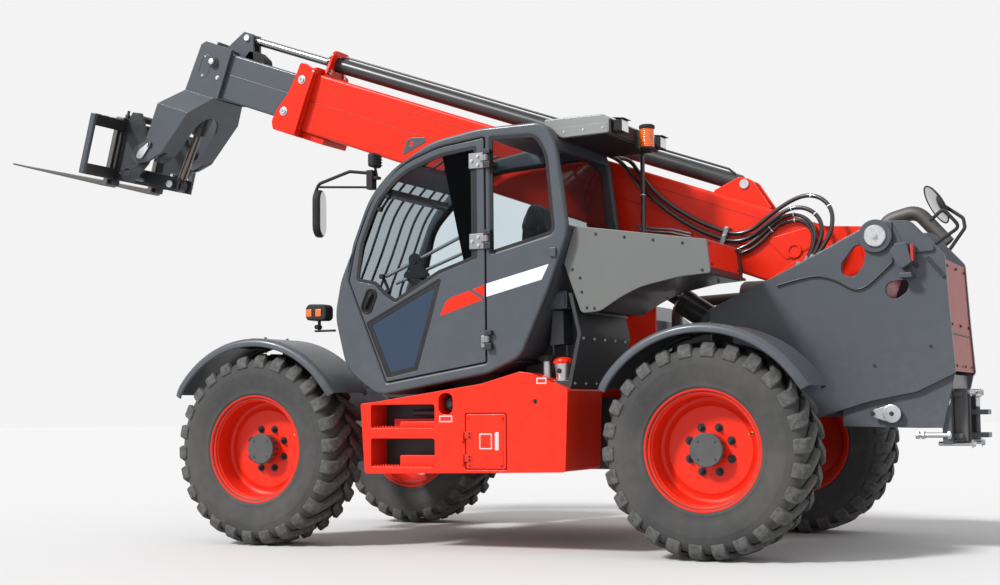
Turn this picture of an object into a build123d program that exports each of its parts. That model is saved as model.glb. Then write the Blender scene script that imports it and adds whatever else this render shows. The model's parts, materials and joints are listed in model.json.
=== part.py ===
from build123d import *
from math import cos, hypot, radians, sin, tan
import os

# Telehandler with a two-section boom, pallet forks and a cab on its left side. Millimetres.
# +X is forward, +Y is left, +Z is up. The origin is on the ground, at the middle of the length
# from the drawbar jaws to the fork tips. Side profiles are given from the rear axle and the
# ground, boom profiles along and across the boom from its pivot, and fork profiles from the
# fork pivot, so each profile can be read in the frame that it belongs to.

os.makedirs("parts", exist_ok=True)

# ---------------------------------------------------------------- driving dimensions
wheelbase = 2865.0
tyre_diameter = 1175.0
tyre_width = 405.0
rim_diameter = 660.0  # over the flanges
rim_width = 360.0
rim_wall = 12.0
hub_radius = 118.0
spindle_radius = 55.0
wheel_y = 975.0  # wheel centre from the middle
kingpin_y = 820.0
kingpin_radius = 30.0
axle_radius = 85.0
steer_gap = 5.0
running_clearance = 0.05  # radial, shaft in a bore
seat_gap = 0.3  # between pieces that seat on each other

guard_gap = 85.0  # tyre to mudguard
guard_thickness = 8.0
guard_width = 450.0

frame_half = 360.0  # outer faces of the rails and of the rear tower
frame_plate = 30.0

pivot_x = -780.0  # boom pivot, from the rear axle
pivot_z = 1760.0
pivot_radius = 45.0
boom_angle = 20.0
outer_half = 180.0
outer_top = -16.0  # across the boom, from the pivot
outer_height = 412.0
outer_wall = 12.0
outer_tail = -100.0  # along the boom, from the pivot
outer_front = 4290.0
inner_height = 330.0
inner_half = 150.0
inner_wall = 10.0
inner_tail = 520.0

lift_base_x = -500.0  # lift cylinder's base pin, from the rear axle
lift_base_z = 820.0
lift_eye_u = 1600.0  # lift cylinder's rod pin, in the boom frame
lift_eye_w = -590.0
lift_pin_radius = 32.0
lift_barrel_radius = 80.0
lift_rod_radius = 45.0

extend_w = 85.0  # axis of the boom's extension cylinder
extend_tail_u = 922.0
extend_mouth_u = 4100.0
extend_eye_u = 4808.0
extend_barrel_radius = 52.0
extend_rod_radius = 28.0
extend_pin_radius = 20.0
extend_eye_half = 54.0

fork_pivot_u = 5235.0  # in the boom frame
fork_pivot_w = -937.0
fork_pin_radius = 28.0
head_half = 300.0  # outer faces of the head's lower plates
head_plate = 28.0
coupler_y = head_half - head_plate - 5  # outer faces of the coupler's plates
coupler_plate = 30.0
fork_lean = 14.5  # forks' slope at rest

tilt_base_u = 4985.0
tilt_base_w = -200.0
tilt_lug_s = -166.0  # tilt cylinder's rod pin, in the fork frame
tilt_lug_t = -164.0
tilt_pin_radius = 24.0
tilt_barrel_radius = 58.0
tilt_rod_radius = 30.0
tilt_barrel_length = 500.0

carriage_half = 620.0
carriage_s = 200.0
carriage_bar = 40.0
carriage_low = -222.0
carriage_high = 212.0
fork_y = 250.0
fork_width = 120.0
fork_thickness = 40.0
fork_length = 950.0
fork_low = -282.0
fork_tip_thickness = 12.0

cab_outer_y = 1100.0
cab_inner_y = 260.0
cab_wall = 45.0
door_gap = 5.0
glass_thickness = 6.0
hinge_x = 1283.0
hinge_offset = 18.0  # outside the cab's outer face
hinge_pin_radius = 8.0

step_outer_y = 1120.0
step_inner_y = 600.0
pod_outer_y = 1120.0
pod_inner_y = frame_half
hitch_reach = 1310.0  # drawbar jaws behind the rear axle
drawbar_pin_radius = 18.0
drawbar_gap = 100.0

thick_hose_radius = 13.0
thin_hose_radius = 11.0
ac_hose_radius = 14.0

# ---------------------------------------------------------------- derived places
tyre_radius = tyre_diameter / 2
boom_cos = cos(radians(boom_angle))
boom_sin = sin(radians(boom_angle))
lean_cos = cos(radians(fork_lean))
lean_sin = sin(radians(fork_lean))
fork_x = pivot_x + fork_pivot_u * boom_cos - fork_pivot_w * boom_sin
fork_z = pivot_z + fork_pivot_u * boom_sin + fork_pivot_w * boom_cos
fork_back = carriage_s + carriage_bar + seat_gap
fork_tip = fork_back + fork_length
tip_reach = fork_x + fork_tip * lean_cos - fork_low * lean_sin
rear_axle_x = (hitch_reach - tip_reach) / 2


def side(y):
    """Sketch plane seen from the left, x forward from the rear axle and y up from the ground."""
    return Plane(origin=(rear_axle_x, y, 0), x_dir=(1, 0, 0), z_dir=(0, -1, 0))


def boom(y):
    """Sketch plane seen from the left, x along the boom and y across it, from the boom pivot."""
    origin = (rear_axle_x + pivot_x, y, pivot_z)
    return Plane(origin=origin, x_dir=(boom_cos, 0, boom_sin), z_dir=(0, -1, 0))


def across_boom(u, w):
    """Sketch plane square to the boom, x to the left and y up from a point of the boom frame."""
    return Plane(origin=boom(0).from_local_coords((u, w, 0)), x_dir=(0, 1, 0), z_dir=boom(0).x_dir)


def fork(y):
    """Sketch plane seen from the left, x along the forks and y up their backs, from their pivot."""
    origin = (rear_axle_x + fork_x, y, fork_z)
    return Plane(origin=origin, x_dir=(lean_cos, 0, lean_sin), z_dir=(0, -1, 0))


def along(start, end, y):
    """Sketch plane seen from the left, x from start towards end, both in the side frame."""
    dx, dz = end[0] - start[0], end[1] - start[1]
    length = hypot(dx, dz)
    origin = (rear_axle_x + start[0], y, start[1])
    return Plane(origin=origin, x_dir=(dx / length, 0, dz / length), z_dir=(0, -1, 0))


def from_boom(u, w):
    """A point of the boom frame in the side frame."""
    return (pivot_x + u * boom_cos - w * boom_sin, pivot_z + u * boom_sin + w * boom_cos)


def from_fork(s, t):
    """A point of the fork frame in the side frame."""
    return (fork_x + s * lean_cos - t * lean_sin, fork_z + s * lean_sin + t * lean_cos)


def plate(plane, points, y, thickness, mode=Mode.ADD, corner=0):
    """Flat plate with its left face at y, its corners rounded by corner."""
    with BuildSketch(plane(y)) as sketch:
        with BuildLine():
            Polyline(*points, close=True)
        make_face()
        if corner:
            fillet(sketch.vertices(), radius=corner)
    extrude(sketch.sketch, amount=thickness, mode=mode)


def round_bar(plane, point, radius, y_left, y_right, mode=Mode.ADD):
    """Cylinder across the machine, from y_left to y_right."""
    with BuildSketch(plane(y_left)) as sketch:
        with Locations(point):
            Circle(radius)
    extrude(sketch.sketch, amount=y_left - y_right, mode=mode)


def block(x, y, z, mode=Mode.ADD):
    """Box from three (low, high) pairs, x from the rear axle."""
    with Locations((rear_axle_x + (x[0] + x[1]) / 2, (y[0] + y[1]) / 2, (z[0] + z[1]) / 2)):
        Box(x[1] - x[0], y[1] - y[0], z[1] - z[0], mode=mode)


def tube_path(points, radius, bends):
    """Round solid along straight runs joined by tangent arcs, in world coordinates."""
    with BuildLine() as path:
        FilletPolyline(*points, radius=bends)
    with BuildSketch(Plane(origin=path.line @ 0, z_dir=path.line % 0)) as section:
        Circle(radius)
    sweep(section.sketch, path=path.line)


def world(x, y, z):
    """A point given from the rear axle, in world coordinates."""
    return (rear_axle_x + x, y, z)


# ---------------------------------------------------------------- chassis
rail_bottom_high = 750.0
rail_bottom_low = 450.0
rail_top = 880.0
rail_nose = 1000.0
rail_front = 3350.0
tower_front = 200.0
rail_outline = [
    (tower_front, rail_bottom_high),
    (420, rail_bottom_high),
    (800, rail_bottom_low),
    (2200, rail_bottom_low),
    (2500, rail_bottom_high),
    (rail_front, rail_bottom_high),
    (rail_front, rail_nose - 40),
    (2520, rail_nose),
    (2380, rail_top),
    (650, rail_top),
    (tower_front, 1390),
]
tower_outline = [
    (tower_front, 1390),
    (-140, 1540),
    (-350, 1640),
    (-780, 1850),
    (-970, 1840),
    (-1150, 1640),
    (-1170, 1280),
    (-1190, 990),
    (-980, 890),
    (-720, 840),
    (-420, rail_bottom_high),
    (tower_front, rail_bottom_high),
]
stiffener = 12.0
stiffener_outline = [
    (-500, 1690),
    (-600, 1530),
    (-700, 1470),
    (-800, 1500),
    (-900, 1450),
    (-1010, 1500),
    (-1110, 1620),
    (-955, 1815),
    (-785, 1825),
]
frame_inner = frame_half - frame_plate

cab_bottom_rear = (1210.0, 1040.0)
cab_bottom_front = (2040.0, 900.0)


def cab_floor_z(x):
    """Height of the cab's sloping underside at x."""
    slope = (cab_bottom_front[1] - cab_bottom_rear[1]) / (cab_bottom_front[0] - cab_bottom_rear[0])
    return cab_bottom_rear[1] + slope * (x - cab_bottom_rear[0])


def cab_deck_z(x):
    """Height of the cab's floor inside at x, with the seating gap."""
    slope = (cab_bottom_front[1] - cab_bottom_rear[1]) / (cab_bottom_front[0] - cab_bottom_rear[0])
    return cab_floor_z(x) + cab_wall * hypot(1, slope) + seat_gap


with BuildPart() as frame:
    for y in (frame_half, -frame_inner):
        plate(side, rail_outline, y, frame_plate)
    block((800, 2200), (-frame_inner, frame_inner), (rail_bottom_low, rail_bottom_low + 12))
    block((rail_front - 40, rail_front), (-frame_inner, frame_inner), (rail_bottom_high, rail_nose - 40))
    block((2440, 2480), (-frame_inner, frame_inner), (rail_bottom_high, 900))
    block((560, 600), (-frame_inner, frame_inner), (640, 860))
    for x in (1250, 1900):
        carrier = [(x, 700), (x + 80, 700), (x + 80, cab_floor_z(x + 80)), (x, cab_floor_z(x))]
        plate(side, carrier, step_inner_y - seat_gap, step_inner_y - seat_gap - frame_half)
frame.part.label = "frame"
export_step(frame.part, "parts/frame.step")

with BuildPart() as rear_tower:
    for y, face in ((frame_half, frame_half + stiffener), (-frame_inner, -frame_half)):
        plate(side, tower_outline, y, frame_plate)
        plate(side, stiffener_outline, face, stiffener)
        teardrop = [(-585, 1665), (-600, 1565), (-690, 1560), (-690, 1690)]
        plate(side, teardrop, y, frame_plate, Mode.SUBTRACT, corner=25)
        oval = [(-835, 1420), (-930, 1420), (-930, 1350), (-835, 1350)]
        plate(side, oval, y, frame_plate, Mode.SUBTRACT, corner=30)
    pin_end = frame_half + stiffener + 18
    round_bar(side, (pivot_x, pivot_z), pivot_radius, pin_end, -pin_end)
    for y in (pin_end, -frame_half - stiffener):
        round_bar(side, (pivot_x, pivot_z), 72, y, y - 18)
    round_bar(side, (-1060, 1040), 40, frame_inner, -frame_inner)
    round_bar(side, (lift_base_x, lift_base_z), lift_pin_radius, frame_half, -frame_half)
rear_tower.part.label = "rear_tower"
export_step(rear_tower.part, "parts/rear_tower.step")

with BuildPart() as rear_panel:
    rear_panel_outline = [(-1150, 1620), (-1168, 1280), (-1186, 1000)]
    rear_panel_outline += [(-1174, 1000), (-1156, 1280), (-1138, 1620)]
    plate(side, rear_panel_outline, frame_inner, 2 * frame_inner)
rear_panel.part.label = "rear_panel"
export_step(rear_panel.part, "parts/rear_panel.step")

hitch_front = -1150.0
with BuildPart() as hitch:
    tail_outline = [(-560, 700), (-980, 690), (-1110, 690), (-1180, 985), (-700, 985), (-560, 900)]
    for y in (frame_inner, -frame_inner + 25):
        plate(side, tail_outline, y, 25)
    block((-1150, -1100), (-frame_inner + 25, frame_inner - 25), (600, 985))
    jaw_low = 660.0
    jaw_plate = 28.0
    for z in (jaw_low - jaw_plate, jaw_low + drawbar_gap):
        block((-hitch_reach, hitch_front), (-60, 60), (z, z + jaw_plate))
    with BuildSketch(Plane.XY.offset(jaw_low - jaw_plate - 15)):
        with Locations((rear_axle_x - hitch_reach + 70, 0)):
            Circle(drawbar_pin_radius)
    extrude(amount=drawbar_gap + 2 * jaw_plate + 45)
hitch.part.label = "hitch"
export_step(hitch.part, "parts/hitch.step")

# ---------------------------------------------------------------- axles and wheels
boss_half = 90.0  # height of the kingpin boss, each way
ear = 30.0
boss_radius = 62.0
pad_y = (frame_half - 110.0, frame_half)

axles = [("front_axle", wheelbase), ("rear_axle", 0.0)]
for name, x in axles:
    with BuildPart() as axle:
        with BuildSketch(side(kingpin_y - 40)):
            with Locations((x, tyre_radius)):
                Circle(axle_radius)
        extrude(amount=2 * (kingpin_y - 40))
        with BuildSketch(side(170)):
            with Locations((x, tyre_radius)):
                Circle(120)
        extrude(amount=340)
        for sign in (1, -1):
            with BuildSketch(Plane.XY.offset(tyre_radius - boss_half)):
                with Locations((rear_axle_x + x, sign * kingpin_y)):
                    Circle(boss_radius)
            extrude(amount=2 * boss_half)
            y_low, y_high = sorted((sign * pad_y[0], sign * pad_y[1]))
            block((x - 110, x + 110), (y_low, y_high), (tyre_radius, rail_bottom_high))
        for sign in (1, -1):
            with BuildSketch(Plane.XY.offset(tyre_radius - boss_half)):
                with Locations((rear_axle_x + x, sign * kingpin_y)):
                    Circle(kingpin_radius + running_clearance)
            extrude(amount=2 * boss_half, mode=Mode.SUBTRACT)
    axle.part.label = name
    export_step(axle.part, f"parts/{name}.step")

disc_inner = 12.0  # rim disc, from the wheel's middle plane outwards
disc_thickness = 14.0
hub_face = 118.0
corners = [
    ("front_left", wheelbase, 1),
    ("front_right", wheelbase, -1),
    ("rear_left", 0.0, 1),
    ("rear_right", 0.0, -1),
]


def wheel_plane(x, sign):
    """Half section of a wheel: x outwards along the axle from the wheel's middle, y up."""
    origin = (rear_axle_x + x, sign * wheel_y, tyre_radius)
    return Plane(origin=origin, x_dir=(0, sign, 0), z_dir=(sign, 0, 0))


def turned(x, sign, points):
    """Solid of revolution about a wheel's axle, from a half section."""
    with BuildSketch(wheel_plane(x, sign)) as section:
        with BuildLine():
            Polyline(*points, close=True)
        make_face()
    revolve(section.sketch, axis=Axis((rear_axle_x + x, sign * wheel_y, tyre_radius), (0, 1, 0)))


rim_seat = rim_diameter / 2 - 25
half_rim = rim_width / 2
half_tyre = tyre_width / 2
flange = 14.0
for name, x, sign in corners:
    with BuildPart() as knuckle:
        ear_outer = wheel_y - 30 - kingpin_y
        for z in (tyre_radius + boss_half + steer_gap, tyre_radius - boss_half - steer_gap - ear):
            y_low, y_high = sorted((sign * (kingpin_y - 70), sign * (kingpin_y + ear_outer)))
            block((x - 65, x + 65), (y_low, y_high), (z, z + ear))
        wall_in = kingpin_y + boss_radius + steer_gap
        y_low, y_high = sorted((sign * wall_in, sign * (kingpin_y + ear_outer)))
        ear_top = boss_half + steer_gap + ear
        block((x - 65, x + 65), (y_low, y_high), (tyre_radius - ear_top, tyre_radius + ear_top))
        with BuildSketch(Plane.XY.offset(tyre_radius - ear_top)):
            with Locations((rear_axle_x + x, sign * kingpin_y)):
                Circle(kingpin_radius)
        extrude(amount=2 * ear_top)
        spindle_end = hub_face - 30
        turned(x, sign, [(-40, 0), (spindle_end, 0), (spindle_end, spindle_radius), (-40, spindle_radius)])
    knuckle.part.label = f"knuckle_{name}"
    export_step(knuckle.part, f"parts/knuckle_{name}.step")

    with BuildPart() as mudguard:
        guard_radius = tyre_radius + guard_gap
        guard_in = wheel_y - guard_width / 2
        with BuildSketch(side(wheel_y + guard_width / 2 if sign > 0 else -guard_in)):
            with Locations((x, tyre_radius)):
                Circle(guard_radius + guard_thickness)
                Circle(guard_radius, mode=Mode.SUBTRACT)
                with Locations((0, -guard_radius + guard_radius * sin(radians(32)))):
                    Rectangle(4 * guard_radius, 2 * guard_radius, mode=Mode.SUBTRACT)
        extrude(amount=guard_width)
        y_low, y_high = sorted((sign * guard_in, sign * (guard_in + 10)))
        foot_z = tyre_radius + ear_top + seat_gap
        block((x - 60, x + 60), (y_low, y_high), (foot_z, tyre_radius + guard_radius + 2))
        y_low, y_high = sorted((sign * guard_in, sign * (guard_in + 90)))
        block((x - 60, x + 60), (y_low, y_high), (foot_z, foot_z + 10))
    mudguard.part.label = f"mudguard_{name}"
    export_step(mudguard.part, f"parts/mudguard_{name}.step")

    with BuildPart() as rim:
        rim_bore = spindle_radius + running_clearance
        turned(
            x,
            sign,
            [
                (-half_rim, rim_seat - rim_wall),
                (-20, rim_seat - rim_wall),
                (disc_inner, rim_seat - 80),
                (disc_inner, hub_radius),
                (disc_inner - 35, hub_radius),
                (disc_inner - 35, rim_bore),
                (spindle_end + 5, rim_bore),
                (spindle_end + 5, 0),
                (hub_face, 0),
                (hub_face, 70),
                (hub_face - 14, hub_radius - 10),
                (disc_inner + disc_thickness + 40, hub_radius),
                (disc_inner + disc_thickness, hub_radius + 12),
                (disc_inner + disc_thickness, rim_seat - 92),
                (10, rim_seat - rim_wall),
                (half_rim, rim_seat - rim_wall),
                (half_rim, rim_diameter / 2),
                (half_rim - flange, rim_diameter / 2),
                (half_rim - flange, rim_seat),
                (flange - half_rim, rim_seat),
                (flange - half_rim, rim_diameter / 2),
                (-half_rim, rim_diameter / 2),
            ],
        )
    rim.part.label = f"rim_{name}"
    export_step(rim.part, f"parts/rim_{name}.step")

    with BuildPart() as tyre:
        bead = half_rim - flange - seat_gap
        turned(
            x,
            sign,
            [
                (-bead, rim_seat + seat_gap),
                (bead, rim_seat + seat_gap),
                (bead, rim_diameter / 2 + 2),
                (half_tyre, tyre_radius * 0.72),
                (half_tyre, tyre_radius * 0.86),
                (half_tyre - 12, tyre_radius * 0.95),
                (half_tyre - 45, tyre_radius),
                (45 - half_tyre, tyre_radius),
                (12 - half_tyre, tyre_radius * 0.95),
                (-half_tyre, tyre_radius * 0.86),
                (-half_tyre, tyre_radius * 0.72),
                (-bead, rim_diameter / 2 + 2),
            ],
        )
    tyre.part.label = f"tyre_{name}"
    export_step(tyre.part, f"parts/tyre_{name}.step")

# ---------------------------------------------------------------- left side: steps and covers
step_outline = [(800, 460), (2100, 440), (2130, 860), (2050, 865), (1080, 1030), (780, 920)]
door_x = (1170.0, 1425.0)
door_z = (478.0, 790.0)
service_plate = 12.0
service_hinge_x = door_x[1] + 16
service_hinge_y = step_outer_y + 9
service_hinge_z = (door_z[0] + 40, door_z[1] - 140)
service_pin = 4.0
with BuildPart() as step_box:
    plate(side, step_outline, step_outer_y, step_outer_y - step_inner_y, corner=12)
    for x in ((1440, 1606), (1632, 2069)):
        block(x, (step_outer_y - 190, step_outer_y), (712, 840), Mode.SUBTRACT)
    low = [edge - door_gap for edge in (door_x[0], door_z[0])]
    high = [edge + door_gap for edge in (door_x[1], door_z[1])]
    recess = service_plate + 1 + seat_gap
    block((low[0], high[0]), (step_outer_y - recess, step_outer_y), (low[1], high[1]), Mode.SUBTRACT)
    pocket = 25.0
    deep = step_outer_y - recess - 60
    pocket_x = (door_x[0] + pocket, door_x[1] - pocket)
    block(pocket_x, (deep, step_outer_y), (door_z[0] + pocket, door_z[1] - pocket), Mode.SUBTRACT)
    for z in service_hinge_z:
        hinge_block_x = (service_hinge_x - 8, service_hinge_x + 14)
        block(hinge_block_x, (step_outer_y, service_hinge_y + 7), (z - 16, z - 1))
        with BuildSketch(Plane.XY.offset(z - 4)):
            with Locations((rear_axle_x + service_hinge_x, service_hinge_y)):
                Circle(service_pin)
        extrude(amount=42)
step_box.part.label = "step_box"
export_step(step_box.part, "parts/step_box.step")

with BuildPart() as service_door:
    block(door_x, (step_outer_y - service_plate, step_outer_y), door_z)
    for z in service_hinge_z:
        block((door_x[1] - 40, service_hinge_x), (step_outer_y, step_outer_y + 6), (z, z + 40))
        with BuildSketch(Plane.XY.offset(z)):
            with Locations((rear_axle_x + service_hinge_x, service_hinge_y)):
                Circle(8)
        extrude(amount=40)
    for z in service_hinge_z:
        with BuildSketch(Plane.XY.offset(z)):
            with Locations((rear_axle_x + service_hinge_x, service_hinge_y)):
                Circle(service_pin + running_clearance)
        extrude(amount=40, mode=Mode.SUBTRACT)
service_door.part.label = "service_door"
export_step(service_door.part, "parts/service_door.step")

cover_outline = [(750, 1840), (-10, 1730), (-30, 1540), (290, 1500), (620, 1350), (750, 1350), (840, 1640)]
cover_outer_y = 1030.0
ac_port_x = (597.0, 647.0)  # port of the air conditioner's hose on the cover's inner face
ac_port_y = frame_half - 48
ac_port_z = 1530.0
with BuildPart() as side_box:
    plate(side, cover_outline, cover_outer_y, cover_outer_y - frame_half - seat_gap, corner=25)
    tab = [(-20, 1560), (-20, 1400), (190, 1300), (260, 1520)]
    plate(side, tab, frame_half + seat_gap + 12, 12)
    block(ac_port_x, (ac_port_y - 25, frame_half + seat_gap), (ac_port_z - 50, ac_port_z))
side_box.part.label = "side_box"
export_step(side_box.part, "parts/side_box.step")

cab_outline = [
    (2280, 1600),
    (2330, 1390),
    (2240, 1060),
    cab_bottom_front,
    cab_bottom_rear,
    (1090, 1100),
    (910, 1480),
    (780, 1820),
    (850, 2330),
    (970, 2450),
    (1330, 2450),
    (1660, 2400),
    (1890, 2270),
    (2090, 2080),
    (2200, 1780),
]


def step_top_z(x):
    """Height of the step box's sloping rear top at x, with the seating gap."""
    slope = (step_outline[4][1] - step_outline[5][1]) / (step_outline[4][0] - step_outline[5][0])
    return step_outline[5][1] + slope * (x - step_outline[5][0]) + seat_gap * hypot(1, slope)


bulkhead_outline = [(800, step_top_z(800)), (1060, step_top_z(1060))]
bulkhead_outline += [(1078, 1100), (900, 1475), (862, 1575), (820, 1350)]
with BuildPart() as bulkhead:
    plate(side, bulkhead_outline, 1050, 1050 - 400)
bulkhead.part.label = "bulkhead"
export_step(bulkhead.part, "parts/bulkhead.step")

# ---------------------------------------------------------------- right side: engine
pod_wall = 20.0
pod_x = (800.0, 2130.0)
pod_z = (450.0, 1050.0)
hood_wall = 12.0
hood_top = 1500.0
pod_shelf = hood_top - 20
hood_in = -pod_inner_y - pod_wall - door_gap
hood_hinge_y = hood_in + 3
hood_hinge_z = hood_top + 7
hood_knuckles = (1000.0, 1800.0)
hood_pin = 4.0


def along_x(x, y, z, radius, length, mode=Mode.ADD):
    """Cylinder forwards along the machine from x."""
    with BuildSketch(Plane(origin=world(x, y, z), x_dir=(0, 1, 0), z_dir=(1, 0, 0))) as sketch:
        Circle(radius)
    extrude(sketch.sketch, amount=length, mode=mode)


with BuildPart() as engine_tray:
    block(pod_x, (-pod_outer_y, -pod_inner_y), pod_z)
    inner_x = (pod_x[0] + pod_wall, pod_x[1] - pod_wall)
    inner_y = (-pod_outer_y + pod_wall, -pod_inner_y - pod_wall)
    block(inner_x, inner_y, (pod_z[0] + pod_wall, pod_z[1]), Mode.SUBTRACT)
    block(pod_x, (-pod_inner_y - pod_wall, -pod_inner_y), (pod_z[1], pod_shelf))
    for x in hood_knuckles:
        block((x + 62, x + 80), (hood_hinge_y - 9, -pod_inner_y), (pod_shelf, hood_hinge_z + 9))
        along_x(x + 4, hood_hinge_y, hood_hinge_z, hood_pin, 70)
engine_tray.part.label = "engine_tray"
export_step(engine_tray.part, "parts/engine_tray.step")

with BuildPart() as engine_block:
    block((1000, 1950), (-1000, -480), (560, 1330))
    for x in (1040, 1820):
        block((x, x + 90), (-980, -500), (pod_z[0] + pod_wall, 560))
engine_block.part.label = "engine_block"
export_step(engine_block.part, "parts/engine_block.step")

hood_outline = [(800, 1055), (2130, 1055), (2130, 1260), (1960, hood_top), (960, hood_top), (800, 1380)]
with BuildPart() as engine_hood:
    plate(side, hood_outline, hood_in, pod_outer_y + hood_in)
    with BuildSketch(side(hood_in)):
        with BuildLine():
            Polyline(*hood_outline, close=True)
        make_face()
        offset(amount=-hood_wall, kind=Kind.INTERSECTION)
    extrude(amount=pod_outer_y + hood_in - hood_wall, mode=Mode.SUBTRACT)
    floor_x = (800 + hood_wall, 2130 - hood_wall)
    block(floor_x, (-pod_outer_y + hood_wall, hood_in), (1050, 1055 + hood_wall), Mode.SUBTRACT)
    for x in hood_knuckles:
        along_x(x, hood_hinge_y, hood_hinge_z, 9, 60)
        along_x(x, hood_hinge_y, hood_hinge_z, hood_pin + running_clearance, 60, Mode.SUBTRACT)
        slot_z = (hood_top - hood_wall - 1, hood_top + 1)
        block((x + 61, x + 81), (hood_hinge_y - 11, hood_in + 1), slot_z, Mode.SUBTRACT)
engine_hood.part.label = "engine_hood"
export_step(engine_hood.part, "parts/engine_hood.step")

muffler_y = -620.0
muffler_z = 1520.0
with BuildPart() as exhaust:
    with BuildSketch(Plane(origin=world(-320, muffler_y, muffler_z), x_dir=(0, 1, 0), z_dir=(1, 0, 0))):
        Circle(105)
    extrude(amount=620)
    tail = [
        world(-300, muffler_y, muffler_z),
        world(-520, muffler_y, muffler_z + 40),
        world(-640, muffler_y, 1960),
        world(-830, muffler_y, 2010),
        world(-1010, muffler_y, 1800),
    ]
    tube_path(tail, 45, [120, 110, 90])
    pipe_x = pod_x[0] - 55
    front_pipe = [world(290, muffler_y, muffler_z), world(pipe_x, muffler_y, 1500)]
    front_pipe += [world(pipe_x, muffler_y, 960), world(pod_x[0] - seat_gap, muffler_y, 960)]
    tube_path(front_pipe, 36, [90, 45])
    for x in (-200, 60):
        block((x, x + 40), (muffler_y, -frame_half - seat_gap), (1380, 1400))
        block((x, x + 40), (-frame_half - seat_gap - 12, -frame_half - seat_gap), (1340, 1400))
        block((x, x + 40), (muffler_y - 20, muffler_y + 20), (1380, 1450))
exhaust.part.label = "exhaust"
export_step(exhaust.part, "parts/exhaust.step")

# ---------------------------------------------------------------- cab
door_outline = [
    (1305, 1035),
    (1960, 985),
    (2220, 1600),
    (2210, 1720),
    (2050, 2080),
    (1860, 2300),
    (1590, 2380),
    (1305, 2380),
]
rear_side_window = [(900, 1620), (1240, 1620), (1240, 2375), (1010, 2375), (900, 2290), (850, 1850)]
right_window = [(940, 1640), (2160, 1640), (2080, 1980), (1860, 2200)]
right_window += [(1640, 2320), (1010, 2360), (900, 2270), (850, 1850)]
upper_pane = [(1365, 1640), (2140, 1640), (1990, 2030), (1820, 2240), (1580, 2315), (1365, 2315)]
lower_pane = [(1640, 1520), (2070, 1330), (1955, 1060), (1760, 1090)]
windscreen_zone = [(2500, 1330), (2180, 1330), (2100, 1700), (1950, 2020)]
windscreen_zone += [(1870, 2120), (2060, 2300), (2500, 2300)]
roof_zone = [(1400, 2550), (1400, 2360), (1640, 2320), (1780, 2240), (1950, 2420), (1950, 2550)]
rear_zone = [(700, 1900), (1000, 1900), (1000, 2280), (700, 2280)]
pane_inset = 15.0
pane_y = (cab_outer_y - 65, cab_inner_y + 65)
with BuildPart() as cab_frame:
    plate(side, cab_outline, cab_outer_y, cab_outer_y - cab_inner_y, corner=35)
    with BuildSketch(side(cab_outer_y - cab_wall)) as hollow:
        with BuildLine():
            Polyline(*cab_outline, close=True)
        make_face()
        fillet(hollow.vertices(), radius=35)
        offset(amount=-cab_wall, kind=Kind.INTERSECTION)
    extrude(amount=cab_outer_y - cab_inner_y - 2 * cab_wall, mode=Mode.SUBTRACT)
    with BuildSketch(side(cab_outer_y + 5)):
        with BuildLine():
            Polyline(*door_outline, close=True)
        make_face()
        offset(amount=door_gap, kind=Kind.INTERSECTION)
    extrude(amount=cab_wall + 10, mode=Mode.SUBTRACT)
    plate(side, rear_side_window, cab_outer_y + 5, cab_wall + 10, Mode.SUBTRACT, corner=25)
    plate(side, right_window, cab_inner_y + cab_wall + 5, cab_wall + 10, Mode.SUBTRACT, corner=25)
    for zone in (windscreen_zone, roof_zone, rear_zone):
        plate(side, zone, pane_y[0], pane_y[0] - pane_y[1], Mode.SUBTRACT)
    hinge_y = cab_outer_y + hinge_offset
    for z in (1200, 1780, 2250):
        block((hinge_x - 28, hinge_x + 14), (cab_outer_y, hinge_y + 12), (z - 45, z - 6))
        with BuildSketch(Plane.XY.offset(z - 10)):
            with Locations((rear_axle_x + hinge_x, hinge_y)):
                Circle(hinge_pin_radius)
        extrude(amount=45)
cab_frame.part.label = "cab_frame"
export_step(cab_frame.part, "parts/cab_frame.step")

with BuildPart() as cab_door:
    plate(side, door_outline, cab_outer_y, cab_wall)
    plate(side, upper_pane, cab_outer_y + 5, cab_wall + 10, Mode.SUBTRACT, corner=25)
    plate(side, lower_pane, cab_outer_y + 5, cab_wall + 10, Mode.SUBTRACT, corner=20)
    for z in (1200, 1780, 2250):
        block((hinge_x, hinge_x + 120), (cab_outer_y + 1, cab_outer_y + 13), (z, z + 34))
        block((door_outline[0][0], hinge_x + 120), (cab_outer_y - 5, cab_outer_y + 5), (z, z + 34))
        with BuildSketch(Plane.XY.offset(z)):
            with Locations((rear_axle_x + hinge_x, hinge_y)):
                Circle(hinge_pin_radius + 7)
        extrude(amount=34)
        with BuildSketch(Plane.XY.offset(z)):
            with Locations((rear_axle_x + hinge_x, hinge_y)):
                Circle(hinge_pin_radius + running_clearance)
        extrude(amount=34, mode=Mode.SUBTRACT)
cab_door.part.label = "cab_door"
export_step(cab_door.part, "parts/cab_door.step")


def pane(points, y, corner):
    """Flat pane seated just inside a window cut."""
    with BuildSketch(side(y)) as sketch:
        with BuildLine():
            Polyline(*points, close=True)
        make_face()
        fillet(sketch.vertices(), radius=corner)
        offset(amount=-seat_gap)
    extrude(sketch.sketch, amount=glass_thickness)


with BuildPart() as door_glass:
    pane(upper_pane, cab_outer_y - pane_inset, 25)
    pane(lower_pane, cab_outer_y - pane_inset, 20)
door_glass.part.label = "door_glass"
export_step(door_glass.part, "parts/door_glass.step")

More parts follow.
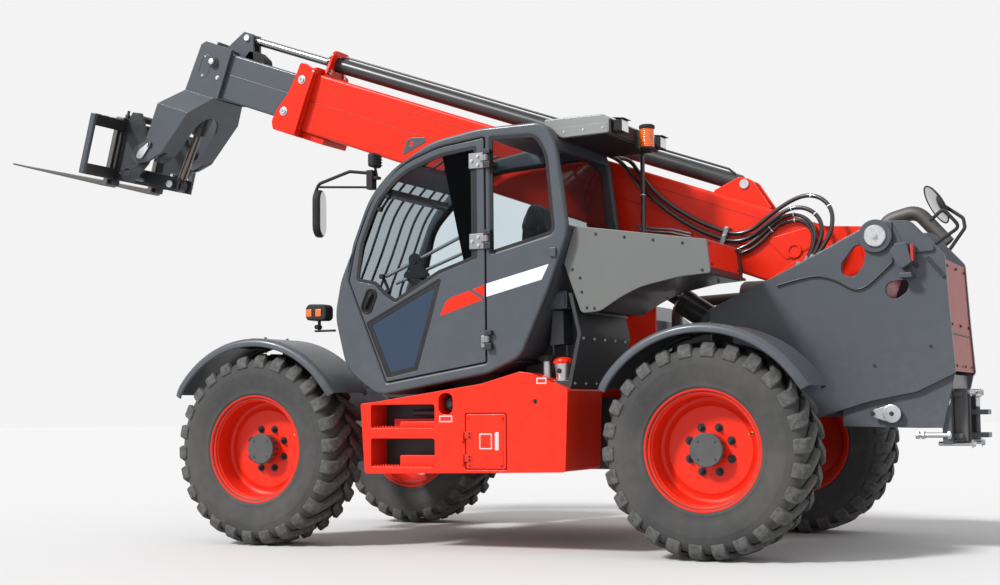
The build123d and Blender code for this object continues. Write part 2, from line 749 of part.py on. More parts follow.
with BuildPart() as cab_glass:
    for zone in (windscreen_zone, roof_zone, rear_zone):
        with BuildSketch(side(pane_y[0] - seat_gap)) as band:
            with BuildLine():
                Polyline(*cab_outline, close=True)
            make_face()
            fillet(band.vertices(), radius=35)
            offset(amount=-pane_inset, kind=Kind.INTERSECTION)
            offset(amount=-glass_thickness, kind=Kind.INTERSECTION, mode=Mode.SUBTRACT)
            with BuildLine():
                Polyline(*zone, close=True)
            make_face(mode=Mode.INTERSECT)
        extrude(amount=pane_y[0] - pane_y[1] - 2 * seat_gap)
    pane(rear_side_window, cab_outer_y - pane_inset, 25)
    pane(right_window, cab_inner_y + pane_inset + glass_thickness, 25)
cab_glass.part.label = "cab_glass"
export_step(cab_glass.part, "parts/cab_glass.step")

seat_base_outline = [(1240, cab_deck_z(1240)), (1540, cab_deck_z(1540)), (1540, 1400), (1240, 1400)]
with BuildPart() as seat_base:
    plate(side, seat_base_outline, 860, 360)
seat_base.part.label = "seat_base"
export_step(seat_base.part, "parts/seat_base.step")

seat_outline = [(1130, 1400), (1620, 1400), (1640, 1500), (1290, 1520)]
seat_outline += [(1180, 2080), (1080, 2080), (1100, 1500)]
with BuildPart() as seat:
    plate(side, seat_outline, 910, 460, corner=30)
seat.part.label = "seat"
export_step(seat.part, "parts/seat.step")

steering_tilt = 32.0
console_outline = [(1880, cab_deck_z(1880)), (2000, cab_deck_z(2000)), (2170, 1078), (2235, 1330)]
console_outline += [(2200, 1450), (2060, 1480), (1980, 1400), (1950, 1200)]
with BuildPart() as steering_console:
    plate(side, console_outline, 860, 360)
    column_axis = (-sin(radians(steering_tilt)), 0, cos(radians(steering_tilt)))
    column = Plane(origin=world(2010, 680, 1380), x_dir=(0, 1, 0), z_dir=column_axis)
    with BuildSketch(column):
        Circle(28)
    extrude(amount=240)
    with BuildSketch(column.offset(215)):
        Circle(180)
        Circle(155, mode=Mode.SUBTRACT)
        Rectangle(330, 34)
    extrude(amount=22)
steering_console.part.label = "steering_console"
export_step(steering_console.part, "parts/steering_console.step")

ac_outline = [(550, 2368), (881, 2362), (965, 2446), (965, 2480), (600, 2480), (550, 2450)]
ac_y = (225.0, 1000.0)
with BuildPart() as ac_unit:
    plate(side, ac_outline, ac_y[1], ac_y[1] - ac_y[0])
ac_unit.part.label = "ac_unit"
export_step(ac_unit.part, "parts/ac_unit.step")

lamp_depth = 60.0
with BuildPart() as work_lamps:
    for y in (ac_y[1] - 70, ac_y[0] + 70):
        block((550 - seat_gap - lamp_depth, 550 - seat_gap), (y - 55, y + 55), (2372, 2446))
work_lamps.part.label = "work_lamps"
export_step(work_lamps.part, "parts/work_lamps.step")

beacon_x, beacon_y = 494.0, 570.0
beacon_z = (2338.0, 2452.0, 2478.0)  # foot of the lens, its top and the top of the cap
beacon_radius = 43.0
with BuildPart() as beacon:
    arm_front = ac_outline[0][0] - seat_gap
    bracket_y = (beacon_y - 35, beacon_y + 35)
    block((arm_front - 5, arm_front), bracket_y, (beacon_z[0] - 8, beacon_z[1]))
    block((beacon_x - 40, arm_front), bracket_y, (beacon_z[0] - 8, beacon_z[0]))
    for radius, low, high in (
        (beacon_radius, beacon_z[0], beacon_z[1]),
        (beacon_radius + 4, beacon_z[1], beacon_z[2]),
    ):
        with BuildSketch(Plane(origin=world(beacon_x, beacon_y, low))):
            Circle(radius)
        extrude(amount=high - low)
beacon.part.label = "beacon"
export_step(beacon.part, "parts/beacon.step")

arm_radius = 12.0
arm_y = 1060.0
with BuildPart() as mirrors:
    block((2425, 2495), (1000, 1165), (1880, 2170))
    pillar = along(cab_outline[0], cab_outline[-1], arm_y)
    foot = [(110, -10), (150, -10), (150, -seat_gap), (110, -seat_gap)]
    with BuildSketch(along(cab_outline[0], cab_outline[-1], arm_y + 20)):
        with BuildLine():
            Polyline(*foot, close=True)
        make_face()
    extrude(amount=40)
    front_arm = [pillar.from_local_coords((130, -8, 0))]
    front_arm += [world(2330, arm_y, 2010), world(2435, arm_y + 10, 2040)]
    tube_path(front_arm, arm_radius, [60])
    foot_y = -frame_half - stiffener - seat_gap
    block((-1030, -990), (foot_y - 12, foot_y), (1670, 1710))
    rear_rod = [
        world(-1010, foot_y - 8, 1690),
        world(-1030, foot_y - 148, 1800),
        world(-1100, foot_y - 228, 1900),
        world(-1010, foot_y - 278, 2060),
    ]
    tube_path(rear_rod, arm_radius, [70, 60])
    rear_mirror = world(-1000, foot_y - 278, 2070)
    with BuildSketch(Plane(origin=rear_mirror, x_dir=(0, 1, 0), z_dir=(-0.86, 0, -0.5))):
        Circle(125)
    extrude(amount=30)
mirrors.part.label = "mirrors"
export_step(mirrors.part, "parts/mirrors.step")

# ---------------------------------------------------------------- boom
outer_low = outer_top - outer_height
box_middle = outer_top - outer_height / 2
inner_high = box_middle + inner_height / 2
inner_low = box_middle - inner_height / 2
collar_back = 4040.0
collar_plate = 25.0
collar_low = outer_low - 46
pad_length = 120.0
lift_gap = lift_barrel_radius + 8
lift_ear = 25.0


def boom_box(u, y, w, mode=Mode.ADD):
    """Box in the boom frame from three (low, high) pairs."""
    corner_points = [(u[0], w[0]), (u[1], w[0]), (u[1], w[1]), (u[0], w[1])]
    plate(boom, corner_points, y[1], y[1] - y[0], mode)


with BuildPart() as outer_boom:
    boom_box((outer_tail, outer_front), (-outer_half, outer_half), (outer_low, outer_top))
    hollow_y = (outer_wall - outer_half, outer_half - outer_wall)
    hollow_w = (outer_low + outer_wall, outer_top - outer_wall)
    boom_box((150, outer_front), hollow_y, hollow_w, Mode.SUBTRACT)
    tail_plate = [(-100, -200), (-96, 20), (-45, 92), (40, 92), (120, 45), (340, outer_top), (340, -110)]
    for y in (outer_half, -outer_half + frame_plate):
        plate(boom, tail_plate, y, frame_plate)
        collar = [(collar_back, outer_top + 40), (collar_back, outer_low), (collar_back + 20, collar_low)]
        collar += [(outer_front, collar_low), (outer_front - 85, outer_top + 40)]
    for y in (outer_half + collar_plate, -outer_half):
        plate(boom, collar, y, collar_plate)
    boom_box((collar_back + 20, outer_front), (-outer_half, outer_half), (collar_low, outer_low))
    boom_box((outer_front - pad_length, outer_front), hollow_y, hollow_w)
    pad_half = inner_half + seat_gap
    pad_w = (inner_low - seat_gap, inner_high + seat_gap)
    boom_box((outer_front - pad_length, outer_front), (-pad_half, pad_half), pad_w, Mode.SUBTRACT)
    sleeve = frame_inner - seat_gap
    round_bar(boom, (0, 0), 85, sleeve, -sleeve)
    round_bar(boom, (0, 0), pivot_radius + running_clearance, sleeve, -sleeve, Mode.SUBTRACT)
    lug = [(740, outer_top), (880, extend_w + 42), (965, extend_w + 42), (1060, outer_top)]
    for y in (extend_eye_half + 26, -extend_eye_half - 2):
        plate(boom, lug, y, 24)
    pin_half = extend_eye_half + 38
    round_bar(boom, (extend_tail_u, extend_w), extend_pin_radius, pin_half, -pin_half)
    hoop = [(4012, outer_top), (4018, extend_w + 90), (4040, extend_w + 90), (4052, outer_top)]
    plate(boom, hoop, 110, 220)
    barrel_seat = extend_barrel_radius + seat_gap
    with BuildSketch(across_boom(4000, extend_w)):
        Circle(barrel_seat)
    extrude(amount=150, mode=Mode.SUBTRACT)
    lift_bracket = [(1370, outer_low), (1540, lift_eye_w - 62), (1660, lift_eye_w - 62), (1830, outer_low)]
    for y in (lift_gap + lift_ear, -lift_gap):
        plate(boom, lift_bracket, y, lift_ear)
    for y in (lift_gap + lift_ear + 14, -lift_gap - lift_ear):
        round_bar(boom, (lift_eye_u, lift_eye_w), 42, y, y - 14)
outer_boom.part.label = "outer_boom"
export_step(outer_boom.part, "parts/outer_boom.step")

with BuildPart() as inner_boom:
    inner_end = 4850.0
    boom_box((inner_tail, inner_end), (-inner_half, inner_half), (inner_low, inner_high))
    slide_half = outer_half - outer_wall - seat_gap
    slide_w = (outer_low + outer_wall + seat_gap, outer_top - outer_wall - seat_gap)
    boom_box((inner_tail, inner_tail + pad_length), (-slide_half, slide_half), slide_w)
    core_y = (inner_wall - inner_half, inner_half - inner_wall)
    core_w = (inner_low + inner_wall, inner_high - inner_wall)
    boom_box((inner_tail, inner_end), core_y, core_w, Mode.SUBTRACT)
inner_boom.part.label = "inner_boom"
export_step(inner_boom.part, "parts/inner_boom.step")

head_back = 4810.0
head_front = 5300.0
head_upper = inner_half + head_plate
head_profile = [
    (head_back, -30),
    (5050, -22),
    (5085, -55),
    (5110, -400),
    (5215, -550),
    (5225, -840),
    (5305, -900),
    (5310, -975),
    (5240, -1012),
    (5150, -960),
    (5060, -880),
    (4935, -560),
    (4850, -400),
    (head_back, -392),
]
joggle = [(-22, inner_half, head_upper), (-400, inner_half, head_upper)]  # w, inner and outer y
joggle += [(-548, head_half - head_plate, head_half), (-1012, head_half - head_plate, head_half)]


def head_extrude(points, mode=Mode.ADD):
    """Solid along the boom at the head, from a section of (y, w) points."""
    with BuildSketch(across_boom(head_back, 0)) as sketch:
        with BuildLine():
            Polyline(*points, close=True)
        make_face()
    extrude(sketch.sketch, amount=head_front + 20 - head_back, mode=mode)


with BuildPart() as head_web:
    web = [(4850, -400), (4935, -560), (5060, -880), (5150, -960)]
    web += [(5158, -944), (5073, -868), (4949, -554), (4862, -392)]
    plate(boom, web, head_half, 2 * head_half)
    inside = [(inner + 2, w) for w, inner, outer in joggle]
    head_extrude(inside + [(-y, w) for y, w in reversed(inside)], Mode.INTERSECT)
    with BuildSketch(across_boom(head_back, 0)):
        with Locations((0, -668)):
            Circle(126)
        with Locations((0, -668 - 250)):
            Rectangle(252, 500)
    extrude(amount=head_front - head_back, mode=Mode.SUBTRACT)
    lip = coupler_y - coupler_plate - 7
    for y in ((lip, head_half), (-head_half, -lip)):
        boom_box((4900, head_front), y, (-1020, -872), Mode.SUBTRACT)

with BuildPart() as boom_head:
    for sign in (1, -1):
        outer_edge = [(sign * outer, w) for w, inner, outer in joggle]
        inner_edge = [(sign * inner, w) for w, inner, outer in reversed(joggle)]
        head_extrude(outer_edge + inner_edge)
    plate(boom, head_profile, head_half + 5, 2 * head_half + 10, Mode.INTERSECT)
    add(head_web.part)
    boom_box((inner_end, 5040), (-inner_half, inner_half), (-44, -30))
    for y in (50, -30):
        ear_outline = [(4700, inner_high), (4768, extend_w + 38), (4850, extend_w + 38), (4960, -30)]
        ear_outline += [(inner_end, -44), (inner_end, inner_high)]
        plate(boom, ear_outline, y, 20)
    round_bar(boom, (extend_eye_u, extend_w), extend_pin_radius, 62, -62)
    round_bar(boom, (tilt_base_u, tilt_base_w), tilt_pin_radius, inner_half, -inner_half)
    pin_in = head_half - head_plate - 42
    for y_left, y_right in ((head_half + 12, pin_in), (-pin_in, -head_half - 12)):
        round_bar(boom, (fork_pivot_u, fork_pivot_w), fork_pin_radius, y_left, y_right)
boom_head.part.label = "boom_head"
export_step(boom_head.part, "parts/boom_head.step")

# ---------------------------------------------------------------- cylinders
lift_base = (lift_base_x, lift_base_z)
lift_eye = from_boom(lift_eye_u, lift_eye_w)
lift_length = hypot(lift_eye[0] - lift_base[0], lift_eye[1] - lift_base[1])
lift_mouth = 1200.0
lift_bore = lift_rod_radius + running_clearance


def barrel(start, end, pin_radius, eye_radius, eye_half, radius, bore, bottom, mouth):
    """Cylinder barrel from its pin at start towards end, open at its mouth."""

    def axis_plane(y):
        return along(start, end, y)

    round_bar(axis_plane, (0, 0), eye_radius, eye_half, -eye_half)
    origin = axis_plane(0).from_local_coords((eye_radius - 12, 0, 0))
    with BuildSketch(Plane(origin=origin, x_dir=(0, 1, 0), z_dir=axis_plane(0).x_dir)) as body:
        Circle(radius)
    extrude(body.sketch, amount=mouth - eye_radius + 12)
    origin = axis_plane(0).from_local_coords((bottom, 0, 0))
    with BuildSketch(Plane(origin=origin, x_dir=(0, 1, 0), z_dir=axis_plane(0).x_dir)) as hole:
        Circle(bore)
    extrude(hole.sketch, amount=mouth - bottom, mode=Mode.SUBTRACT)
    round_bar(axis_plane, (0, 0), pin_radius + running_clearance, eye_half, -eye_half, Mode.SUBTRACT)


def rod(start, end, inner_end, radius, eye_radius, eye_half, pin_radius):
    """Cylinder rod from inner_end along start to end, with its eye on end."""

    def axis_plane(y):
        return along(start, end, y)

    length = hypot(end[0] - start[0], end[1] - start[1])
    origin = axis_plane(0).from_local_coords((inner_end, 0, 0))
    with BuildSketch(Plane(origin=origin, x_dir=(0, 1, 0), z_dir=axis_plane(0).x_dir)) as body:
        Circle(radius)
    extrude(body.sketch, amount=length - inner_end - eye_radius + 8)
    round_bar(axis_plane, (length, 0), eye_radius, eye_half, -eye_half)
    round_bar(axis_plane, (length, 0), pin_radius, eye_half, -eye_half, Mode.SUBTRACT)


with BuildPart() as lift_barrel:
    sizes = (lift_pin_radius, 62, 60, lift_barrel_radius, lift_bore, 85, lift_mouth)
    barrel(lift_base, lift_eye, *sizes)
lift_barrel.part.label = "lift_barrel"
export_step(lift_barrel.part, "parts/lift_barrel.step")

with BuildPart() as lift_rod:
    rod(lift_base, lift_eye, 445, lift_rod_radius, 58, 60, lift_pin_radius)
lift_rod.part.label = "lift_rod"
export_step(lift_rod.part, "parts/lift_rod.step")

extend_tail = from_boom(extend_tail_u, extend_w)
extend_eye = from_boom(extend_eye_u, extend_w)
extend_bore = extend_rod_radius + running_clearance
with BuildPart() as extend_barrel:
    mouth = extend_mouth_u - extend_tail_u
    sizes = (extend_pin_radius, 40, extend_eye_half, extend_barrel_radius, extend_bore, 70, mouth)
    barrel(extend_tail, extend_eye, *sizes)
extend_barrel.part.label = "extend_barrel"
export_step(extend_barrel.part, "parts/extend_barrel.step")

with BuildPart() as extend_rod:
    rod(extend_tail, extend_eye, 330, extend_rod_radius, 38, 29, extend_pin_radius + running_clearance)
extend_rod.part.label = "extend_rod"
export_step(extend_rod.part, "parts/extend_rod.step")

tilt_base = from_boom(tilt_base_u, tilt_base_w)
tilt_lug = from_fork(tilt_lug_s, tilt_lug_t)
tilt_bore = tilt_rod_radius + running_clearance
with BuildPart() as tilt_barrel:
    sizes = (tilt_pin_radius, 48, 44, tilt_barrel_radius, tilt_bore, 68, tilt_barrel_length)
    barrel(tilt_base, tilt_lug, *sizes)
tilt_barrel.part.label = "tilt_barrel"
export_step(tilt_barrel.part, "parts/tilt_barrel.step")

with BuildPart() as tilt_rod:
    rod(tilt_base, tilt_lug, 400, tilt_rod_radius, 42, 38, tilt_pin_radius)
tilt_rod.part.label = "tilt_rod"
export_step(tilt_rod.part, "parts/tilt_rod.step")

# ---------------------------------------------------------------- fork carriage
lug_gap = tilt_barrel_radius + 10
with BuildPart() as coupler:
    coupler_outline = [(carriage_s, carriage_low), (carriage_s, carriage_high), (175, 285), (105, 290)]
    coupler_outline += [(-40, 62), (-66, 0), (-45, -58), (60, -215)]
    for y in (coupler_y, coupler_plate - coupler_y):
        plate(fork, coupler_outline, y, coupler_plate)
    for y in (coupler_y, coupler_plate - coupler_y):
        round_bar(fork, (0, 0), fork_pin_radius + running_clearance, y, y - coupler_plate, Mode.SUBTRACT)
    round_bar(fork, (138, 250), 26, coupler_y, -coupler_y)
    round_bar(fork, (115, -150), 45, coupler_y, -coupler_y)
    for y in (lug_gap + 20, -lug_gap):
        lug_outline = [(-212, -212), (-215, -120), (-150, -112), (115, -108), (150, -190)]
        plate(fork, lug_outline, y, 20)
    for y in (lug_gap + 30, -lug_gap - 20):
        round_bar(fork, (tilt_lug_s, tilt_lug_t), 34, y, y - 10)
coupler.part.label = "coupler"
export_step(coupler.part, "parts/coupler.step")


def fork_box(s, y, t, mode=Mode.ADD):
    """Box in the fork frame from three (low, high) pairs."""
    corner_points = [(s[0], t[0]), (s[1], t[0]), (s[1], t[1]), (s[0], t[1])]
    plate(fork, corner_points, y[1], y[1] - y[0], mode)


carriage_front = carriage_s + carriage_bar
bar_height = 80.0
with BuildPart() as fork_carriage:
    for t in (carriage_low, carriage_high - bar_height):
        fork_box((carriage_s, carriage_front), (-carriage_half, carriage_half), (t, t + bar_height))
    for y in (-carriage_half, carriage_half - 30):
        fork_box((carriage_s, carriage_front), (y, y + 30), (carriage_low, carriage_high))
fork_carriage.part.label = "fork_carriage"
export_step(fork_carriage.part, "parts/fork_carriage.step")

with BuildPart() as forks:
    shank_front = fork_back + fork_thickness
    hook_low = carriage_high + seat_gap
    fork_outline = [
        (carriage_s + 5, hook_low),
        (carriage_s + 5, hook_low + 22),
        (shank_front, hook_low + 22),
        (shank_front, fork_low + fork_thickness),
        (fork_tip, fork_low + fork_tip_thickness),
        (fork_tip, fork_low),
        (fork_back, fork_low),
        (fork_back, hook_low),
    ]
    for y in (fork_y, -fork_y):
        plate(fork, fork_outline, y + fork_width / 2, fork_width)
forks.part.label = "forks"
export_step(forks.part, "parts/forks.step")

# ---------------------------------------------------------------- hoses
hose_w = (-222.0, -268.0)  # the two thick hoses in their clamp, in the boom frame
clamp_u = 895.0
clamp_half = 13.0
hose_clearance = 0.3
ferrule_length = 60.0
ferrule_wall = 4.0

# each route as (along the boom, left of the middle, across the boom) from the boom pivot
hoses = [
    (
        "boom_hose_top",
        thick_hose_radius,
        [
            (1840, 125, 14),
            (1740, 134, 17),
            (1635, 184, 27),
            (1530, 210, -48),
            (1390, 204, -130),
            (1230, 203, -185),
            (1010, 203, hose_w[0]),
            (780, 203, hose_w[0]),
            (640, 228, -14),
            (520, 250, 108),
            (410, 270, 134),
            (312, 286, 90),
            (268, 297, -12),
            (278, 300, -122),
            (310, 300, -224),
        ],
    ),
    (
        "boom_hose_second",
        thick_hose_radius,
        [
            (1840, 170, 14),
            (1755, 186, 17),
            (1650, 208, -16),
            (1520, 204, -110),
            (1360, 203, -180),
            (1190, 203, -238),
            (1010, 203, hose_w[1]),
            (780, 203, hose_w[1]),
            (650, 230, -90),
            (565, 240, 22),
            (452, 248, 52),
            (352, 262, 6),
            (312, 267, -98),
            (330, 268, -200),
        ],
    ),
    (
        "boom_hose_third",
        thin_hose_radius,
        [
            (880, 216, -352),
            (775, 211, -300),
            (690, 205, -190),
            (625, 206, -70),
            (545, 209, -5),
            (445, 216, -5),
            (370, 227, -70),
            (352, 233, -165),
            (362, 236, -245),
        ],
    ),
    (
        "boom_hose_fourth",
        thin_hose_radius,
        [
            (850, 197, -362),
            (745, 197, -310),
            (670, 198, -215),
            (625, 198, -115),
            (575, 198, -64),
            (495, 199, -24),
            (408, 202, -52),
            (368, 204, -132),
            (376, 204, -215),
        ],
    ),
]


def on_boom(point):
    """A (u, y, w) point of the boom frame, in world coordinates."""
    return boom(point[1]).from_local_coords((point[0], point[2], 0))


def hose(name, radius, points):
    """Tube along straight runs joined by the largest tangent arcs that they leave room for."""
    runs = [Vector(after) - Vector(before) for before, after in zip(points, points[1:])]
    radii = []
    for run, following in zip(runs, runs[1:]):
        turn = radians(run.get_angle(following))
        radii.append(0.45 * min(run.length, following.length) / tan(turn / 2))
    with BuildPart() as tube:
        with BuildLine() as path:
            FilletPolyline(*points, radius=radii)
        with BuildSketch(Plane(origin=path.line @ 0, z_dir=path.line % 0)) as section:
            Circle(radius)
        sweep(section.sketch, path=path.line)
    length = path.wire().length
    share = tube.part.volume / (section.sketch.area * length)
    print(f"{name}: {length:.0f} mm long, volume {share:.3f} of section times length")
    print("  arcs in diameters:", *(f"{arc / radius / 2:.1f}" for arc in radii))
    tube.part.label = name
    export_step(tube.part, f"parts/{name}.step")


for name, radius, points in hoses:
    hose(name, radius, [on_boom(point) for point in points])

with BuildPart() as hose_fixings:
    port_boxes = [
        ((1875, 1930), (100, 190), (outer_top, outer_top + 60)),
        ((895, 960), (outer_half, outer_half + 48), (-402, -345)),
        ((296, 400), (outer_half, frame_inner - 12), (-310, -262)),
        ((clamp_u - clamp_half, clamp_u + clamp_half), (outer_half, outer_half + 44), (-298, -192)),
    ]
    for u, y, w in port_boxes:
        boom_box(u, y, w)
    for name, radius, points in hoses:
        for end, inner in ((points[0], points[1]), (points[-1], points[-2])):
            away = (on_boom(end) - on_boom(inner)).normalized()
            with BuildSketch(Plane(origin=on_boom(end) + away * hose_clearance, z_dir=away)):
                Circle(radius + ferrule_wall)
            extrude(amount=ferrule_length)
    with BuildSketch(across_boom(clamp_u - clamp_half - 1, 0)):
        for w in hose_w:
            with Locations((203, w)):
                Circle(thick_hose_radius + hose_clearance)
    extrude(amount=2 * clamp_half + 2, mode=Mode.SUBTRACT)
hose_fixings.part.label = "hose_fixings"
export_step(hose_fixings.part, "parts/hose_fixings.step")

ac_hose_route = [
    world(640, frame_half - 98, 2366),
    world(640, frame_half - 98, 2190),
    world(628, frame_half - 64, 1960),
    world(622, ac_port_y, 1720),
    world(622, ac_port_y, ac_port_z + seat_gap),
]
hose("ac_hose", ac_hose_radius, [Vector(*point) for point in ac_hose_route])
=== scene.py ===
import json
from math import atan2, cos, pi, radians, sin, tan

import bmesh
import bpy
from mathutils import Matrix, Vector


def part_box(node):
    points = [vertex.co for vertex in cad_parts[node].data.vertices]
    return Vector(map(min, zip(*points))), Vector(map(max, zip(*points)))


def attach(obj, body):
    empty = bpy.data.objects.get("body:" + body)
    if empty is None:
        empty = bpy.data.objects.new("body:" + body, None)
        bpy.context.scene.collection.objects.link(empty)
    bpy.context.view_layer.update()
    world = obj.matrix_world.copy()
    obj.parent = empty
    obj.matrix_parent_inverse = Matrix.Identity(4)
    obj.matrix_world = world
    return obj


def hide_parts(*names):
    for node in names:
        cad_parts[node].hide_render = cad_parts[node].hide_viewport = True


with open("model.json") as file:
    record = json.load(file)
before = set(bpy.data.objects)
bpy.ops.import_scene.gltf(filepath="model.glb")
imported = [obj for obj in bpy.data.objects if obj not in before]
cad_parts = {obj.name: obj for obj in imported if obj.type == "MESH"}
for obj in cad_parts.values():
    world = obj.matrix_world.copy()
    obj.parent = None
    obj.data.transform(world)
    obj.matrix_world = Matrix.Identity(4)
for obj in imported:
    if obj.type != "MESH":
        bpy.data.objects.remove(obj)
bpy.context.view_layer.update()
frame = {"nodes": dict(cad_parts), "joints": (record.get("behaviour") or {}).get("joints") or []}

bl_info = {
    "name": "Telehandler",
    "version": (1, 0, 0),
    "blender": (4, 5, 0),
    "location": "View3D > Sidebar > Telehandler",
    "description": "Builds a telehandler with pallet forks around its packed CAD model",
    "category": "Add Mesh",
}

# ------------------------------------------------------------------ frames of the machine
CORNERS = ("front_left", "front_right", "rear_left", "rear_right")
WHEELS = {corner: sum(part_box(f"rim_{corner}"), Vector()) / 2 for corner in CORNERS}
JOINTS = {joint["name"]: joint for joint in frame["joints"]}
AXLE_X = WHEELS["rear_left"].x
AXLE_Z = WHEELS["rear_left"].z
WHEELBASE = WHEELS["front_left"].x - AXLE_X
TYRE_RADIUS = AXLE_Z


def drawing_plane(origin, along):
    """Matrix of a drawing plane seen from the left: x runs along, y upwards, z to the right."""
    x = Vector(along).normalized()
    y = Vector((-x.z, 0, x.x))
    matrix = Matrix((x, y, x.cross(y))).transposed().to_4x4()
    matrix.translation = Vector(origin)
    return matrix


SLIDE = Vector(JOINTS["boom_extend"]["axis"])
PIVOT = Vector(JOINTS["boom_lift"]["pos_m"])
FORK_PIVOT = Vector(JOINTS["fork_tilt"]["pos_m"])
FORK_LEAN = radians(14.5)
SIDE = drawing_plane((AXLE_X, 0, 0), (1, 0, 0))
BOOM = drawing_plane((PIVOT.x, 0, PIVOT.z), SLIDE)
FORK = drawing_plane((FORK_PIVOT.x, 0, FORK_PIVOT.z), (cos(FORK_LEAN), 0, sin(FORK_LEAN)))


def at(plane, x, y, z):
    """World point of (x, z) in a drawing plane's own axes, y metres to the left of the middle."""
    return plane @ Vector((x, z, -y))


def line_in(plane, *points):
    """World points of a path given in a drawing plane's own axes."""
    return [at(plane, *point) for point in points]


def turn_to(direction, place=(0, 0, 0)):
    """Matrix that lays local z along direction and moves the origin to place."""
    matrix = Vector(direction).to_track_quat("Z", "Y").to_matrix().to_4x4()
    matrix.translation = Vector(place)
    return matrix


# ------------------------------------------------------------------ shader maths
class Value:
    """A shader socket whose Python operators add Math nodes."""

    def __init__(self, finish, socket):
        self.finish, self.socket = finish, socket

    def _math(self, operation, *terms, clamp=False):
        settings = {"operation": operation, "use_clamp": clamp}
        made = self.finish.node("ShaderNodeMath", settings, dict(enumerate(terms)))
        return made["Value"]

    def __add__(self, other):
        return self._math("ADD", self, other)

    __radd__ = __add__

    def __sub__(self, other):
        return self._math("SUBTRACT", self, other)

    def __rsub__(self, other):
        return self._math("SUBTRACT", other, self)

    def __mul__(self, other):
        return self._math("MULTIPLY", self, other)

    __rmul__ = __mul__

    def above(self, low, high):
        """0 below low, 1 above high and even between them."""
        return self._math("MULTIPLY_ADD", self, 1 / (high - low), -low / (high - low), clamp=True)

    def sine(self):
        """Sine of the value in radians."""
        return self._math("SINE", self)


class Finish:
    """One material, made of nodes."""

    def __init__(self, base, **constants):
        self.material = bpy.data.materials.new("finish")
        self.material.use_nodes = True
        self.tree = self.material.node_tree
        self.tree.nodes.clear()
        self.surface = self.node("ShaderNodeBsdfPrincipled", {}, {"Base Color": base, **constants})
        self.node("ShaderNodeOutputMaterial", {}, {"Surface": self.surface["BSDF"]})

    def node(self, kind, settings=None, inputs=None):
        """Adds a node with its settings and its sockets' values or links; returns its outputs by name."""
        made = self.tree.nodes.new(kind)
        for key, value in (settings or {}).items():
            setattr(made, key, value)
        for key, value in (inputs or {}).items():
            self.feed(made.inputs[key], value)
        return {out.name: Value(self, out) for out in made.outputs if out.enabled}

    def feed(self, socket, value):
        """Links a value to a socket or writes a constant on it."""
        if isinstance(value, Value):
            self.tree.links.new(value.socket, socket)
        else:
            socket.default_value = value

    def place(self, scale=(1, 1, 1)):
        """Object coordinates, scaled."""
        coords = self.node("ShaderNodeTexCoord")["Object"]
        if scale == (1, 1, 1):
            return coords
        return self.node("ShaderNodeMapping", {}, {"Vector": coords, "Scale": scale})["Vector"]

    def noise(self, scale, detail=4.0, rough=0.55, stretch=(1, 1, 1)):
        """Noise from 0 to 1 on object coordinates."""
        inputs = {"Vector": self.place(stretch), "Scale": scale, "Detail": detail, "Roughness": rough}
        return self.node("ShaderNodeTexNoise", {}, inputs)["Fac"]

    def cells(self, scale):
        """Distance to the nearest of scattered points."""
        return self.node("ShaderNodeTexVoronoi", {}, {"Vector": self.place(), "Scale": scale})["Distance"]

    def axis(self, letter):
        """One of the object coordinates, in metres."""
        return self.node("ShaderNodeSeparateXYZ", {}, {"Vector": self.place()})[letter]

    def attribute(self, name):
        """A value that the mesh carries at its points."""
        return self.node("ShaderNodeAttribute", {"attribute_name": name})["Fac"]

    def blend(self, share, below, above):
        """Colour between two others, by share."""
        made = self.tree.nodes.new("ShaderNodeMix")
        made.data_type = "RGBA"
        share_socket, below_socket, above_socket, result = 0, 6, 7, 2
        for index, value in ((share_socket, share), (below_socket, below), (above_socket, above)):
            self.feed(made.inputs[index], value)
        return Value(self, made.outputs[result])

    def set(self, name, value):
        """Feeds one socket of the main shader."""
        self.feed(self.tree.nodes["Principled BSDF"].inputs[name], value)

    def bump(self, height, strength=0.2, distance=0.002):
        """Raises the surface's look by height."""
        inputs = {"Height": height, "Strength": strength, "Distance": distance}
        self.set("Normal", self.node("ShaderNodeBump", {}, inputs)["Normal"])


def rgb(*values):
    """Opaque colour."""
    return (*values, 1.0)


def shade(colour, share):
    """A colour made darker or lighter."""
    return rgb(*(channel * share for channel in colour[:3]))


DUST = rgb(0.30, 0.26, 0.22)


def paint(base, rough=0.34, dust=0.16, peel=0.05, shine=0.35):
    """Sprayed machine paint: faint orange peel, mottled sheen, dust that gathers low down."""
    made = Finish(base, **{"Coat Weight": 0.12, "Coat Roughness": 0.12, "Specular IOR Level": shine})
    broad = made.noise(0.9, 3.0)
    fine = made.noise(14.0, 6.0, 0.65)
    low = 1 - made.axis("Z").above(0.25, 1.5)
    dirt = (fine.above(0.42, 0.72) * 0.55 + broad * 0.45) * (low * 0.8 + 0.12) * dust
    tone = made.blend(broad.above(0.3, 0.7) * 0.5, base, shade(base, 0.86))
    made.set("Base Color", made.blend(dirt, tone, DUST))
    made.set("Roughness", rough + fine * 0.10 + dirt * 0.6)
    made.bump(made.noise(220.0, 2.0) + fine * 0.6, peel, 0.0015)
    return made.material


def steel(base, rough=0.42, metal=1.0, streak=(1, 1, 1), rust=0.0, bump=0.08):
    """Bare or burnished metal, with brushed streaks and, where it is raw, patches of rust."""
    made = Finish(base, Metallic=metal)
    grain = made.noise(60.0, 5.0, 0.6, stretch=streak)
    patch = made.noise(7.0, 8.0, 0.7).above(0.55, 0.75) * rust
    tone = made.blend(grain, shade(base, 0.72), base)
    made.set("Base Color", made.blend(patch, tone, rgb(0.16, 0.07, 0.035)))
    made.set("Roughness", rough + grain * 0.18 + patch * 0.35)
    made.set("Metallic", metal - patch * 0.8)
    made.bump(grain + patch, bump, 0.0015)
    return made.material


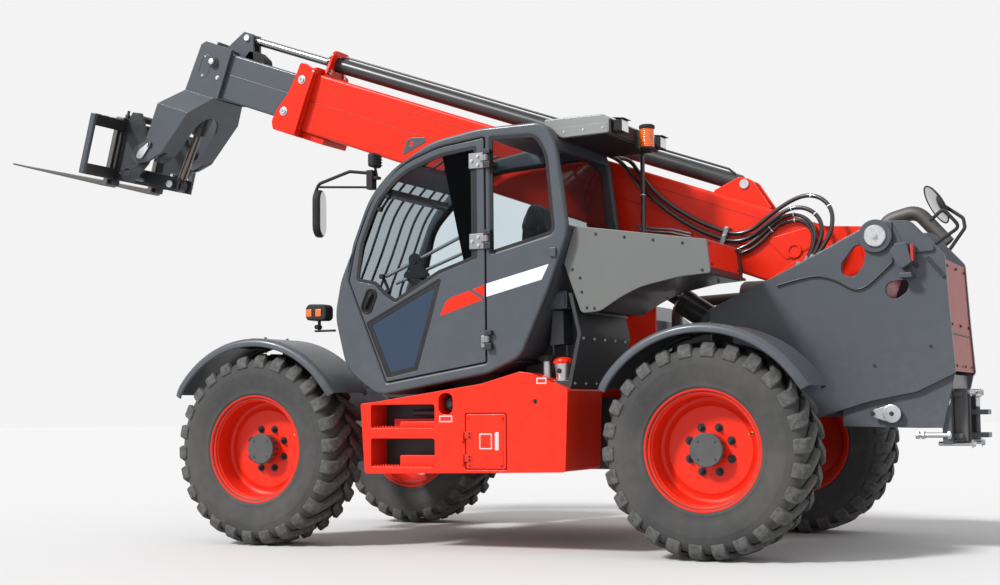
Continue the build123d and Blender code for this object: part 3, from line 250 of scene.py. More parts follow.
def moulded(base, rough=0.55, grain=420.0, dust=0.05):
    """Grained black plastic or rubber."""
    made = Finish(base, **{"Specular IOR Level": 0.22})
    cells = made.cells(grain)
    haze = made.noise(5.0, 7.0, 0.65).above(0.4, 0.8) * dust
    made.set("Base Color", made.blend(haze, base, DUST))
    made.set("Roughness", rough + haze * 0.8 + cells * 0.1)
    made.bump(cells, 0.18, 0.0006)
    return made.material


def hose_black(base):
    """Smooth black hose with a wet shine and faint wrap marks."""
    made = Finish(base, **{"Coat Weight": 0.7, "Coat Roughness": 0.10})
    scuff = made.noise(30.0, 5.0, 0.65)
    made.set("Base Color", made.blend(scuff.above(0.55, 0.85) * 0.4, base, rgb(0.06, 0.058, 0.055)))
    made.set("Roughness", 0.22 + scuff * 0.2)
    made.bump(made.noise(260.0, 2.0), 0.10, 0.0006)
    return made.material


def tyre_rubber(base):
    """Dusty tyre rubber: pale dust on the walls, scuffed lug faces, darker grooves."""
    made = Finish(base)
    height = made.attribute("height")
    broad = made.noise(3.0, 6.0, 0.65)
    fine = made.noise(38.0, 7.0, 0.7)
    grit = made.cells(130.0)
    wall = made.blend(broad.above(0.3, 0.75) * 0.6 + fine * 0.25, base, rgb(0.085, 0.082, 0.078))
    scuffed = made.blend(fine.above(0.35, 0.8) * 0.8, rgb(0.032, 0.032, 0.032), rgb(0.15, 0.145, 0.138))
    made.set("Base Color", made.blend(height, wall, scuffed))
    made.set("Roughness", 0.72 + broad * 0.2)
    made.bump(fine * 0.7 + grit * 0.5, 0.35, 0.002)
    return made.material


def window_glass(base, tint, clear):
    """Pane that lets most light through and keeps a sharp reflection."""
    made = Finish(base, **{"Metallic": 0.0, "IOR": 1.5})
    smear = made.noise(6.0, 6.0, 0.7)
    made.set("Roughness", 0.015 + smear.above(0.5, 0.9) * 0.08)
    through = made.node("ShaderNodeBsdfTransparent", {}, {"Color": rgb(*tint)})
    edge = made.node("ShaderNodeFresnel", {}, {"IOR": 1.5})["Fac"]
    film = smear.above(0.45, 0.9) * 0.02 + (1 - clear) + edge * 0.45
    inputs = {0: film, 1: through["BSDF"], 2: made.surface["BSDF"]}
    mixed = made.node("ShaderNodeMixShader", {}, inputs)["Shader"]
    made.tree.links.new(mixed.socket, made.tree.nodes["Material Output"].inputs["Surface"])
    return made.material


def lens(base, glow=0.0, ribs=0.0):
    """Moulded lamp lens with fine ribs."""
    made = Finish(base, **{"Coat Weight": 0.8, "Coat Roughness": 0.04, "Emission Color": base,
                           "Emission Strength": glow})
    wave = (made.axis("Z") * 900.0).sine() * 0.5 + 0.5
    speck = made.cells(90.0)
    made.set("Base Color", made.blend(speck * 0.8 + wave * ribs * 0.4, base, shade(base, 0.55)))
    made.set("Roughness", 0.10 + speck * 0.15)
    made.bump(wave * ribs + speck * 0.4, 0.35, 0.002)
    return made.material


def woven(base):
    """Seat cloth with a crossed weave."""
    made = Finish(base, **{"Sheen Weight": 0.35, "Sheen Roughness": 0.5})
    across = (made.axis("Y") * 2600.0).sine() * 0.5 + 0.5
    down = (made.axis("Z") * 2600.0 + made.axis("X") * 900.0).sine() * 0.5 + 0.5
    fluff = made.noise(55.0, 6.0)
    made.set("Base Color", made.blend(across * down * 0.6 + fluff * 0.4, base, shade(base, 2.2)))
    made.set("Roughness", 0.82 + fluff * 0.1)
    made.bump(across * down + fluff * 0.5, 0.45, 0.001)
    return made.material


def silver_film(base):
    """Silver film with fine slanting lines that fade towards one end."""
    made = Finish(base, **{"Coat Weight": 0.5, "Coat Roughness": 0.1})
    slant = (made.axis("X") * 0.25 + made.axis("Z")) * 620.0
    line = (slant.sine() * 0.5 + 0.5).above(0.55, 0.75) * made.axis("X").above(AXLE_X + 1.25, AXLE_X + 0.95)
    made.set("Base Color", made.blend(line * 0.55, base, rgb(0.16, 0.18, 0.20)))
    made.set("Roughness", 0.28 + line * 0.2)
    return made.material


def weld(base):
    """Painted weld, ribbed along its run and darker than the paint beside it."""
    made = Finish(shade(base, 0.55))
    ripple = (made.axis("X") * 900.0).sine() * 0.5 + 0.5
    made.set("Roughness", 0.35 + ripple * 0.15)
    made.bump(ripple + made.noise(90.0), 0.4, 0.001)
    return made.material


FINISHES = {  # name: slot, maker, colour or the paint setting that holds it, the maker's other settings
    "slate_paint": ("slate_paint", paint, "slate", {}),
    "coupler_paint": ("slate_paint", paint, (0.020, 0.023, 0.028), dict(rough=0.32, dust=0.10)),
    "orange_paint": ("orange_paint", paint, "orange", dict(rough=0.28, dust=0.06, shine=0.2)),
    # A darker copy of the orange paint for the rear panel: painted shade on the rear face.
    "shaded_red": ("orange_paint", paint, (0.26, 0.016, 0.006), dict(rough=0.42)),
    "weld_bead": ("orange_paint", weld, "orange", {}),
    "light_grey_paint": ("light_grey_paint", paint, "light_grey", {}),
    "ac_grey": ("light_grey_paint", paint, (0.20, 0.205, 0.205), dict(rough=0.42, dust=0.20)),
    "bare_plate": ("light_grey_paint", steel, (0.62, 0.63, 0.64),
                   dict(rough=0.35, metal=0.5, streak=(1, 1, 12), bump=0.04)),
    "silver_stripe": ("light_grey_paint", silver_film, (0.74, 0.76, 0.78), {}),
    "dark_panel": ("dark_panel", paint, (0.018, 0.020, 0.025), dict(rough=0.45, dust=0.2)),
    "dark_steel": ("dark_steel", steel, (0.045, 0.045, 0.05), dict(rough=0.38, metal=0.6)),
    "brass": ("dark_steel", steel, (0.62, 0.42, 0.16), dict(rough=0.3)),
    "galvanised": ("dark_steel", steel, (0.27, 0.27, 0.28), dict(rough=0.45, metal=0.8, bump=0.06)),
    "ram_black": ("dark_steel", paint, (0.030, 0.031, 0.033), dict(rough=0.26, dust=0.12, peel=0.03)),
    "carriage_black": ("dark_steel", paint, (0.014, 0.014, 0.015), dict(rough=0.45, dust=0.15)),
    "cast": ("cast", steel, (0.09, 0.09, 0.095), dict(rough=0.6, metal=0.4, rust=0.25, bump=0.3)),
    "hub_grey": ("cast", paint, (0.055, 0.056, 0.058), dict(rough=0.42)),
    "exhaust_steel": ("exhaust_steel", steel, (0.11, 0.105, 0.10), dict(rough=0.5, metal=0.7, rust=0.3)),
    "fork_steel": ("fork_steel", steel, (0.14, 0.135, 0.13), dict(rough=0.36, streak=(1, 8, 8), rust=0.15)),
    "chrome": ("chrome", steel, (0.55, 0.55, 0.57), dict(rough=0.06, bump=0.01)),
    "zinc": ("chrome", steel, (0.62, 0.63, 0.65), dict(rough=0.28, bump=0.04)),
    "pin_white": ("chrome", steel, (0.66, 0.67, 0.68), dict(rough=0.30, metal=0.7, bump=0.05)),
    "rod_chrome": ("chrome", steel, (0.34, 0.34, 0.35), dict(rough=0.14, bump=0.0)),
    "rod_dark": ("chrome", steel, (0.20, 0.165, 0.145), dict(rough=0.16, streak=(8, 1, 1), bump=0.02)),
    "reflector": ("chrome", steel, (0.92, 0.92, 0.90), dict(rough=0.10, bump=0.01)),
    "glass": ("glass", window_glass, (0.02, 0.022, 0.025), dict(tint=(0.93, 0.965, 0.98), clear=0.985)),
    "tinted_glass": ("glass", window_glass, (0.036, 0.060, 0.105),
                     dict(tint=(0.045, 0.075, 0.12), clear=0.35)),
    "lamp": ("lamp", lens, (0.86, 0.88, 0.90), {}),
    "red_lens": ("lamp", lens, (0.45, 0.012, 0.010), dict(ribs=1.0)),
    "amber": ("amber", lens, (0.95, 0.15, 0.0), dict(glow=0.08, ribs=1.0)),
    "seat_fabric": ("seat_fabric", woven, (0.018, 0.019, 0.021), {}),
    "dark_plastic": ("dark_plastic", moulded, (0.014, 0.014, 0.016), {}),
    "handle_black": ("dark_plastic", moulded, (0.012, 0.012, 0.013),
                     dict(rough=0.25, grain=900.0, dust=0.03)),
    "soot": ("dark_plastic", moulded, (0.004, 0.004, 0.004), dict(rough=0.95, grain=200.0, dust=0.0)),
    "hose_rubber": ("hose_rubber", hose_black, (0.010, 0.010, 0.011), {}),
    "tie_white": ("hose_rubber", moulded, (0.78, 0.78, 0.76), dict(rough=0.4, grain=600.0, dust=0.05)),
    "tyre": ("tyre", tyre_rubber, (0.016, 0.016, 0.017), {}),
}


def finish(name):
    """The material of that name, made the first time it is asked for."""
    slot, maker, colour, settings = FINISHES[name]
    label = name + "_finish" if name == slot else name
    made = bpy.data.materials.get(label)
    if made is None:
        if isinstance(colour, str):
            colour = getattr(bpy.context.scene.telehandler_paint, colour)
        made = maker(rgb(*colour), **settings)
        made.name, made["slot"] = label, slot
    return made


# ------------------------------------------------------------------ mesh kit
def rounded(points, radius=0.0, steps=5):
    """Closed outline whose corners are arcs; a point may give its own radius as a third number."""
    made = []
    count = len(points)
    for index, point in enumerate(points):
        here = Vector(point[:2])
        before = Vector(points[index - 1][:2]) - here
        after = Vector(points[(index + 1) % count][:2]) - here
        wanted = point[2] if len(point) > 2 else radius
        angle = before.angle(after) if before.length and after.length else pi
        if wanted < 1e-5 or angle > pi - 0.02:
            made.append(here)
            continue
        reach = min(wanted / tan(angle / 2), 0.48 * before.length, 0.48 * after.length)
        real = reach * tan(angle / 2)
        centre = here + (before.normalized() + after.normalized()).normalized() * real / sin(angle / 2)
        start = here + before.normalized() * reach - centre
        end = here + after.normalized() * reach - centre
        sweep = start.angle_signed(end) if abs(start.angle(end)) > 1e-6 else 0
        parts = max(2, round(steps * abs(sweep) / (pi / 2)) + 1)
        for step in range(parts + 1):
            turned = Matrix.Rotation(-sweep * step / parts, 2) @ start
            made.append(centre + turned)
    return made


def inset(points, amount):
    """Closed outline moved inwards by amount; it runs either way round."""
    area = sum(a.x * b.y - b.x * a.y for a, b in zip(points, points[1:] + points[:1]))
    sign = 1 if area > 0 else -1
    made = []
    for index, here in enumerate(points):
        before = (here - points[index - 1]).normalized()
        after = (points[(index + 1) % len(points)] - here).normalized()
        normal = Vector((-(before.y + after.y), before.x + after.x)) * sign
        if normal.length < 1e-6:
            normal = Vector((-after.y, after.x)) * sign
        normal.normalize()
        lean = max(0.35, normal.dot(Vector((-after.y, after.x)) * sign))
        made.append(here + normal * amount / lean)
    return made


def pour(bm, part):
    """Moves a part's geometry into bm."""
    mesh = bpy.data.meshes.new("part")
    part.to_mesh(mesh)
    part.free()
    bm.from_mesh(mesh)
    bpy.data.meshes.remove(mesh)


def plate(bm, plane, outline, y, thickness, holes=(), bevel=0.002, segments=1):
    """Flat plate with eased edges and holes, its left face y metres left of the middle."""
    curve = bpy.data.curves.new("plate", "CURVE")
    curve.dimensions, curve.fill_mode = "2D", "BOTH"
    curve.extrude = thickness / 2 - bevel
    curve.bevel_depth, curve.bevel_resolution, curve.offset = bevel, segments, -bevel
    for loop in (outline, *holes):
        spline = curve.splines.new("POLY")
        spline.points.add(len(loop) - 1)
        for point, place in zip(spline.points, loop):
            point.co = (place[0], place[1], 0, 1)
        spline.use_cyclic_u = True
    drawn = bpy.data.objects.new("plate", curve)
    mesh = bpy.data.meshes.new_from_object(drawn)
    bpy.data.objects.remove(drawn)
    bpy.data.curves.remove(curve)
    part = bmesh.new()
    part.from_mesh(mesh)
    bpy.data.meshes.remove(mesh)
    bmesh.ops.remove_doubles(part, verts=part.verts, dist=1e-6)
    bmesh.ops.transform(part, matrix=plane @ Matrix.Translation((0, 0, thickness / 2 - y)), verts=part.verts)
    bmesh.ops.recalc_face_normals(part, faces=part.faces)
    pour(bm, part)


def mirrored(low, high, side):
    """Span across the machine on its left side, or the same span mirrored to the right."""
    return (low, high) if side > 0 else (-high, -low)


def near_face(outer, thickness, side):
    """Where a plate starts so that its outer face lies this far from the middle, on either side."""
    return outer if side > 0 else thickness - outer


def box(bm, plane, x, y, z, bevel=0.003, segments=2):
    """Block with rounded edges from three (low, high) pairs, y to the left."""
    part = bmesh.new()
    bmesh.ops.create_cube(part, size=1)
    size = Vector((x[1] - x[0], z[1] - z[0], y[1] - y[0]))
    middle = Vector(((x[0] + x[1]) / 2, (z[0] + z[1]) / 2, -(y[0] + y[1]) / 2))
    bmesh.ops.transform(part, matrix=Matrix.Translation(middle) @ Matrix.Diagonal((*size, 1)),
                        verts=part.verts)
    if bevel:
        ease(part, part.edges, bevel, segments)
    bmesh.ops.transform(part, matrix=plane, verts=part.verts)
    pour(bm, part)


def ease(part, edges, width, segments=2):
    """Rounds edges."""
    bmesh.ops.bevel(part, geom=list(edges), offset=width, offset_type="OFFSET", segments=segments,
                    profile=0.5, affect="EDGES", clamp_overlap=True, material=-1)


def lathe(bm, matrix, profile, steps=32):
    """Turns an open profile of (along, radius) points about the matrix's z axis."""
    part = bmesh.new()
    verts = [part.verts.new((radius, 0, along)) for along, radius in profile]
    edges = [part.edges.new(pair) for pair in zip(verts, verts[1:])]
    bmesh.ops.spin(part, geom=verts + edges, cent=(0, 0, 0), axis=(0, 0, 1), dvec=(0, 0, 0),
                   angle=2 * pi, steps=steps, use_merge=True)
    bmesh.ops.remove_doubles(part, verts=part.verts, dist=1e-6)
    bmesh.ops.recalc_face_normals(part, faces=part.faces)
    bmesh.ops.transform(part, matrix=matrix, verts=part.verts)
    pour(bm, part)


def drum(bm, start, end, radius, bevel=0.002, steps=24):
    """Round bar between two points, its ends eased."""
    start, end = Vector(start), Vector(end)
    length = (end - start).length
    profile = [(0, 0), (0, radius - bevel), (bevel, radius), (length - bevel, radius),
               (length, radius - bevel), (length, 0)]
    lathe(bm, turn_to(end - start, start), profile, steps)


def bolt(bm, place, normal, radius=0.011, washer=True):
    """Hexagon bolt head on its washer, its seat at place."""
    seat = turn_to(normal, place)
    if washer:
        bmesh.ops.create_cone(bm, cap_ends=True, segments=14, radius1=radius * 1.45, radius2=radius * 1.38,
                              depth=radius * 0.3, matrix=seat @ Matrix.Translation((0, 0, radius * 0.15)))
    bmesh.ops.create_cone(bm, cap_ends=True, segments=6, radius1=radius, radius2=radius * 0.93,
                          depth=radius * 0.8, matrix=seat @ Matrix.Translation((0, 0, radius * 0.68)))


def bent(points, radius, steps=6):
    """Open path whose corners are arcs."""
    made = [Vector(points[0])]
    for before, here, after in zip(points, points[1:], points[2:]):
        here, back, on = Vector(here), Vector(before) - Vector(here), Vector(after) - Vector(here)
        angle = back.angle(on)
        if angle > pi - 0.02 or radius <= 0:
            made.append(here)
            continue
        reach = min(radius / tan(angle / 2), 0.48 * back.length, 0.48 * on.length)
        first, last = here + back.normalized() * reach, here + on.normalized() * reach
        for step in range(steps + 1):
            share = step / steps
            made.append(first * (1 - share) ** 2 + here * 2 * share * (1 - share) + last * share ** 2)
    made.append(Vector(points[-1]))
    return made


def pipe(bm, points, radius, bends=0.05, sides=6):
    """Round tube along a path with rounded corners."""
    curve = bpy.data.curves.new("pipe", "CURVE")
    curve.dimensions, curve.use_fill_caps = "3D", True
    curve.bevel_depth, curve.bevel_resolution = radius, sides
    path = bent(points, bends)
    spline = curve.splines.new("POLY")
    spline.points.add(len(path) - 1)
    for point, place in zip(spline.points, path):
        point.co = (*place, 1)
    drawn = bpy.data.objects.new("pipe", curve)
    mesh = bpy.data.meshes.new_from_object(drawn)
    bpy.data.objects.remove(drawn)
    bpy.data.curves.remove(curve)
    part = bmesh.new()
    part.from_mesh(mesh)
    bpy.data.meshes.remove(mesh)
    bmesh.ops.remove_doubles(part, verts=part.verts, dist=1e-6)
    bmesh.ops.recalc_face_normals(part, faces=part.faces)
    pour(bm, part)


def warp(part, place):
    """Moves each point of a part to place(point)."""
    for vert in part.verts:
        vert.co = place(vert.co)


def piece(name, bm, material, body, stands_for=(), smooth=32, weighted=True):
    """Turns a bmesh into a finished piece that rides on a body."""
    mesh = bpy.data.meshes.new(name)
    bm.to_mesh(mesh)
    bm.free()
    return dress(name, mesh, material, body, stands_for, smooth, weighted)


def dress(name, mesh, material, body, stands_for=(), smooth=32, weighted=True):
    """Gives a mesh its object, finish, shading and body."""
    surface = finish(material)
    mesh.materials.append(surface)
    mesh.polygons.foreach_set("use_smooth", [True] * len(mesh.polygons))
    mesh.set_sharp_from_angle(angle=radians(smooth))
    made = bpy.data.objects.new(name, mesh)
    bpy.context.scene.collection.objects.link(made)
    if weighted:
        made.modifiers.new("weighted normals", "WEIGHTED_NORMAL").keep_sharp = True
    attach(made, body)
    surface.get("slot", surface.name)
    if stands_for:
        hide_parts(*stands_for)
    return made


def eased_copy(node, material, body, width=0.003):
    """The CAD node's own shape with its edges rounded, standing for the node."""
    part = bmesh.new()
    part.from_mesh(frame["nodes"][node].data)
    bmesh.ops.remove_doubles(part, verts=part.verts, dist=1e-5)
    bmesh.ops.dissolve_limit(part, angle_limit=radians(0.6), verts=part.verts, edges=part.edges)
    sharp = [e for e in part.edges if len(e.link_faces) == 2 and e.calc_face_angle(0) > radians(32)]
    ease(part, sharp, width)
    return piece(f"{node}_eased", part, material, body, [node])


def repaint(node, material):
    """Gives a CAD node a finish."""
    target = frame["nodes"][node]
    surface = finish(material)
    if not target.material_slots:
        target.data.materials.append(surface)
    for place in target.material_slots:
        place.material = surface


def facets(node, angle=32):
    """Smooth shading between flat faces of a CAD node that is turned or swept."""
    mesh = frame["nodes"][node].data
    mesh.polygons.foreach_set("use_smooth", [True] * len(mesh.polygons))
    mesh.set_sharp_from_angle(angle=radians(angle))


# ------------------------------------------------------------------ settings
class TelehandlerPaint(bpy.types.PropertyGroup):
    """Colours of the paints."""

    slate: bpy.props.FloatVectorProperty(
        name="Slate", description="Paint of cab, tower, head and inner boom", subtype="COLOR",
        size=3, min=0, max=1, default=(0.053, 0.062, 0.074))
    orange: bpy.props.FloatVectorProperty(
        name="Orange", description="Paint of boom, rims and step box", subtype="COLOR",
        size=3, min=0, max=1, default=(0.68, 0.018, 0.003))
    light_grey: bpy.props.FloatVectorProperty(
        name="Light grey", description="Paint of the side cover", subtype="COLOR",
        size=3, min=0, max=1, default=(0.120, 0.125, 0.122))


class TelehandlerSizes(bpy.types.PropertyGroup):
    """Sizes that a user may change."""

    lugs: bpy.props.IntProperty(
        name="Lugs", description="Lugs on each side of a tyre", default=26, min=18, max=36)
    lug_height: bpy.props.FloatProperty(
        name="Lug height", description="Depth of the tread", default=0.034, min=0.01, max=0.045,
        subtype="DISTANCE", unit="LENGTH")
    wheel_nuts: bpy.props.IntProperty(
        name="Wheel nuts", description="Nuts on each rim", default=8, min=5, max=12)
    guard_bars: bpy.props.IntProperty(
        name="Guard bars", description="Bars over the windscreen and the roof pane", default=6, min=3, max=10)
    door_gap: bpy.props.FloatProperty(
        name="Door gap", description="Seam round the cab door", default=0.006, min=0.003, max=0.012,
        subtype="DISTANCE", unit="LENGTH")


class TelehandlerStudio(bpy.types.PropertyGroup):
    """Light, floor and camera."""

    floor: bpy.props.FloatVectorProperty(
        name="Floor", description="Colour of the floor", subtype="COLOR", size=3, min=0, max=1,
        default=(0.50, 0.50, 0.50))
    sky: bpy.props.FloatProperty(
        name="Sky", description="Strength of the white surroundings", default=0.90, min=0, max=3)
    key: bpy.props.FloatProperty(
        name="Key", description="Strength of the key light", default=4.3, min=0, max=10)
    lens: bpy.props.FloatProperty(
        name="Lens", description="Focal length in millimetres", default=54.68, min=20, max=200)


# ------------------------------------------------------------------ stage
EYE_BEHIND_AXLE, EYE_LEFT, EYE_HEIGHT = 2.58, 8.9, 0.82
EYE_YAW, EYE_PITCH, EYE_ROLL = radians(25.9), radians(4.37), radians(-0.58)
KEY_FROM, KEY_WIDTH = (0.42, 0.62, 0.66), radians(9)


class TELEHANDLER_OT_stage(bpy.types.Operator):
    """Lays the pale floor, sets the studio light and places the camera"""

    bl_idname = "telehandler.stage"
    bl_label = "Stage"

    def execute(self, context):
        studio, scene = context.scene.telehandler_studio, context.scene
        made = Finish(rgb(*studio.floor))
        made.material.name = "studio_floor"
        made.set("Roughness", 0.85 + made.noise(3.0) * 0.1)
        bm = bmesh.new()
        bmesh.ops.create_grid(bm, x_segments=1, y_segments=1, size=60)
        mesh = bpy.data.meshes.new("floor")
        bm.to_mesh(mesh)
        bm.free()
        mesh.materials.append(made.material)
        floor = bpy.data.objects.new("floor", mesh)
        scene.collection.objects.link(floor)

        world = bpy.data.worlds.new("studio")
        world.use_nodes = True
        sky = world.node_tree.nodes["Background"]
        sky.inputs["Color"].default_value = rgb(1, 1, 1)
        sky.inputs["Strength"].default_value = studio.sky
        scene.world = world
        light = bpy.data.lights.new("key", "SUN")
        light.energy, light.angle = studio.key, KEY_WIDTH
        lamp = bpy.data.objects.new("key", light)
        lamp.matrix_world = turn_to(KEY_FROM, (0, 0, 6))
        scene.collection.objects.link(lamp)

        forward = Vector((sin(EYE_YAW) * cos(EYE_PITCH), -cos(EYE_YAW) * cos(EYE_PITCH), sin(EYE_PITCH)))
        right = forward.cross(Vector((0, 0, 1))).normalized()
        up = right.cross(forward)
        across = right * cos(EYE_ROLL) + up * sin(EYE_ROLL)
        above = up * cos(EYE_ROLL) - right * sin(EYE_ROLL)
        matrix = Matrix((across, above, -forward)).transposed().to_4x4()
        matrix.translation = Vector((AXLE_X - EYE_BEHIND_AXLE, EYE_LEFT, EYE_HEIGHT))
        view = bpy.data.cameras.new("camera")
        view.lens, view.sensor_width = studio.lens, 36
        camera = bpy.data.objects.new("camera", view)
        camera.matrix_world = matrix
        scene.collection.objects.link(camera)
        scene.camera = camera
        scene.view_settings.view_transform = "Standard"
        return {"FINISHED"}


# ------------------------------------------------------------------ wheels
TREAD = [(-0.010, 0.0), (0.045, 0.0), (0.095, 0.001), (0.140, 0.004), (0.170, 0.013), (0.190, 0.030),
         (0.1995, 0.055), (0.2020, 0.086)]  # lug top: outwards, below the crown
CARCASS = [(0.163, 0.306), (0.176, 0.322), (0.181, 0.334), (0.186, 0.340), (0.187, 0.348), (0.184, 0.356),
           (0.190, 0.380), (0.197, 0.420), (0.1995, 0.455), (0.1990, 0.466), (0.1965, 0.470), (0.1965, 0.486),
           (0.190, 0.512), (0.178, 0.532), (0.155, 0.547), (0.120, 0.552), (0.060, 0.5535), (0.0, 0.554)]
RIM = [(0.180, 0.328), (0.176, 0.330), (0.168, 0.330), (0.166, 0.3055), (-0.166, 0.3055), (-0.168, 0.330),
       (-0.176, 0.330), (-0.180, 0.328), (-0.180, 0.318), (-0.170, 0.312), (-0.160, 0.297), (-0.020, 0.293),
       (0.000, 0.285), (0.004, 0.250), (0.014, 0.235), (0.014, 0.080), (0.032, 0.080), (0.032, 0.235),
       (0.022, 0.252), (0.021, 0.268), (0.030, 0.282), (0.048, 0.2895), (0.140, 0.2915), (0.146, 0.2925),
       (0.150, 0.2975), (0.157, 0.3000), (0.163, 0.3010), (0.165, 0.3075), (0.168, 0.3150), (0.176, 0.3170),
       (0.180, 0.3220), (0.180, 0.328)]


def wheel_point(corner, out, radius, angle):
    """Point on a wheel: out from its middle plane, angle from the top towards the front."""
    centre = WHEELS[corner]
    side = 1 if centre.y > 0 else -1
    return Vector((centre.x + radius * sin(angle), centre.y + side * out, centre.z + radius * cos(angle)))


def wheel_axis(corner):
    """Matrix whose z axis leaves the wheel outwards from its middle."""
    centre = WHEELS[corner]
    return turn_to((0, 1 if centre.y > 0 else -1, 0), centre)


def make_lug(corner, hand, depth):
    """One tread lug at the top of a wheel, leaning back from the crown to the shoulder."""
    part = bmesh.new()
    bmesh.ops.create_cube(part, size=1)
    along = [e for e in part.edges if abs(e.verts[0].co.x - e.verts[1].co.x) > 0.5]
    bmesh.ops.subdivide_edges(part, edges=along, cuts=len(TREAD) - 2, use_grid_fill=True)
    tall = part.verts.layers.float.new("height")

    def onto_tyre(point):
        station = round((point.x + 0.5) * (len(TREAD) - 1))
        out, below = TREAD[station]
        share = station / (len(TREAD) - 1)
        top = point.z > 0
        drop = 0 if top else depth * (1 - 0.35 * share)
        inward = Vector((out, TYRE_RADIUS - below)) - Vector((0.10, TYRE_RADIUS - 0.13))
        inward.normalize()
        seat = Vector((out, TYRE_RADIUS - below)) - inward * drop
        half = (0.021 + 0.014 * min(1, share * 1.5)) * (1.0 if top else 1.32)
        lean = 0.085 - 0.165 * min(1.0, out / 0.16)
        angle = lean + point.y * 2 * half / seat.y
        return wheel_point(corner, hand * seat.x, seat.y, angle)

    for vert in part.verts:
        vert[tall] = 1.0 if vert.co.z > 0 else 0.0
    warp(part, onto_tyre)
    bmesh.ops.recalc_face_normals(part, faces=part.faces)
    sharp = [e for e in part.edges if len(e.link_faces) == 2 and e.calc_face_angle(0) > radians(50)]
    ease(part, sharp, 0.004, 1)
    return part


class TELEHANDLER_OT_tyres(bpy.types.Operator):
    """Builds the lugged tyres"""

    bl_idname = "telehandler.tyres"
    bl_label = "Tyres"

    def execute(self, context):
        sizes = context.scene.telehandler_sizes
        for corner in CORNERS:
            bm = bmesh.new()
            wall = [(-out, radius) for out, radius in CARCASS] + CARCASS[-2::-1]
            lathe(bm, wheel_axis(corner), wall, 96)
            bm.verts.layers.float.new("height")
            centre = WHEELS[corner]
            for hand in (1, -1):
                lug = make_lug(corner, hand, sizes.lug_height)
                mesh = bpy.data.meshes.new("lug")
                lug.to_mesh(mesh)
                lug.free()
                for index in range(sizes.lugs):
                    angle = 2 * pi * (index + (0.5 if hand < 0 else 0)) / sizes.lugs
                    first = len(bm.verts)
                    bm.from_mesh(mesh)
                    bm.verts.ensure_lookup_table()
                    turn = Matrix.Rotation(angle, 4, "Y")
                    turn = Matrix.Translation(centre) @ turn @ Matrix.Translation(-centre)
                    bmesh.ops.transform(bm, matrix=turn, verts=bm.verts[first:])
                bpy.data.meshes.remove(mesh)
            piece(f"tyre_lugged_{corner}", bm, "tyre", f"wheel_{corner}", [f"tyre_{corner}"], smooth=38)
        return {"FINISHED"}


class TELEHANDLER_OT_rims(bpy.types.Operator):
    """Builds the dished rims, hubs, nuts and valves"""

    bl_idname = "telehandler.rims"
    bl_label = "Rims"

    def execute(self, context):
        nuts = context.scene.telehandler_sizes.wheel_nuts
        for corner in CORNERS:
            body, axis = f"wheel_{corner}", wheel_axis(corner)
            bm = bmesh.new()
            lathe(bm, axis, RIM, 96)
            lathe(bm, axis, [(0.020, 0.088), (0.040, 0.094), (0.046, 0.090), (0.104, 0.090)], 48)
            piece(f"rim_dished_{corner}", bm, "orange_paint", body, [f"rim_{corner}"], smooth=28)
            bm = bmesh.new()
            cap = [(-0.045, 0.085), (0.014, 0.085), (0.014, 0.090), (0.104, 0.090), (0.104, 0.093),
                   (0.113, 0.093), (0.1175, 0.088), (0.118, 0.084), (0.1165, 0.080), (0.1165, 0.0)]
            lathe(bm, axis, cap, 64)
            for index in range(4):
                spot = wheel_point(corner, 0.1165, 0.068, pi / 4 + index * pi / 2)
                bolt(bm, spot, axis.to_3x3() @ Vector((0, 0, 1)), 0.0055)
            piece(f"hub_cap_{corner}", bm, "hub_grey", body)
            bm = bmesh.new()
            outward = axis.to_3x3() @ Vector((0, 0, 1))
            for index in range(nuts):
                spot = wheel_point(corner, 0.0315, 0.128, (index + 0.5) * 2 * pi / nuts)
                bolt(bm, spot, outward, 0.0165)
                drum(bm, spot + outward * 0.018, spot + outward * 0.033, 0.0085, 0.0015, 12)
            piece(f"wheel_nuts_{corner}", bm, "dark_steel", body)
            bm = bmesh.new()
            root = wheel_point(corner, 0.030, 0.262, radians(-70))
            tip = wheel_point(corner, 0.085, 0.244, radians(-70))
            drum(bm, root, tip, 0.0065)
            drum(bm, root, root.lerp(tip, 0.5), 0.0105, 0.003)
            piece(f"valve_{corner}", bm, "brass", body)
        return {"FINISHED"}


GUARD_SECTION = [(-0.224, 0.640), (-0.2245, 0.664), (-0.216, 0.675), (-0.200, 0.679), (0.180, 0.679),
                 (0.205, 0.676), (0.2185, 0.667), (0.2245, 0.652), (0.2245, 0.632), (0.216, 0.626)]
GUARD_ENDS = (radians(-60), radians(60))


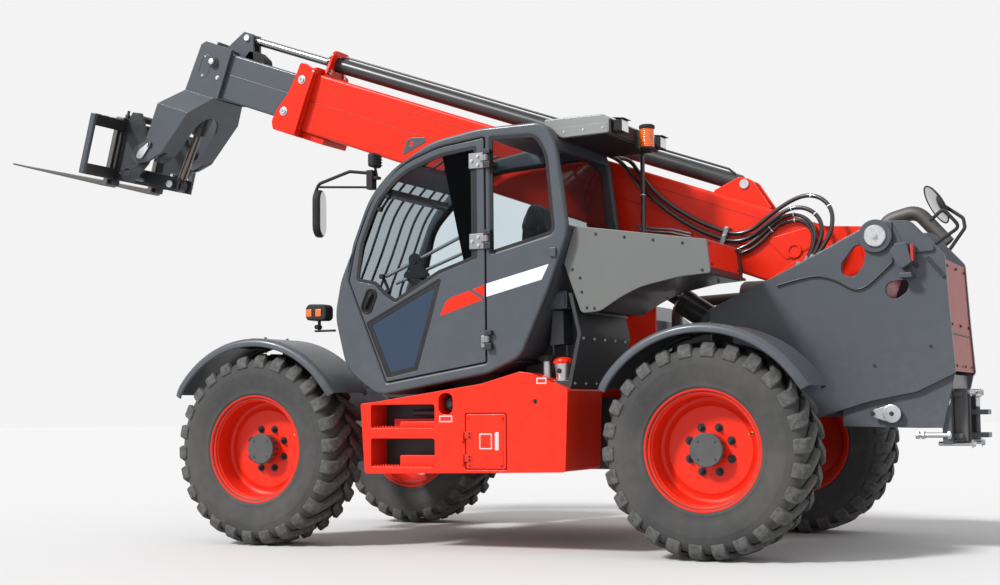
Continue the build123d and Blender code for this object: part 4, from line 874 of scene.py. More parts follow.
class TELEHANDLER_OT_mudguards(bpy.types.Operator):
    """Builds the rolled mudguards and their brackets"""

    bl_idname = "telehandler.mudguards"
    bl_label = "Mudguards"

    def execute(self, context):
        for corner in CORNERS:
            body, centre = f"steer_{corner}", WHEELS[corner]
            side = 1 if centre.y > 0 else -1
            part = bmesh.new()
            verts = [part.verts.new(wheel_point(corner, out, radius, GUARD_ENDS[0]))
                     for out, radius in GUARD_SECTION]
            edges = [part.edges.new(pair) for pair in zip(verts, verts[1:])]
            bmesh.ops.spin(part, geom=verts + edges, cent=centre, axis=(0, 1, 0), dvec=(0, 0, 0),
                           angle=GUARD_ENDS[1] - GUARD_ENDS[0], steps=40)
            bmesh.ops.recalc_face_normals(part, faces=part.faces)
            sample = max(part.faces, key=lambda f: f.calc_center_median().z)
            if sample.normal.z < 0:
                bmesh.ops.reverse_faces(part, faces=part.faces)
            for vert in part.verts:
                angle = atan2(vert.co.x - centre.x, vert.co.z - centre.z)
                near_end = 1 - min(1, (GUARD_ENDS[1] - abs(angle)) / radians(7))
                out = abs(vert.co.y) - abs(centre.y)
                if near_end > 0:
                    pull = near_end ** 2 * 0.5
                    vert.co.y -= out * pull * 0.16 * side
            bmesh.ops.solidify(part, geom=part.faces, thickness=0.005)
            piece(f"mudguard_rolled_{corner}", part, "slate_paint", body, [f"mudguard_{corner}"], smooth=40)
            bm = bmesh.new()
            inner = centre.y - side * 0.225
            spread = sorted((inner, inner + side * 0.010))
            x = centre.x - AXLE_X
            foot = centre.z + 0.1256
            box(bm, SIDE, (x - 0.060, x + 0.060), spread, (foot, centre.z + 0.672), 0.002)
            shelf = sorted((inner, inner + side * 0.090))
            box(bm, SIDE, (x - 0.060, x + 0.060), shelf, (foot, foot + 0.010), 0.002)
            for reach in (-0.30, 0.0, 0.30):
                base = wheel_point(corner, -0.2245, 0.640, reach)
                tip = wheel_point(corner, 0.2000, 0.668, reach)
                pipe(bm, [base, base.lerp(tip, 0.05) + Vector((0, 0, 0.02)), tip], 0.011, 0.02, 3)
            spine = [wheel_point(corner, -0.219, 0.648, radians(a)) for a in range(-52, 53, 8)]
            pipe(bm, spine, 0.010, 0.1, 3)
            for spot in (-0.035, 0.035):
                bolt(bm, (centre.x + spot, inner - side * 0.0005, foot + 0.10), (0, -side, 0), 0.010)
            piece(f"guard_bracket_{corner}", bm, "dark_panel", body)
            bm = bmesh.new()
            for angle in (-0.06, 0.30):
                for out in (0.12, -0.12):
                    seat = wheel_point(corner, out, 0.6795, angle)
                    bolt(bm, seat, seat - Vector((centre.x, seat.y, centre.z)), 0.008)
            piece(f"guard_bolts_{corner}", bm, "dark_steel", body)
        return {"FINISHED"}


# ------------------------------------------------------------------ chassis
def flow(points, steps=6):
    """Smooth open run through points, for edges that wander."""
    made = []
    ends = [points[0]] + list(points) + [points[-1]]
    for a, b, c, d in zip(ends, ends[1:], ends[2:], ends[3:]):
        a, b, c, d = (Vector(p) for p in (a, b, c, d))
        for step in range(steps):
            t = step / steps
            made.append(0.5 * (2 * b + (c - a) * t + (2 * a - 5 * b + 4 * c - d) * t * t
                               + (3 * b - a - 3 * c + d) * t ** 3))
    made.append(Vector(points[-1]))
    return made


TOWER = [(0.200, 1.390), (-0.140, 1.540), (-0.350, 1.640), (-0.780, 1.850, 0.10), (-0.970, 1.840, 0.06),
         (-1.150, 1.640, 0.05), (-1.170, 1.280), (-1.190, 0.990, 0.03), (-0.980, 0.890, 0.10),
         (-0.720, 0.840), (-0.420, 0.750), (0.200, 0.750)]
STIFFENER_EDGE = [(-0.205, 1.508), (-0.350, 1.542), (-0.450, 1.552), (-0.550, 1.522), (-0.630, 1.474),
                  (-0.690, 1.470), (-0.760, 1.512), (-0.870, 1.612)]
TEARDROP = [(-0.665, 1.722, 0.05), (-0.722, 1.712, 0.035), (-0.712, 1.610, 0.03), (-0.655, 1.533, 0.04),
            (-0.578, 1.560, 0.04), (-0.585, 1.620, 0.03)]
OVAL = [(-0.825, 1.500, 0.05), (-0.955, 1.515, 0.05), (-0.945, 1.445, 0.06), (-0.880, 1.402, 0.05),
        (-0.822, 1.425, 0.05)]
REAR_CAP = [(-0.880, 1.826), (-0.970, 1.822, 0.03), (-1.098, 1.690, 0.02), (-1.095, 1.664, 0.01),
            (-0.960, 1.655, 0.03)]


class TELEHANDLER_OT_chassis(bpy.types.Operator):
    """Builds the rails, the rear tower with its plates and pins, the axles and the hitch"""

    bl_idname = "telehandler.chassis"
    bl_label = "Chassis"

    def execute(self, context):
        eased_copy("frame", "dark_panel", "chassis", 0.003)
        self.tower()
        self.hitch()
        for name in ("front_axle", "rear_axle"):
            eased_copy(name, "cast", "chassis", 0.006)
            bm = bmesh.new()
            x = WHEELBASE if name == "front_axle" else 0.0
            for turn in range(10):
                angle = turn * pi / 5
                for side in (1, -1):
                    seat = at(SIDE, x + 0.100 * cos(angle), side * 0.1705, AXLE_Z + 0.100 * sin(angle))
                    bolt(bm, seat, (0, side, 0), 0.009)
            piece(f"{name}_bolts", bm, "dark_steel", "chassis")
        for corner in CORNERS:
            eased_copy(f"knuckle_{corner}", "cast", f"steer_{corner}", 0.004)
        return {"FINISHED"}

    def tower(self):
        """Side plates with their holes, edge plates, pins and fastenings."""
        bm = bmesh.new()
        wave = flow(STIFFENER_EDGE)
        top = [(-0.870, 1.838), (-0.780, 1.842), (-0.350, 1.632), (-0.200, 1.560)]
        edge_plate = wave + [Vector(point) for point in top]
        holes = [rounded(TEARDROP, steps=6), rounded(OVAL, steps=6)]
        raised_holes = holes[:1]
        for side, outer in ((1, 0.360), (-1, -0.330)):
            plate(bm, SIDE, rounded(TOWER), outer, 0.030, holes, 0.003)
            face = outer + 0.012 if side > 0 else -0.360
            plate(bm, SIDE, edge_plate, face, 0.012, raised_holes, 0.003)
            plate(bm, SIDE, rounded(REAR_CAP), face + (0.004 if side > 0 else 0), 0.016, (), 0.003)
            ring = [(0.372, 0.094), (0.390, 0.094), (0.394, 0.090), (0.394, 0.050), (0.372, 0.050)]
            lathe(bm, turn_to((0, side, 0), (PIVOT.x, 0, PIVOT.z)), ring + ring[:1], 48)
        box(bm, SIDE, (-1.02, -0.62), (-0.330, 0.330), (0.905, 0.925), 0.003)
        drum(bm, at(SIDE, -1.06, 0.331, 1.04), at(SIDE, -1.06, -0.331, 1.04), 0.040)
        piece("tower_plates", bm, "slate_paint", "chassis", ["rear_tower"], smooth=30)

        bm = bmesh.new()
        for side in (1, -1):
            out = Vector((0, side, 0))
            middle = Vector((PIVOT.x, side * 0.372, PIVOT.z))
            lathe(bm, turn_to(out, middle),
                  [(0, 0), (0, 0.062), (0.030, 0.062), (0.034, 0.057), (0.034, 0.0)], 40)
            bolt(bm, middle + out * 0.034, out, 0.014)
            seat = at(SIDE, -0.84, side * 0.3605, 0.77)
            lathe(bm, turn_to(out, seat), [(0, 0.052), (0.012, 0.050), (0.014, 0.046), (0.014, 0.0)], 32)
            tab = rounded([(-0.735, 0.752), (-0.735, 0.790), (-0.84, 0.822), (-0.84, 0.718)], 0.018)
            plate(bm, SIDE, tab, near_face(0.3665, 0.006, side), 0.006, (), 0.001)
        piece("tower_pins", bm, "zinc", "chassis")

        bm = bmesh.new()
        for side in (1, -1):
            out = Vector((0, side, 0))
            for x, z in ((-0.75, 1.04), (-1.06, 1.14)):
                bolt(bm, at(SIDE, x, side * 0.3602, z), out, 0.008, washer=False)
            for x, z in ((-0.93, 1.53), (-1.0, 1.585), (-0.735, 0.771), (-0.84, 0.770)):
                bolt(bm, at(SIDE, x, side * (0.3745 if z < 1 else 0.361), z), out, 0.009)
            strap = rounded([(-1.045, 1.628), (-1.060, 1.640), (-1.155, 1.525), (-1.140, 1.510)], 0.004)
            plate(bm, SIDE, strap, near_face(0.372, 0.010, side), 0.010, (), 0.002)
            seam = [at(SIDE, point.x, side * 0.3725, point.y) for point in wave[::3]]
            pipe(bm, seam, 0.0035, 0, 2)
        piece("tower_fastenings", bm, "dark_steel", "chassis")

        bm = bmesh.new()
        hood = rounded([(-0.868, 1.662, 0.02), (-0.900, 1.708, 0.02), (-0.962, 1.712, 0.01),
                        (-0.988, 1.600), (-0.925, 1.560, 0.02)])
        for side, y in ((1, 0.452), (-1, -0.372)):
            plate(bm, SIDE, hood, y, 0.080, (), 0.004, 2)
            box(bm, SIDE, (-0.985, -0.915), mirrored(0.362, 0.445, side), (1.515, 1.545), 0.006)
        piece("tail_lamp_hoods", bm, "slate_paint", "chassis")
        bm = bmesh.new()
        for side in (1, -1):
            box(bm, SIDE, (-0.998, -0.980), mirrored(0.380, 0.444, side), (1.605, 1.700), 0.004)
        piece("tail_lamp_lenses", bm, "red_lens", "chassis")

        bm = bmesh.new()
        panel = rounded([(-1.1455, 1.620), (-1.1635, 1.280), (-1.1815, 1.000), (-1.174, 1.000),
                         (-1.156, 1.280), (-1.138, 1.620)])
        plate(bm, SIDE, panel, 0.3295, 0.659, (), 0.002)
        # The rear panel sheet takes the darker red: painted shade on the rear face, which looks away from the
        # key light.
        piece("rear_panel_sheet", bm, "shaded_red", "chassis", ["rear_panel"])
        bm = bmesh.new()
        for y in (-0.29, 0.0, 0.29):
            for x, z in ((-1.149, 1.585), (-1.1655, 1.260), (-1.1845, 1.03)):
                bolt(bm, at(SIDE, x - 0.0005, y, z), (-1, 0, 0.05), 0.007)
        box(bm, SIDE, (-1.1735, -1.168), (-0.33, 0.33), (1.205, 1.212), 0.001)
        piece("rear_panel_bolts", bm, "dark_steel", "chassis")

        bm = bmesh.new()
        grip = [at(SIDE, x, 0.35, z)
                for x, z in ((-1.10, 1.700), (-1.235, 1.790), (-1.150, 1.895), (-1.075, 1.830))]
        pipe(bm, grip, 0.010, 0.03, 4)
        piece("grab_handle", bm, "dark_plastic", "chassis")

    def hitch(self):
        """Drawbar block with its clamping bolts and springs."""
        eased_copy("hitch", "slate_paint", "chassis", 0.003)
        bm = bmesh.new()
        for y in (-0.215, -0.105, 0.105, 0.215):
            box(bm, SIDE, (-1.222, -1.155), (y - 0.014, y + 0.014), (0.615, 0.905), 0.004)
        for low in (0.632, 0.862):
            box(bm, SIDE, (-1.200, -1.150), (-0.255, 0.255), (low, low + 0.026), 0.004)
        piece("hitch_block", bm, "cast", "chassis")
        bm = bmesh.new()
        for y in (-0.17, 0.17):
            for z in (0.600, 0.885):
                drum(bm, at(SIDE, -1.055, y, z), at(SIDE, -1.245, y, z), 0.012)
                bolt(bm, at(SIDE, -1.236, y, z), (-1, 0, 0), 0.017)
        for z in (0.650, 0.836):
            drum(bm, at(SIDE, -1.150, 0.305, z), at(SIDE, -0.960, 0.305, z), 0.014)
            for x in (-0.975, -1.005, -1.145):
                drum(bm, at(SIDE, x, 0.305, z), at(SIDE, x + 0.018, 0.305, z), 0.024, 0.002, 6)
        lathe(bm, turn_to((0, 0, 1), at(SIDE, -1.240, 0, 0.805)),
              [(0, 0.019), (0.050, 0.019), (0.056, 0.030), (0.068, 0.030), (0.072, 0.025), (0.072, 0)], 32)
        pipe(bm, line_in(SIDE, (-1.240, -0.020, 0.862), (-1.240, -0.070, 0.895), (-1.240, 0.070, 0.895),
                         (-1.240, 0.020, 0.862)), 0.005, 0.02, 3)
        piece("hitch_bolts", bm, "zinc", "chassis")


# ------------------------------------------------------------------ cab
CAB_OUTLINE = [(2.280, 1.600, 0.30), (2.322, 1.390, 0.30), (2.240, 1.060, 0.25), (2.020, 0.902, 0.16),
               (1.290, 1.022, 0.18), (1.085, 1.110, 0.14), (0.910, 1.480, 0.3), (0.780, 1.815, 0.22),
               (0.850, 2.330, 0.4), (0.925, 2.450, 0.11), (1.330, 2.447, 0.8), (1.660, 2.395, 0.5),
               (1.890, 2.265, 0.5), (2.090, 2.060, 0.5), (2.200, 1.780, 0.5)]
DOOR = [(1.305, 1.088, 0.006), (1.960, 0.985, 0.010), (2.214, 1.595, 0.02), (2.166, 1.810, 0.20),
        (2.050, 2.085, 0.45), (1.868, 2.262, 0.45), (1.600, 2.352, 0.45), (1.305, 2.385, 0.008)]
DOOR_PANE = [(1.352, 1.690, 0.02), (1.600, 1.612), (1.900, 1.452, 0.02), (1.975, 1.500, 0.06),
             (2.040, 1.565, 0.07), (2.168, 1.592, 0.03), (2.138, 1.810, 0.25), (2.030, 2.065, 0.45),
             (1.855, 2.232, 0.45), (1.595, 2.318, 0.4), (1.352, 2.345, 0.012)]
LOW_PANE = [(1.585, 1.590, 0.012), (2.098, 1.338, 0.010), (1.955, 1.008, 0.012), (1.752, 1.048, 0.012),
            (1.665, 1.320, 0.4)]
REAR_PANE = [(1.266, 1.712, 0.012), (0.864, 1.808, 0.045), (0.905, 2.270, 0.30), (0.975, 2.378, 0.08),
             (1.266, 2.385, 0.012)]
FAR_PANE = [(0.940, 1.640, 0.03), (2.160, 1.640, 0.03), (2.080, 1.980, 0.3), (1.860, 2.200, 0.3),
            (1.640, 2.320, 0.3), (1.010, 2.360, 0.08), (0.900, 2.270, 0.08), (0.850, 1.850, 0.05)]
CAB_LEFT, CAB_RIGHT, CAB_SKIN = 1.100, 0.260, 0.045
WINDSCREEN = (1.330, 2.150)
ROOF = (1.360, 1.800)


def part_of(outline, test):
    """Longest run of an outline's points that pass a test."""
    flags = [test(point) for point in outline]
    count = len(outline)
    starts = [i for i in range(count) if flags[i] and not flags[i - 1]]
    runs = []
    for start in starts:
        run, index = [], start
        while flags[index % count] and len(run) < count:
            run.append(outline[index % count])
            index += 1
        runs.append(run)
    return max(runs, key=len)


def band(bm, outer, inner, left, right, bevel=0.003):
    """Wall across the machine between two open runs of the same points."""
    plate(bm, SIDE, list(outer) + list(reversed(inner)), left, left - right, (), bevel)


class TELEHANDLER_OT_cab(bpy.types.Operator):
    """Builds the cab shell, its panes, seals, guard bars and the door"""

    bl_idname = "telehandler.cab"
    bl_label = "Cab"

    def execute(self, context):
        self.gap = context.scene.telehandler_sizes.door_gap
        self.bars = context.scene.telehandler_sizes.guard_bars
        self.outline = rounded(CAB_OUTLINE, steps=12)
        self.shell()
        self.panes()
        self.guards()
        self.door()
        return {"FINISHED"}

    def shell(self):
        """Side frames and the walls across the cab."""
        outline = self.outline
        door_hole = inset(rounded(DOOR, steps=10), -self.gap)
        bm = bmesh.new()
        plate(bm, SIDE, outline, CAB_LEFT, CAB_SKIN, [door_hole, rounded(REAR_PANE, steps=8)], 0.016, 3)
        plate(bm, SIDE, outline, CAB_RIGHT + CAB_SKIN, CAB_SKIN, [rounded(FAR_PANE, steps=8)], 0.012, 2)
        piece("cab_sides", bm, "slate_paint", "chassis", ["cab_frame"], smooth=40)

        bm = bmesh.new()
        left, right = CAB_LEFT - 0.020, CAB_RIGHT + 0.014
        inner = inset(outline, CAB_SKIN)
        pairs = list(zip(outline, inner))

        def wall(test):
            run = part_of(pairs, lambda pair: test(pair[0]))
            band(bm, [pair[0] for pair in run], [pair[1] for pair in run], left, right)

        wall(lambda p: p.y < WINDSCREEN[0] + 0.02 and p.x > 1.2)
        wall(lambda p: p.y < 1.85 and p.x < 1.35)
        wall(lambda p: p.x > 1.79 and p.y > 2.17)
        wall(lambda p: p.x < ROOF[0] + 0.02 and p.y > 2.28)
        piece("cab_shell", bm, "slate_paint", "chassis", smooth=40)

        bm = bmesh.new()
        floor = [(1.10, 1.082), (2.15, 0.950), (2.15, 0.962), (1.10, 1.094)]
        plate(bm, SIDE, floor, 1.05, 0.74, (), 0.001)
        edge = inset(rounded(DOOR, steps=10), 0.004)
        plate(bm, SIDE, inset(edge, -0.014), 1.0730, 0.012, [inset(edge, 0.012)], 0.001)
        piece("cab_seals", bm, "dark_plastic", "chassis")

    def panes(self):
        """Fixed glass with its black borders."""
        outline = self.outline
        bm = bmesh.new()
        inner, deeper = inset(outline, 0.012), inset(outline, 0.017)
        triples = list(zip(outline, inner, deeper))
        left, right = CAB_LEFT - 0.050, CAB_RIGHT + 0.050
        for test in (
            lambda p: WINDSCREEN[0] < p.y < 2.24 and p.x > 1.7,
            lambda p: ROOF[0] < p.x < 1.86 and p.y > 2.2,
            lambda p: 1.84 < p.y < 2.34 and p.x < 1.0,
        ):
            run = part_of(triples, lambda triple: test(triple[0]))
            band(bm, [t[1] for t in run], [t[2] for t in run], left, right, 0.001)
        plate(bm, SIDE, inset(rounded(REAR_PANE, steps=8), 0.001), CAB_LEFT - 0.014, 0.005, (), 0.001)
        plate(bm, SIDE, inset(rounded(FAR_PANE, steps=8), 0.001), CAB_RIGHT + 0.020, 0.005, (), 0.001)
        piece("cab_panes", bm, "glass", "chassis", ["cab_glass"], smooth=30)
        bm = bmesh.new()
        for loop, y in ((REAR_PANE, CAB_LEFT - 0.006), (FAR_PANE, CAB_RIGHT + 0.016)):
            plate(bm, SIDE, shrunk(loop, -0.004, 0), y, 0.010, [shrunk(loop, 0.016, 0)], 0.002)
        piece("cab_gaskets", bm, "dark_plastic", "chassis")

    def guards(self):
        """Bars over the windscreen and roof, the header between them and the far pillar."""
        outline = inset(self.outline, 0.003)
        bm = bmesh.new()
        run = inset_run(part_of(outline, lambda p: p.y > 1.36 and p.x > 1.42), 0.004)
        for index in range(self.bars):
            y = CAB_RIGHT + 0.10 + index * (CAB_LEFT - CAB_RIGHT - 0.20) / (self.bars - 1)
            pipe(bm, [at(SIDE, p.x, y, p.y - 0.004) for p in run], 0.008, 0, 3)
        for x, z, tall in ((1.62, 2.372, 0.030), (1.98, 2.140, 0.040), (1.14, 2.425, 0.026)):
            box(bm, SIDE, (x - 0.035, x + 0.035), (CAB_RIGHT + 0.06, CAB_LEFT - 0.06), (z - tall, z), 0.006)
        gusset = rounded([(1.690, 2.400), (1.700, 2.424), (1.790, 2.432, 0.012), (1.822, 2.418, 0.012),
                          (1.850, 2.330)], 0.004)
        hole = rounded([(1.778, 2.382), (1.778, 2.412), (1.808, 2.412), (1.808, 2.382)], 0.0149, 6)
        for y in (CAB_LEFT - 0.012, CAB_RIGHT + 0.018):
            plate(bm, SIDE, gusset, y, 0.008, [hole], 0.001)
        for y in (CAB_LEFT + 0.014, CAB_RIGHT - 0.001):
            box(bm, SIDE, (0.852, 0.892), (y - 0.012, y), (1.672, 1.722), 0.003)
        piece("guard_bars", bm, "slate_paint", "chassis")

    def door(self):
        """Door leaf, its two panes, seals, hinges, handle and stripes."""
        leaf = rounded(DOOR, steps=10)
        upper, lower = rounded(DOOR_PANE, steps=8), rounded(LOW_PANE, steps=8)
        bm = bmesh.new()
        plate(bm, SIDE, leaf, CAB_LEFT, 0.040, [upper, lower], 0.004, 2)
        piece("door_leaf", bm, "slate_paint", "door", ["cab_door"], smooth=35)
        bm = bmesh.new()
        plate(bm, SIDE, inset(upper, 0.001), CAB_LEFT - 0.008, 0.005, (), 0.001)
        piece("door_pane", bm, "glass", "door", ["door_glass"])
        bm = bmesh.new()
        plate(bm, SIDE, inset(lower, 0.001), CAB_LEFT - 0.006, 0.005, (), 0.001)
        piece("door_low_pane", bm, "tinted_glass", "door")
        bm = bmesh.new()
        for ring, width in ((DOOR_PANE, 0.020), (LOW_PANE, 0.008)):
            plate(bm, SIDE, shrunk(ring, -0.003, 0), CAB_LEFT - 0.001, 0.010, [shrunk(ring, width, 0)], 0.002)
        plate(bm, SIDE, shrunk(LOW_PANE, 0.008, 0), CAB_LEFT - 0.003, 0.003, [shrunk(LOW_PANE, 0.028, 0)],
              0.0005)
        plate(bm, SIDE, shrunk(DOOR, 0.020, 0), CAB_LEFT - 0.041, 0.010, [shrunk(DOOR, 0.036, 0)], 0.002)
        strap = ((1.372, 2.30), (1.392, 2.30), (1.392, 1.68), (1.372, 1.685))
        plate(bm, SIDE, strap, CAB_LEFT - 0.004, 0.016, (), 0.002)
        piece("door_seals", bm, "dark_plastic", "door")

        bm, pins = bmesh.new(), bmesh.new()
        hinge_x, hinge_y = 1.283, 1.118
        for z, reach in ((2.250, 0.115), (1.780, 0.115), (1.200, 0.045)):
            low, high = (z - 0.040, z + 0.050) if reach > 0.1 else (z - 0.030, z + 0.040)
            box(bm, SIDE, (hinge_x + 0.022, hinge_x + reach), (CAB_LEFT, CAB_LEFT + 0.010), (low, high),
                0.003)
            drum(bm, at(SIDE, hinge_x, hinge_y, z - 0.002), at(SIDE, hinge_x, hinge_y, z + 0.036), 0.0150)
            box(bm, SIDE, (hinge_x, hinge_x + 0.040), (CAB_LEFT + 0.004, CAB_LEFT + 0.018), (z, z + 0.034),
                0.002)
            if reach > 0.1:
                for spot in ((0.055, 0.030), (0.055, -0.020), (0.095, 0.005)):
                    bolt(pins, at(SIDE, hinge_x + spot[0], CAB_LEFT + 0.010, z + spot[1]), (0, 1, 0), 0.008)
        piece("door_hinges", bm, "galvanised", "door")
        piece("door_hinge_bolts", pins, "zinc", "door")
        bm = bmesh.new()
        for z in (2.250, 1.780, 1.200):
            box(bm, SIDE, (hinge_x - 0.030, hinge_x + 0.012), (CAB_LEFT - 0.002, hinge_y + 0.012),
                (z - 0.044, z - 0.006), 0.003)
            box(bm, SIDE, (hinge_x - 0.030, hinge_x + 0.012), (CAB_LEFT - 0.002, hinge_y + 0.012),
                (z + 0.040, z + 0.066), 0.003)
            drum(bm, at(SIDE, hinge_x, hinge_y, z - 0.046), at(SIDE, hinge_x, hinge_y, z + 0.070), 0.008)
        piece("cab_hinges", bm, "dark_steel", "chassis")

        bm = bmesh.new()
        middle, lean = (2.078, 1.468), radians(22)
        plane = SIDE @ Matrix.Translation((*middle, 0)) @ Matrix.Rotation(lean, 4, "Z")
        oval = rounded([(-0.040, 0.078), (0.040, 0.078), (0.040, -0.078), (-0.040, -0.078)], 0.038, 8)
        plate(bm, plane, oval, CAB_LEFT + 0.006, 0.008, [inset(oval, 0.010)], 0.002)
        cup = inset(oval, 0.009)
        plate(bm, plane, cup, CAB_LEFT + 0.001, 0.003, (), 0.001)
        grip = line_in(plane, (-0.006, CAB_LEFT + 0.004, 0.050), (-0.004, CAB_LEFT + 0.016, 0.030),
                       (0.004, CAB_LEFT + 0.016, -0.030), (0.006, CAB_LEFT + 0.004, -0.050))
        pipe(bm, grip, 0.009, 0.02, 4)
        piece("door_handle", bm, "handle_black", "door", smooth=40)

        bm = bmesh.new()
        bracket = rounded([(1.660, 1.600), (1.715, 1.640, 0.03), (1.765, 1.752, 0.03), (1.822, 1.728, 0.03),
                           (1.815, 1.640), (1.850, 1.590)], 0.012)
        plate(bm, SIDE, bracket, CAB_LEFT - 0.024, 0.012, (), 0.003)
        drum(bm, at(SIDE, 1.778, CAB_LEFT - 0.018, 1.690), at(SIDE, 1.778, CAB_LEFT - 0.060, 1.690), 0.014)
        for x, z in ((1.954, 2.089), (2.011, 2.018), (2.000, 1.613), (1.958, 1.523)):
            drum(bm, at(SIDE, x, CAB_LEFT - 0.004, z), at(SIDE, x, CAB_LEFT - 0.040, z), 0.015, 0.005)
        for ends, radius in (
            (((2.000, 1.613), (1.958, 1.523)), 0.009),
            (((1.954, 2.089), (2.011, 2.018)), 0.008),
        ):
            pipe(bm, [at(SIDE, x, CAB_LEFT - 0.034, z) for x, z in ends], radius, 0, 4)
        piece("door_latch", bm, "dark_plastic", "door")
        bm = bmesh.new()
        pipe(bm, line_in(SIDE, (1.989, CAB_LEFT - 0.050, 1.615), (1.900, CAB_LEFT - 0.052, 1.650),
                         (1.443, CAB_LEFT - 0.052, 1.842)), 0.011, 0.03, 4)
        pipe(bm, line_in(SIDE, (1.919, CAB_LEFT - 0.052, 1.570), (1.451, CAB_LEFT - 0.052, 1.735)), 0.010,
             0, 4)
        piece("door_stay", bm, "galvanised", "door")

        bm = bmesh.new()
        for stripe in (
            ((1.598, 1.362), (1.560, 1.442), (1.528, 1.466), (1.405, 1.502), (1.318, 1.446)),
            ((1.385, 1.508), (1.308, 1.532), (1.308, 1.462)),
        ):
            plate(bm, SIDE, stripe, CAB_LEFT + 0.0006, 0.0012, (), 0.0002)
        piece("door_stripes", bm, "orange_paint", "door")
        bm = bmesh.new()
        stripe = ((1.294, 1.537), (0.900, 1.632), (0.945, 1.545), (1.294, 1.462))
        plate(bm, SIDE, stripe, CAB_LEFT + 0.0006, 0.0012, (), 0.0002)
        piece("cab_stripe", bm, "silver_stripe", "chassis")


def inset_run(run, amount):
    """Open run of points moved to the left of its own direction."""
    made = []
    for index, here in enumerate(run):
        before, after = run[max(0, index - 1)], run[min(len(run) - 1, index + 1)]
        along = (after - before).normalized()
        made.append(here + Vector((-along.y, along.x)) * amount)
    return made


# ------------------------------------------------------------------ inside the cab
class TELEHANDLER_OT_interior(bpy.types.Operator):
    """Builds the seat, the console and the steering wheel"""

    bl_idname = "telehandler.interior"
    bl_label = "Interior"

    def execute(self, context):
        for name in ("seat_base", "steering_console"):
            eased_copy(name, "dark_plastic", "chassis", 0.012)
        cushion = self.pad("seat_cushion", (1.150, 1.600), (0.480, 0.900), (1.402, 1.500), 0.0)
        back = self.pad("seat_back", (1.105, 1.215), (0.490, 0.890), (1.520, 2.060), radians(-8))
        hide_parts("seat")
        bm = bmesh.new()
        for y in (0.500, 0.840):
            box(bm, SIDE, (1.220, 1.580), (y, y + 0.030), (1.380, 1.400), 0.004)
        box(bm, SIDE, (1.700, 2.000), (0.330, 0.470), (1.120, 1.560), 0.020)
        box(bm, SIDE, (1.240, 1.640), (0.330, 0.440), (1.150, 1.620), 0.020)
        for x, z in ((1.50, 1.62), (1.42, 1.62)):
            pipe(bm, line_in(SIDE, (x, 0.385, z), (x + 0.03, 0.385, z + 0.14)), 0.008, 0.02, 3)
            drum(bm, at(SIDE, x + 0.028, 0.385, z + 0.13), at(SIDE, x + 0.038, 0.385, z + 0.20), 0.022, 0.008)
        piece("cab_fittings", bm, "dark_plastic", "chassis")
        return {"FINISHED"}

    def pad(self, name, x, y, z, lean):
        """Crowned cushion with sewn channels, swollen by a short cloth run."""
        part = bmesh.new()
        box(part, SIDE, (x[0] + 0.012, x[1] - 0.012), (y[0] + 0.012, y[1] - 0.012),
            (z[0] + 0.010, z[1] - 0.012), 0.030, 3)
        middle = at(SIDE, (x[0] + x[1]) / 2, (y[0] + y[1]) / 2, z[0])
        turn = Matrix.Translation(middle) @ Matrix.Rotation(lean, 4, "Y") @ Matrix.Translation(-middle)
        bmesh.ops.transform(part, matrix=turn, verts=part.verts)
        made = piece(name, part, "seat_fabric", "chassis", smooth=60, weighted=False)
        remesh = made.modifiers.new("even mesh", "REMESH")
        remesh.mode, remesh.voxel_size, remesh.use_smooth_shade = "VOXEL", 0.012, True
        cloth = made.modifiers.new("stuffing", "CLOTH")
        cloth.settings.use_pressure = True
        cloth.settings.uniform_pressure_force = 4.0
        cloth.settings.effector_weights.gravity = 0.0
        scene = bpy.context.scene
        for step in range(1, 21):
            scene.frame_set(step)
        graph = bpy.context.evaluated_depsgraph_get()
        swollen = bpy.data.meshes.new_from_object(made.evaluated_get(graph))
        made.modifiers.clear()
        bpy.context.scene.frame_set(1)
        bm = bmesh.new()
        bm.from_mesh(swollen)
        tall = z[1] - z[0] > x[1] - x[0]
        for vert in bm.verts:
            along, (low, high) = (vert.co.z, z) if tall else (vert.co.x - AXLE_X, x)
            lengthways = (along - low) / (high - low)
            across = (vert.co.y - y[0]) / (y[1] - y[0])
            seam = min(abs(across - 0.22), abs(across - 0.78)) * (y[1] - y[0])
            ridge = min(abs(lengthways - k) for k in (0.25, 0.5, 0.75)) * 0.4 if 0.22 < across < 0.78 else 1
            dip = 0.007 * max(0, 1 - seam / 0.012) + 0.005 * max(0, 1 - ridge / 0.010)
            vert.co -= vert.normal * dip
            limit = Vector((min(max(vert.co.x, AXLE_X + x[0] - 0.06), AXLE_X + x[1]),
                            min(max(vert.co.y, y[0]), y[1]), min(max(vert.co.z, z[0]), z[1] + 0.012)))
            vert.co = limit
        bm.to_mesh(made.data)
        bm.free()
        made.data.polygons.foreach_set("use_smooth", [True] * len(made.data.polygons))
        smooth = made.modifiers.new("soft", "SUBSURF")
        smooth.levels = smooth.render_levels = 1
        return made


# ------------------------------------------------------------------ side cover and bulkhead
COVER = [(0.770, 1.848, 0.030), (-0.008, 1.728, 0.012), (-0.028, 1.542, 0.015), (0.150, 1.530, 0.3),
         (0.380, 1.485, 0.4), (0.500, 1.430, 0.4), (0.620, 1.358, 0.10), (0.735, 1.350, 0.030),
         (0.838, 1.640, 0.030)]
COVER_LEFT, RAIL = 1.030, 0.3603


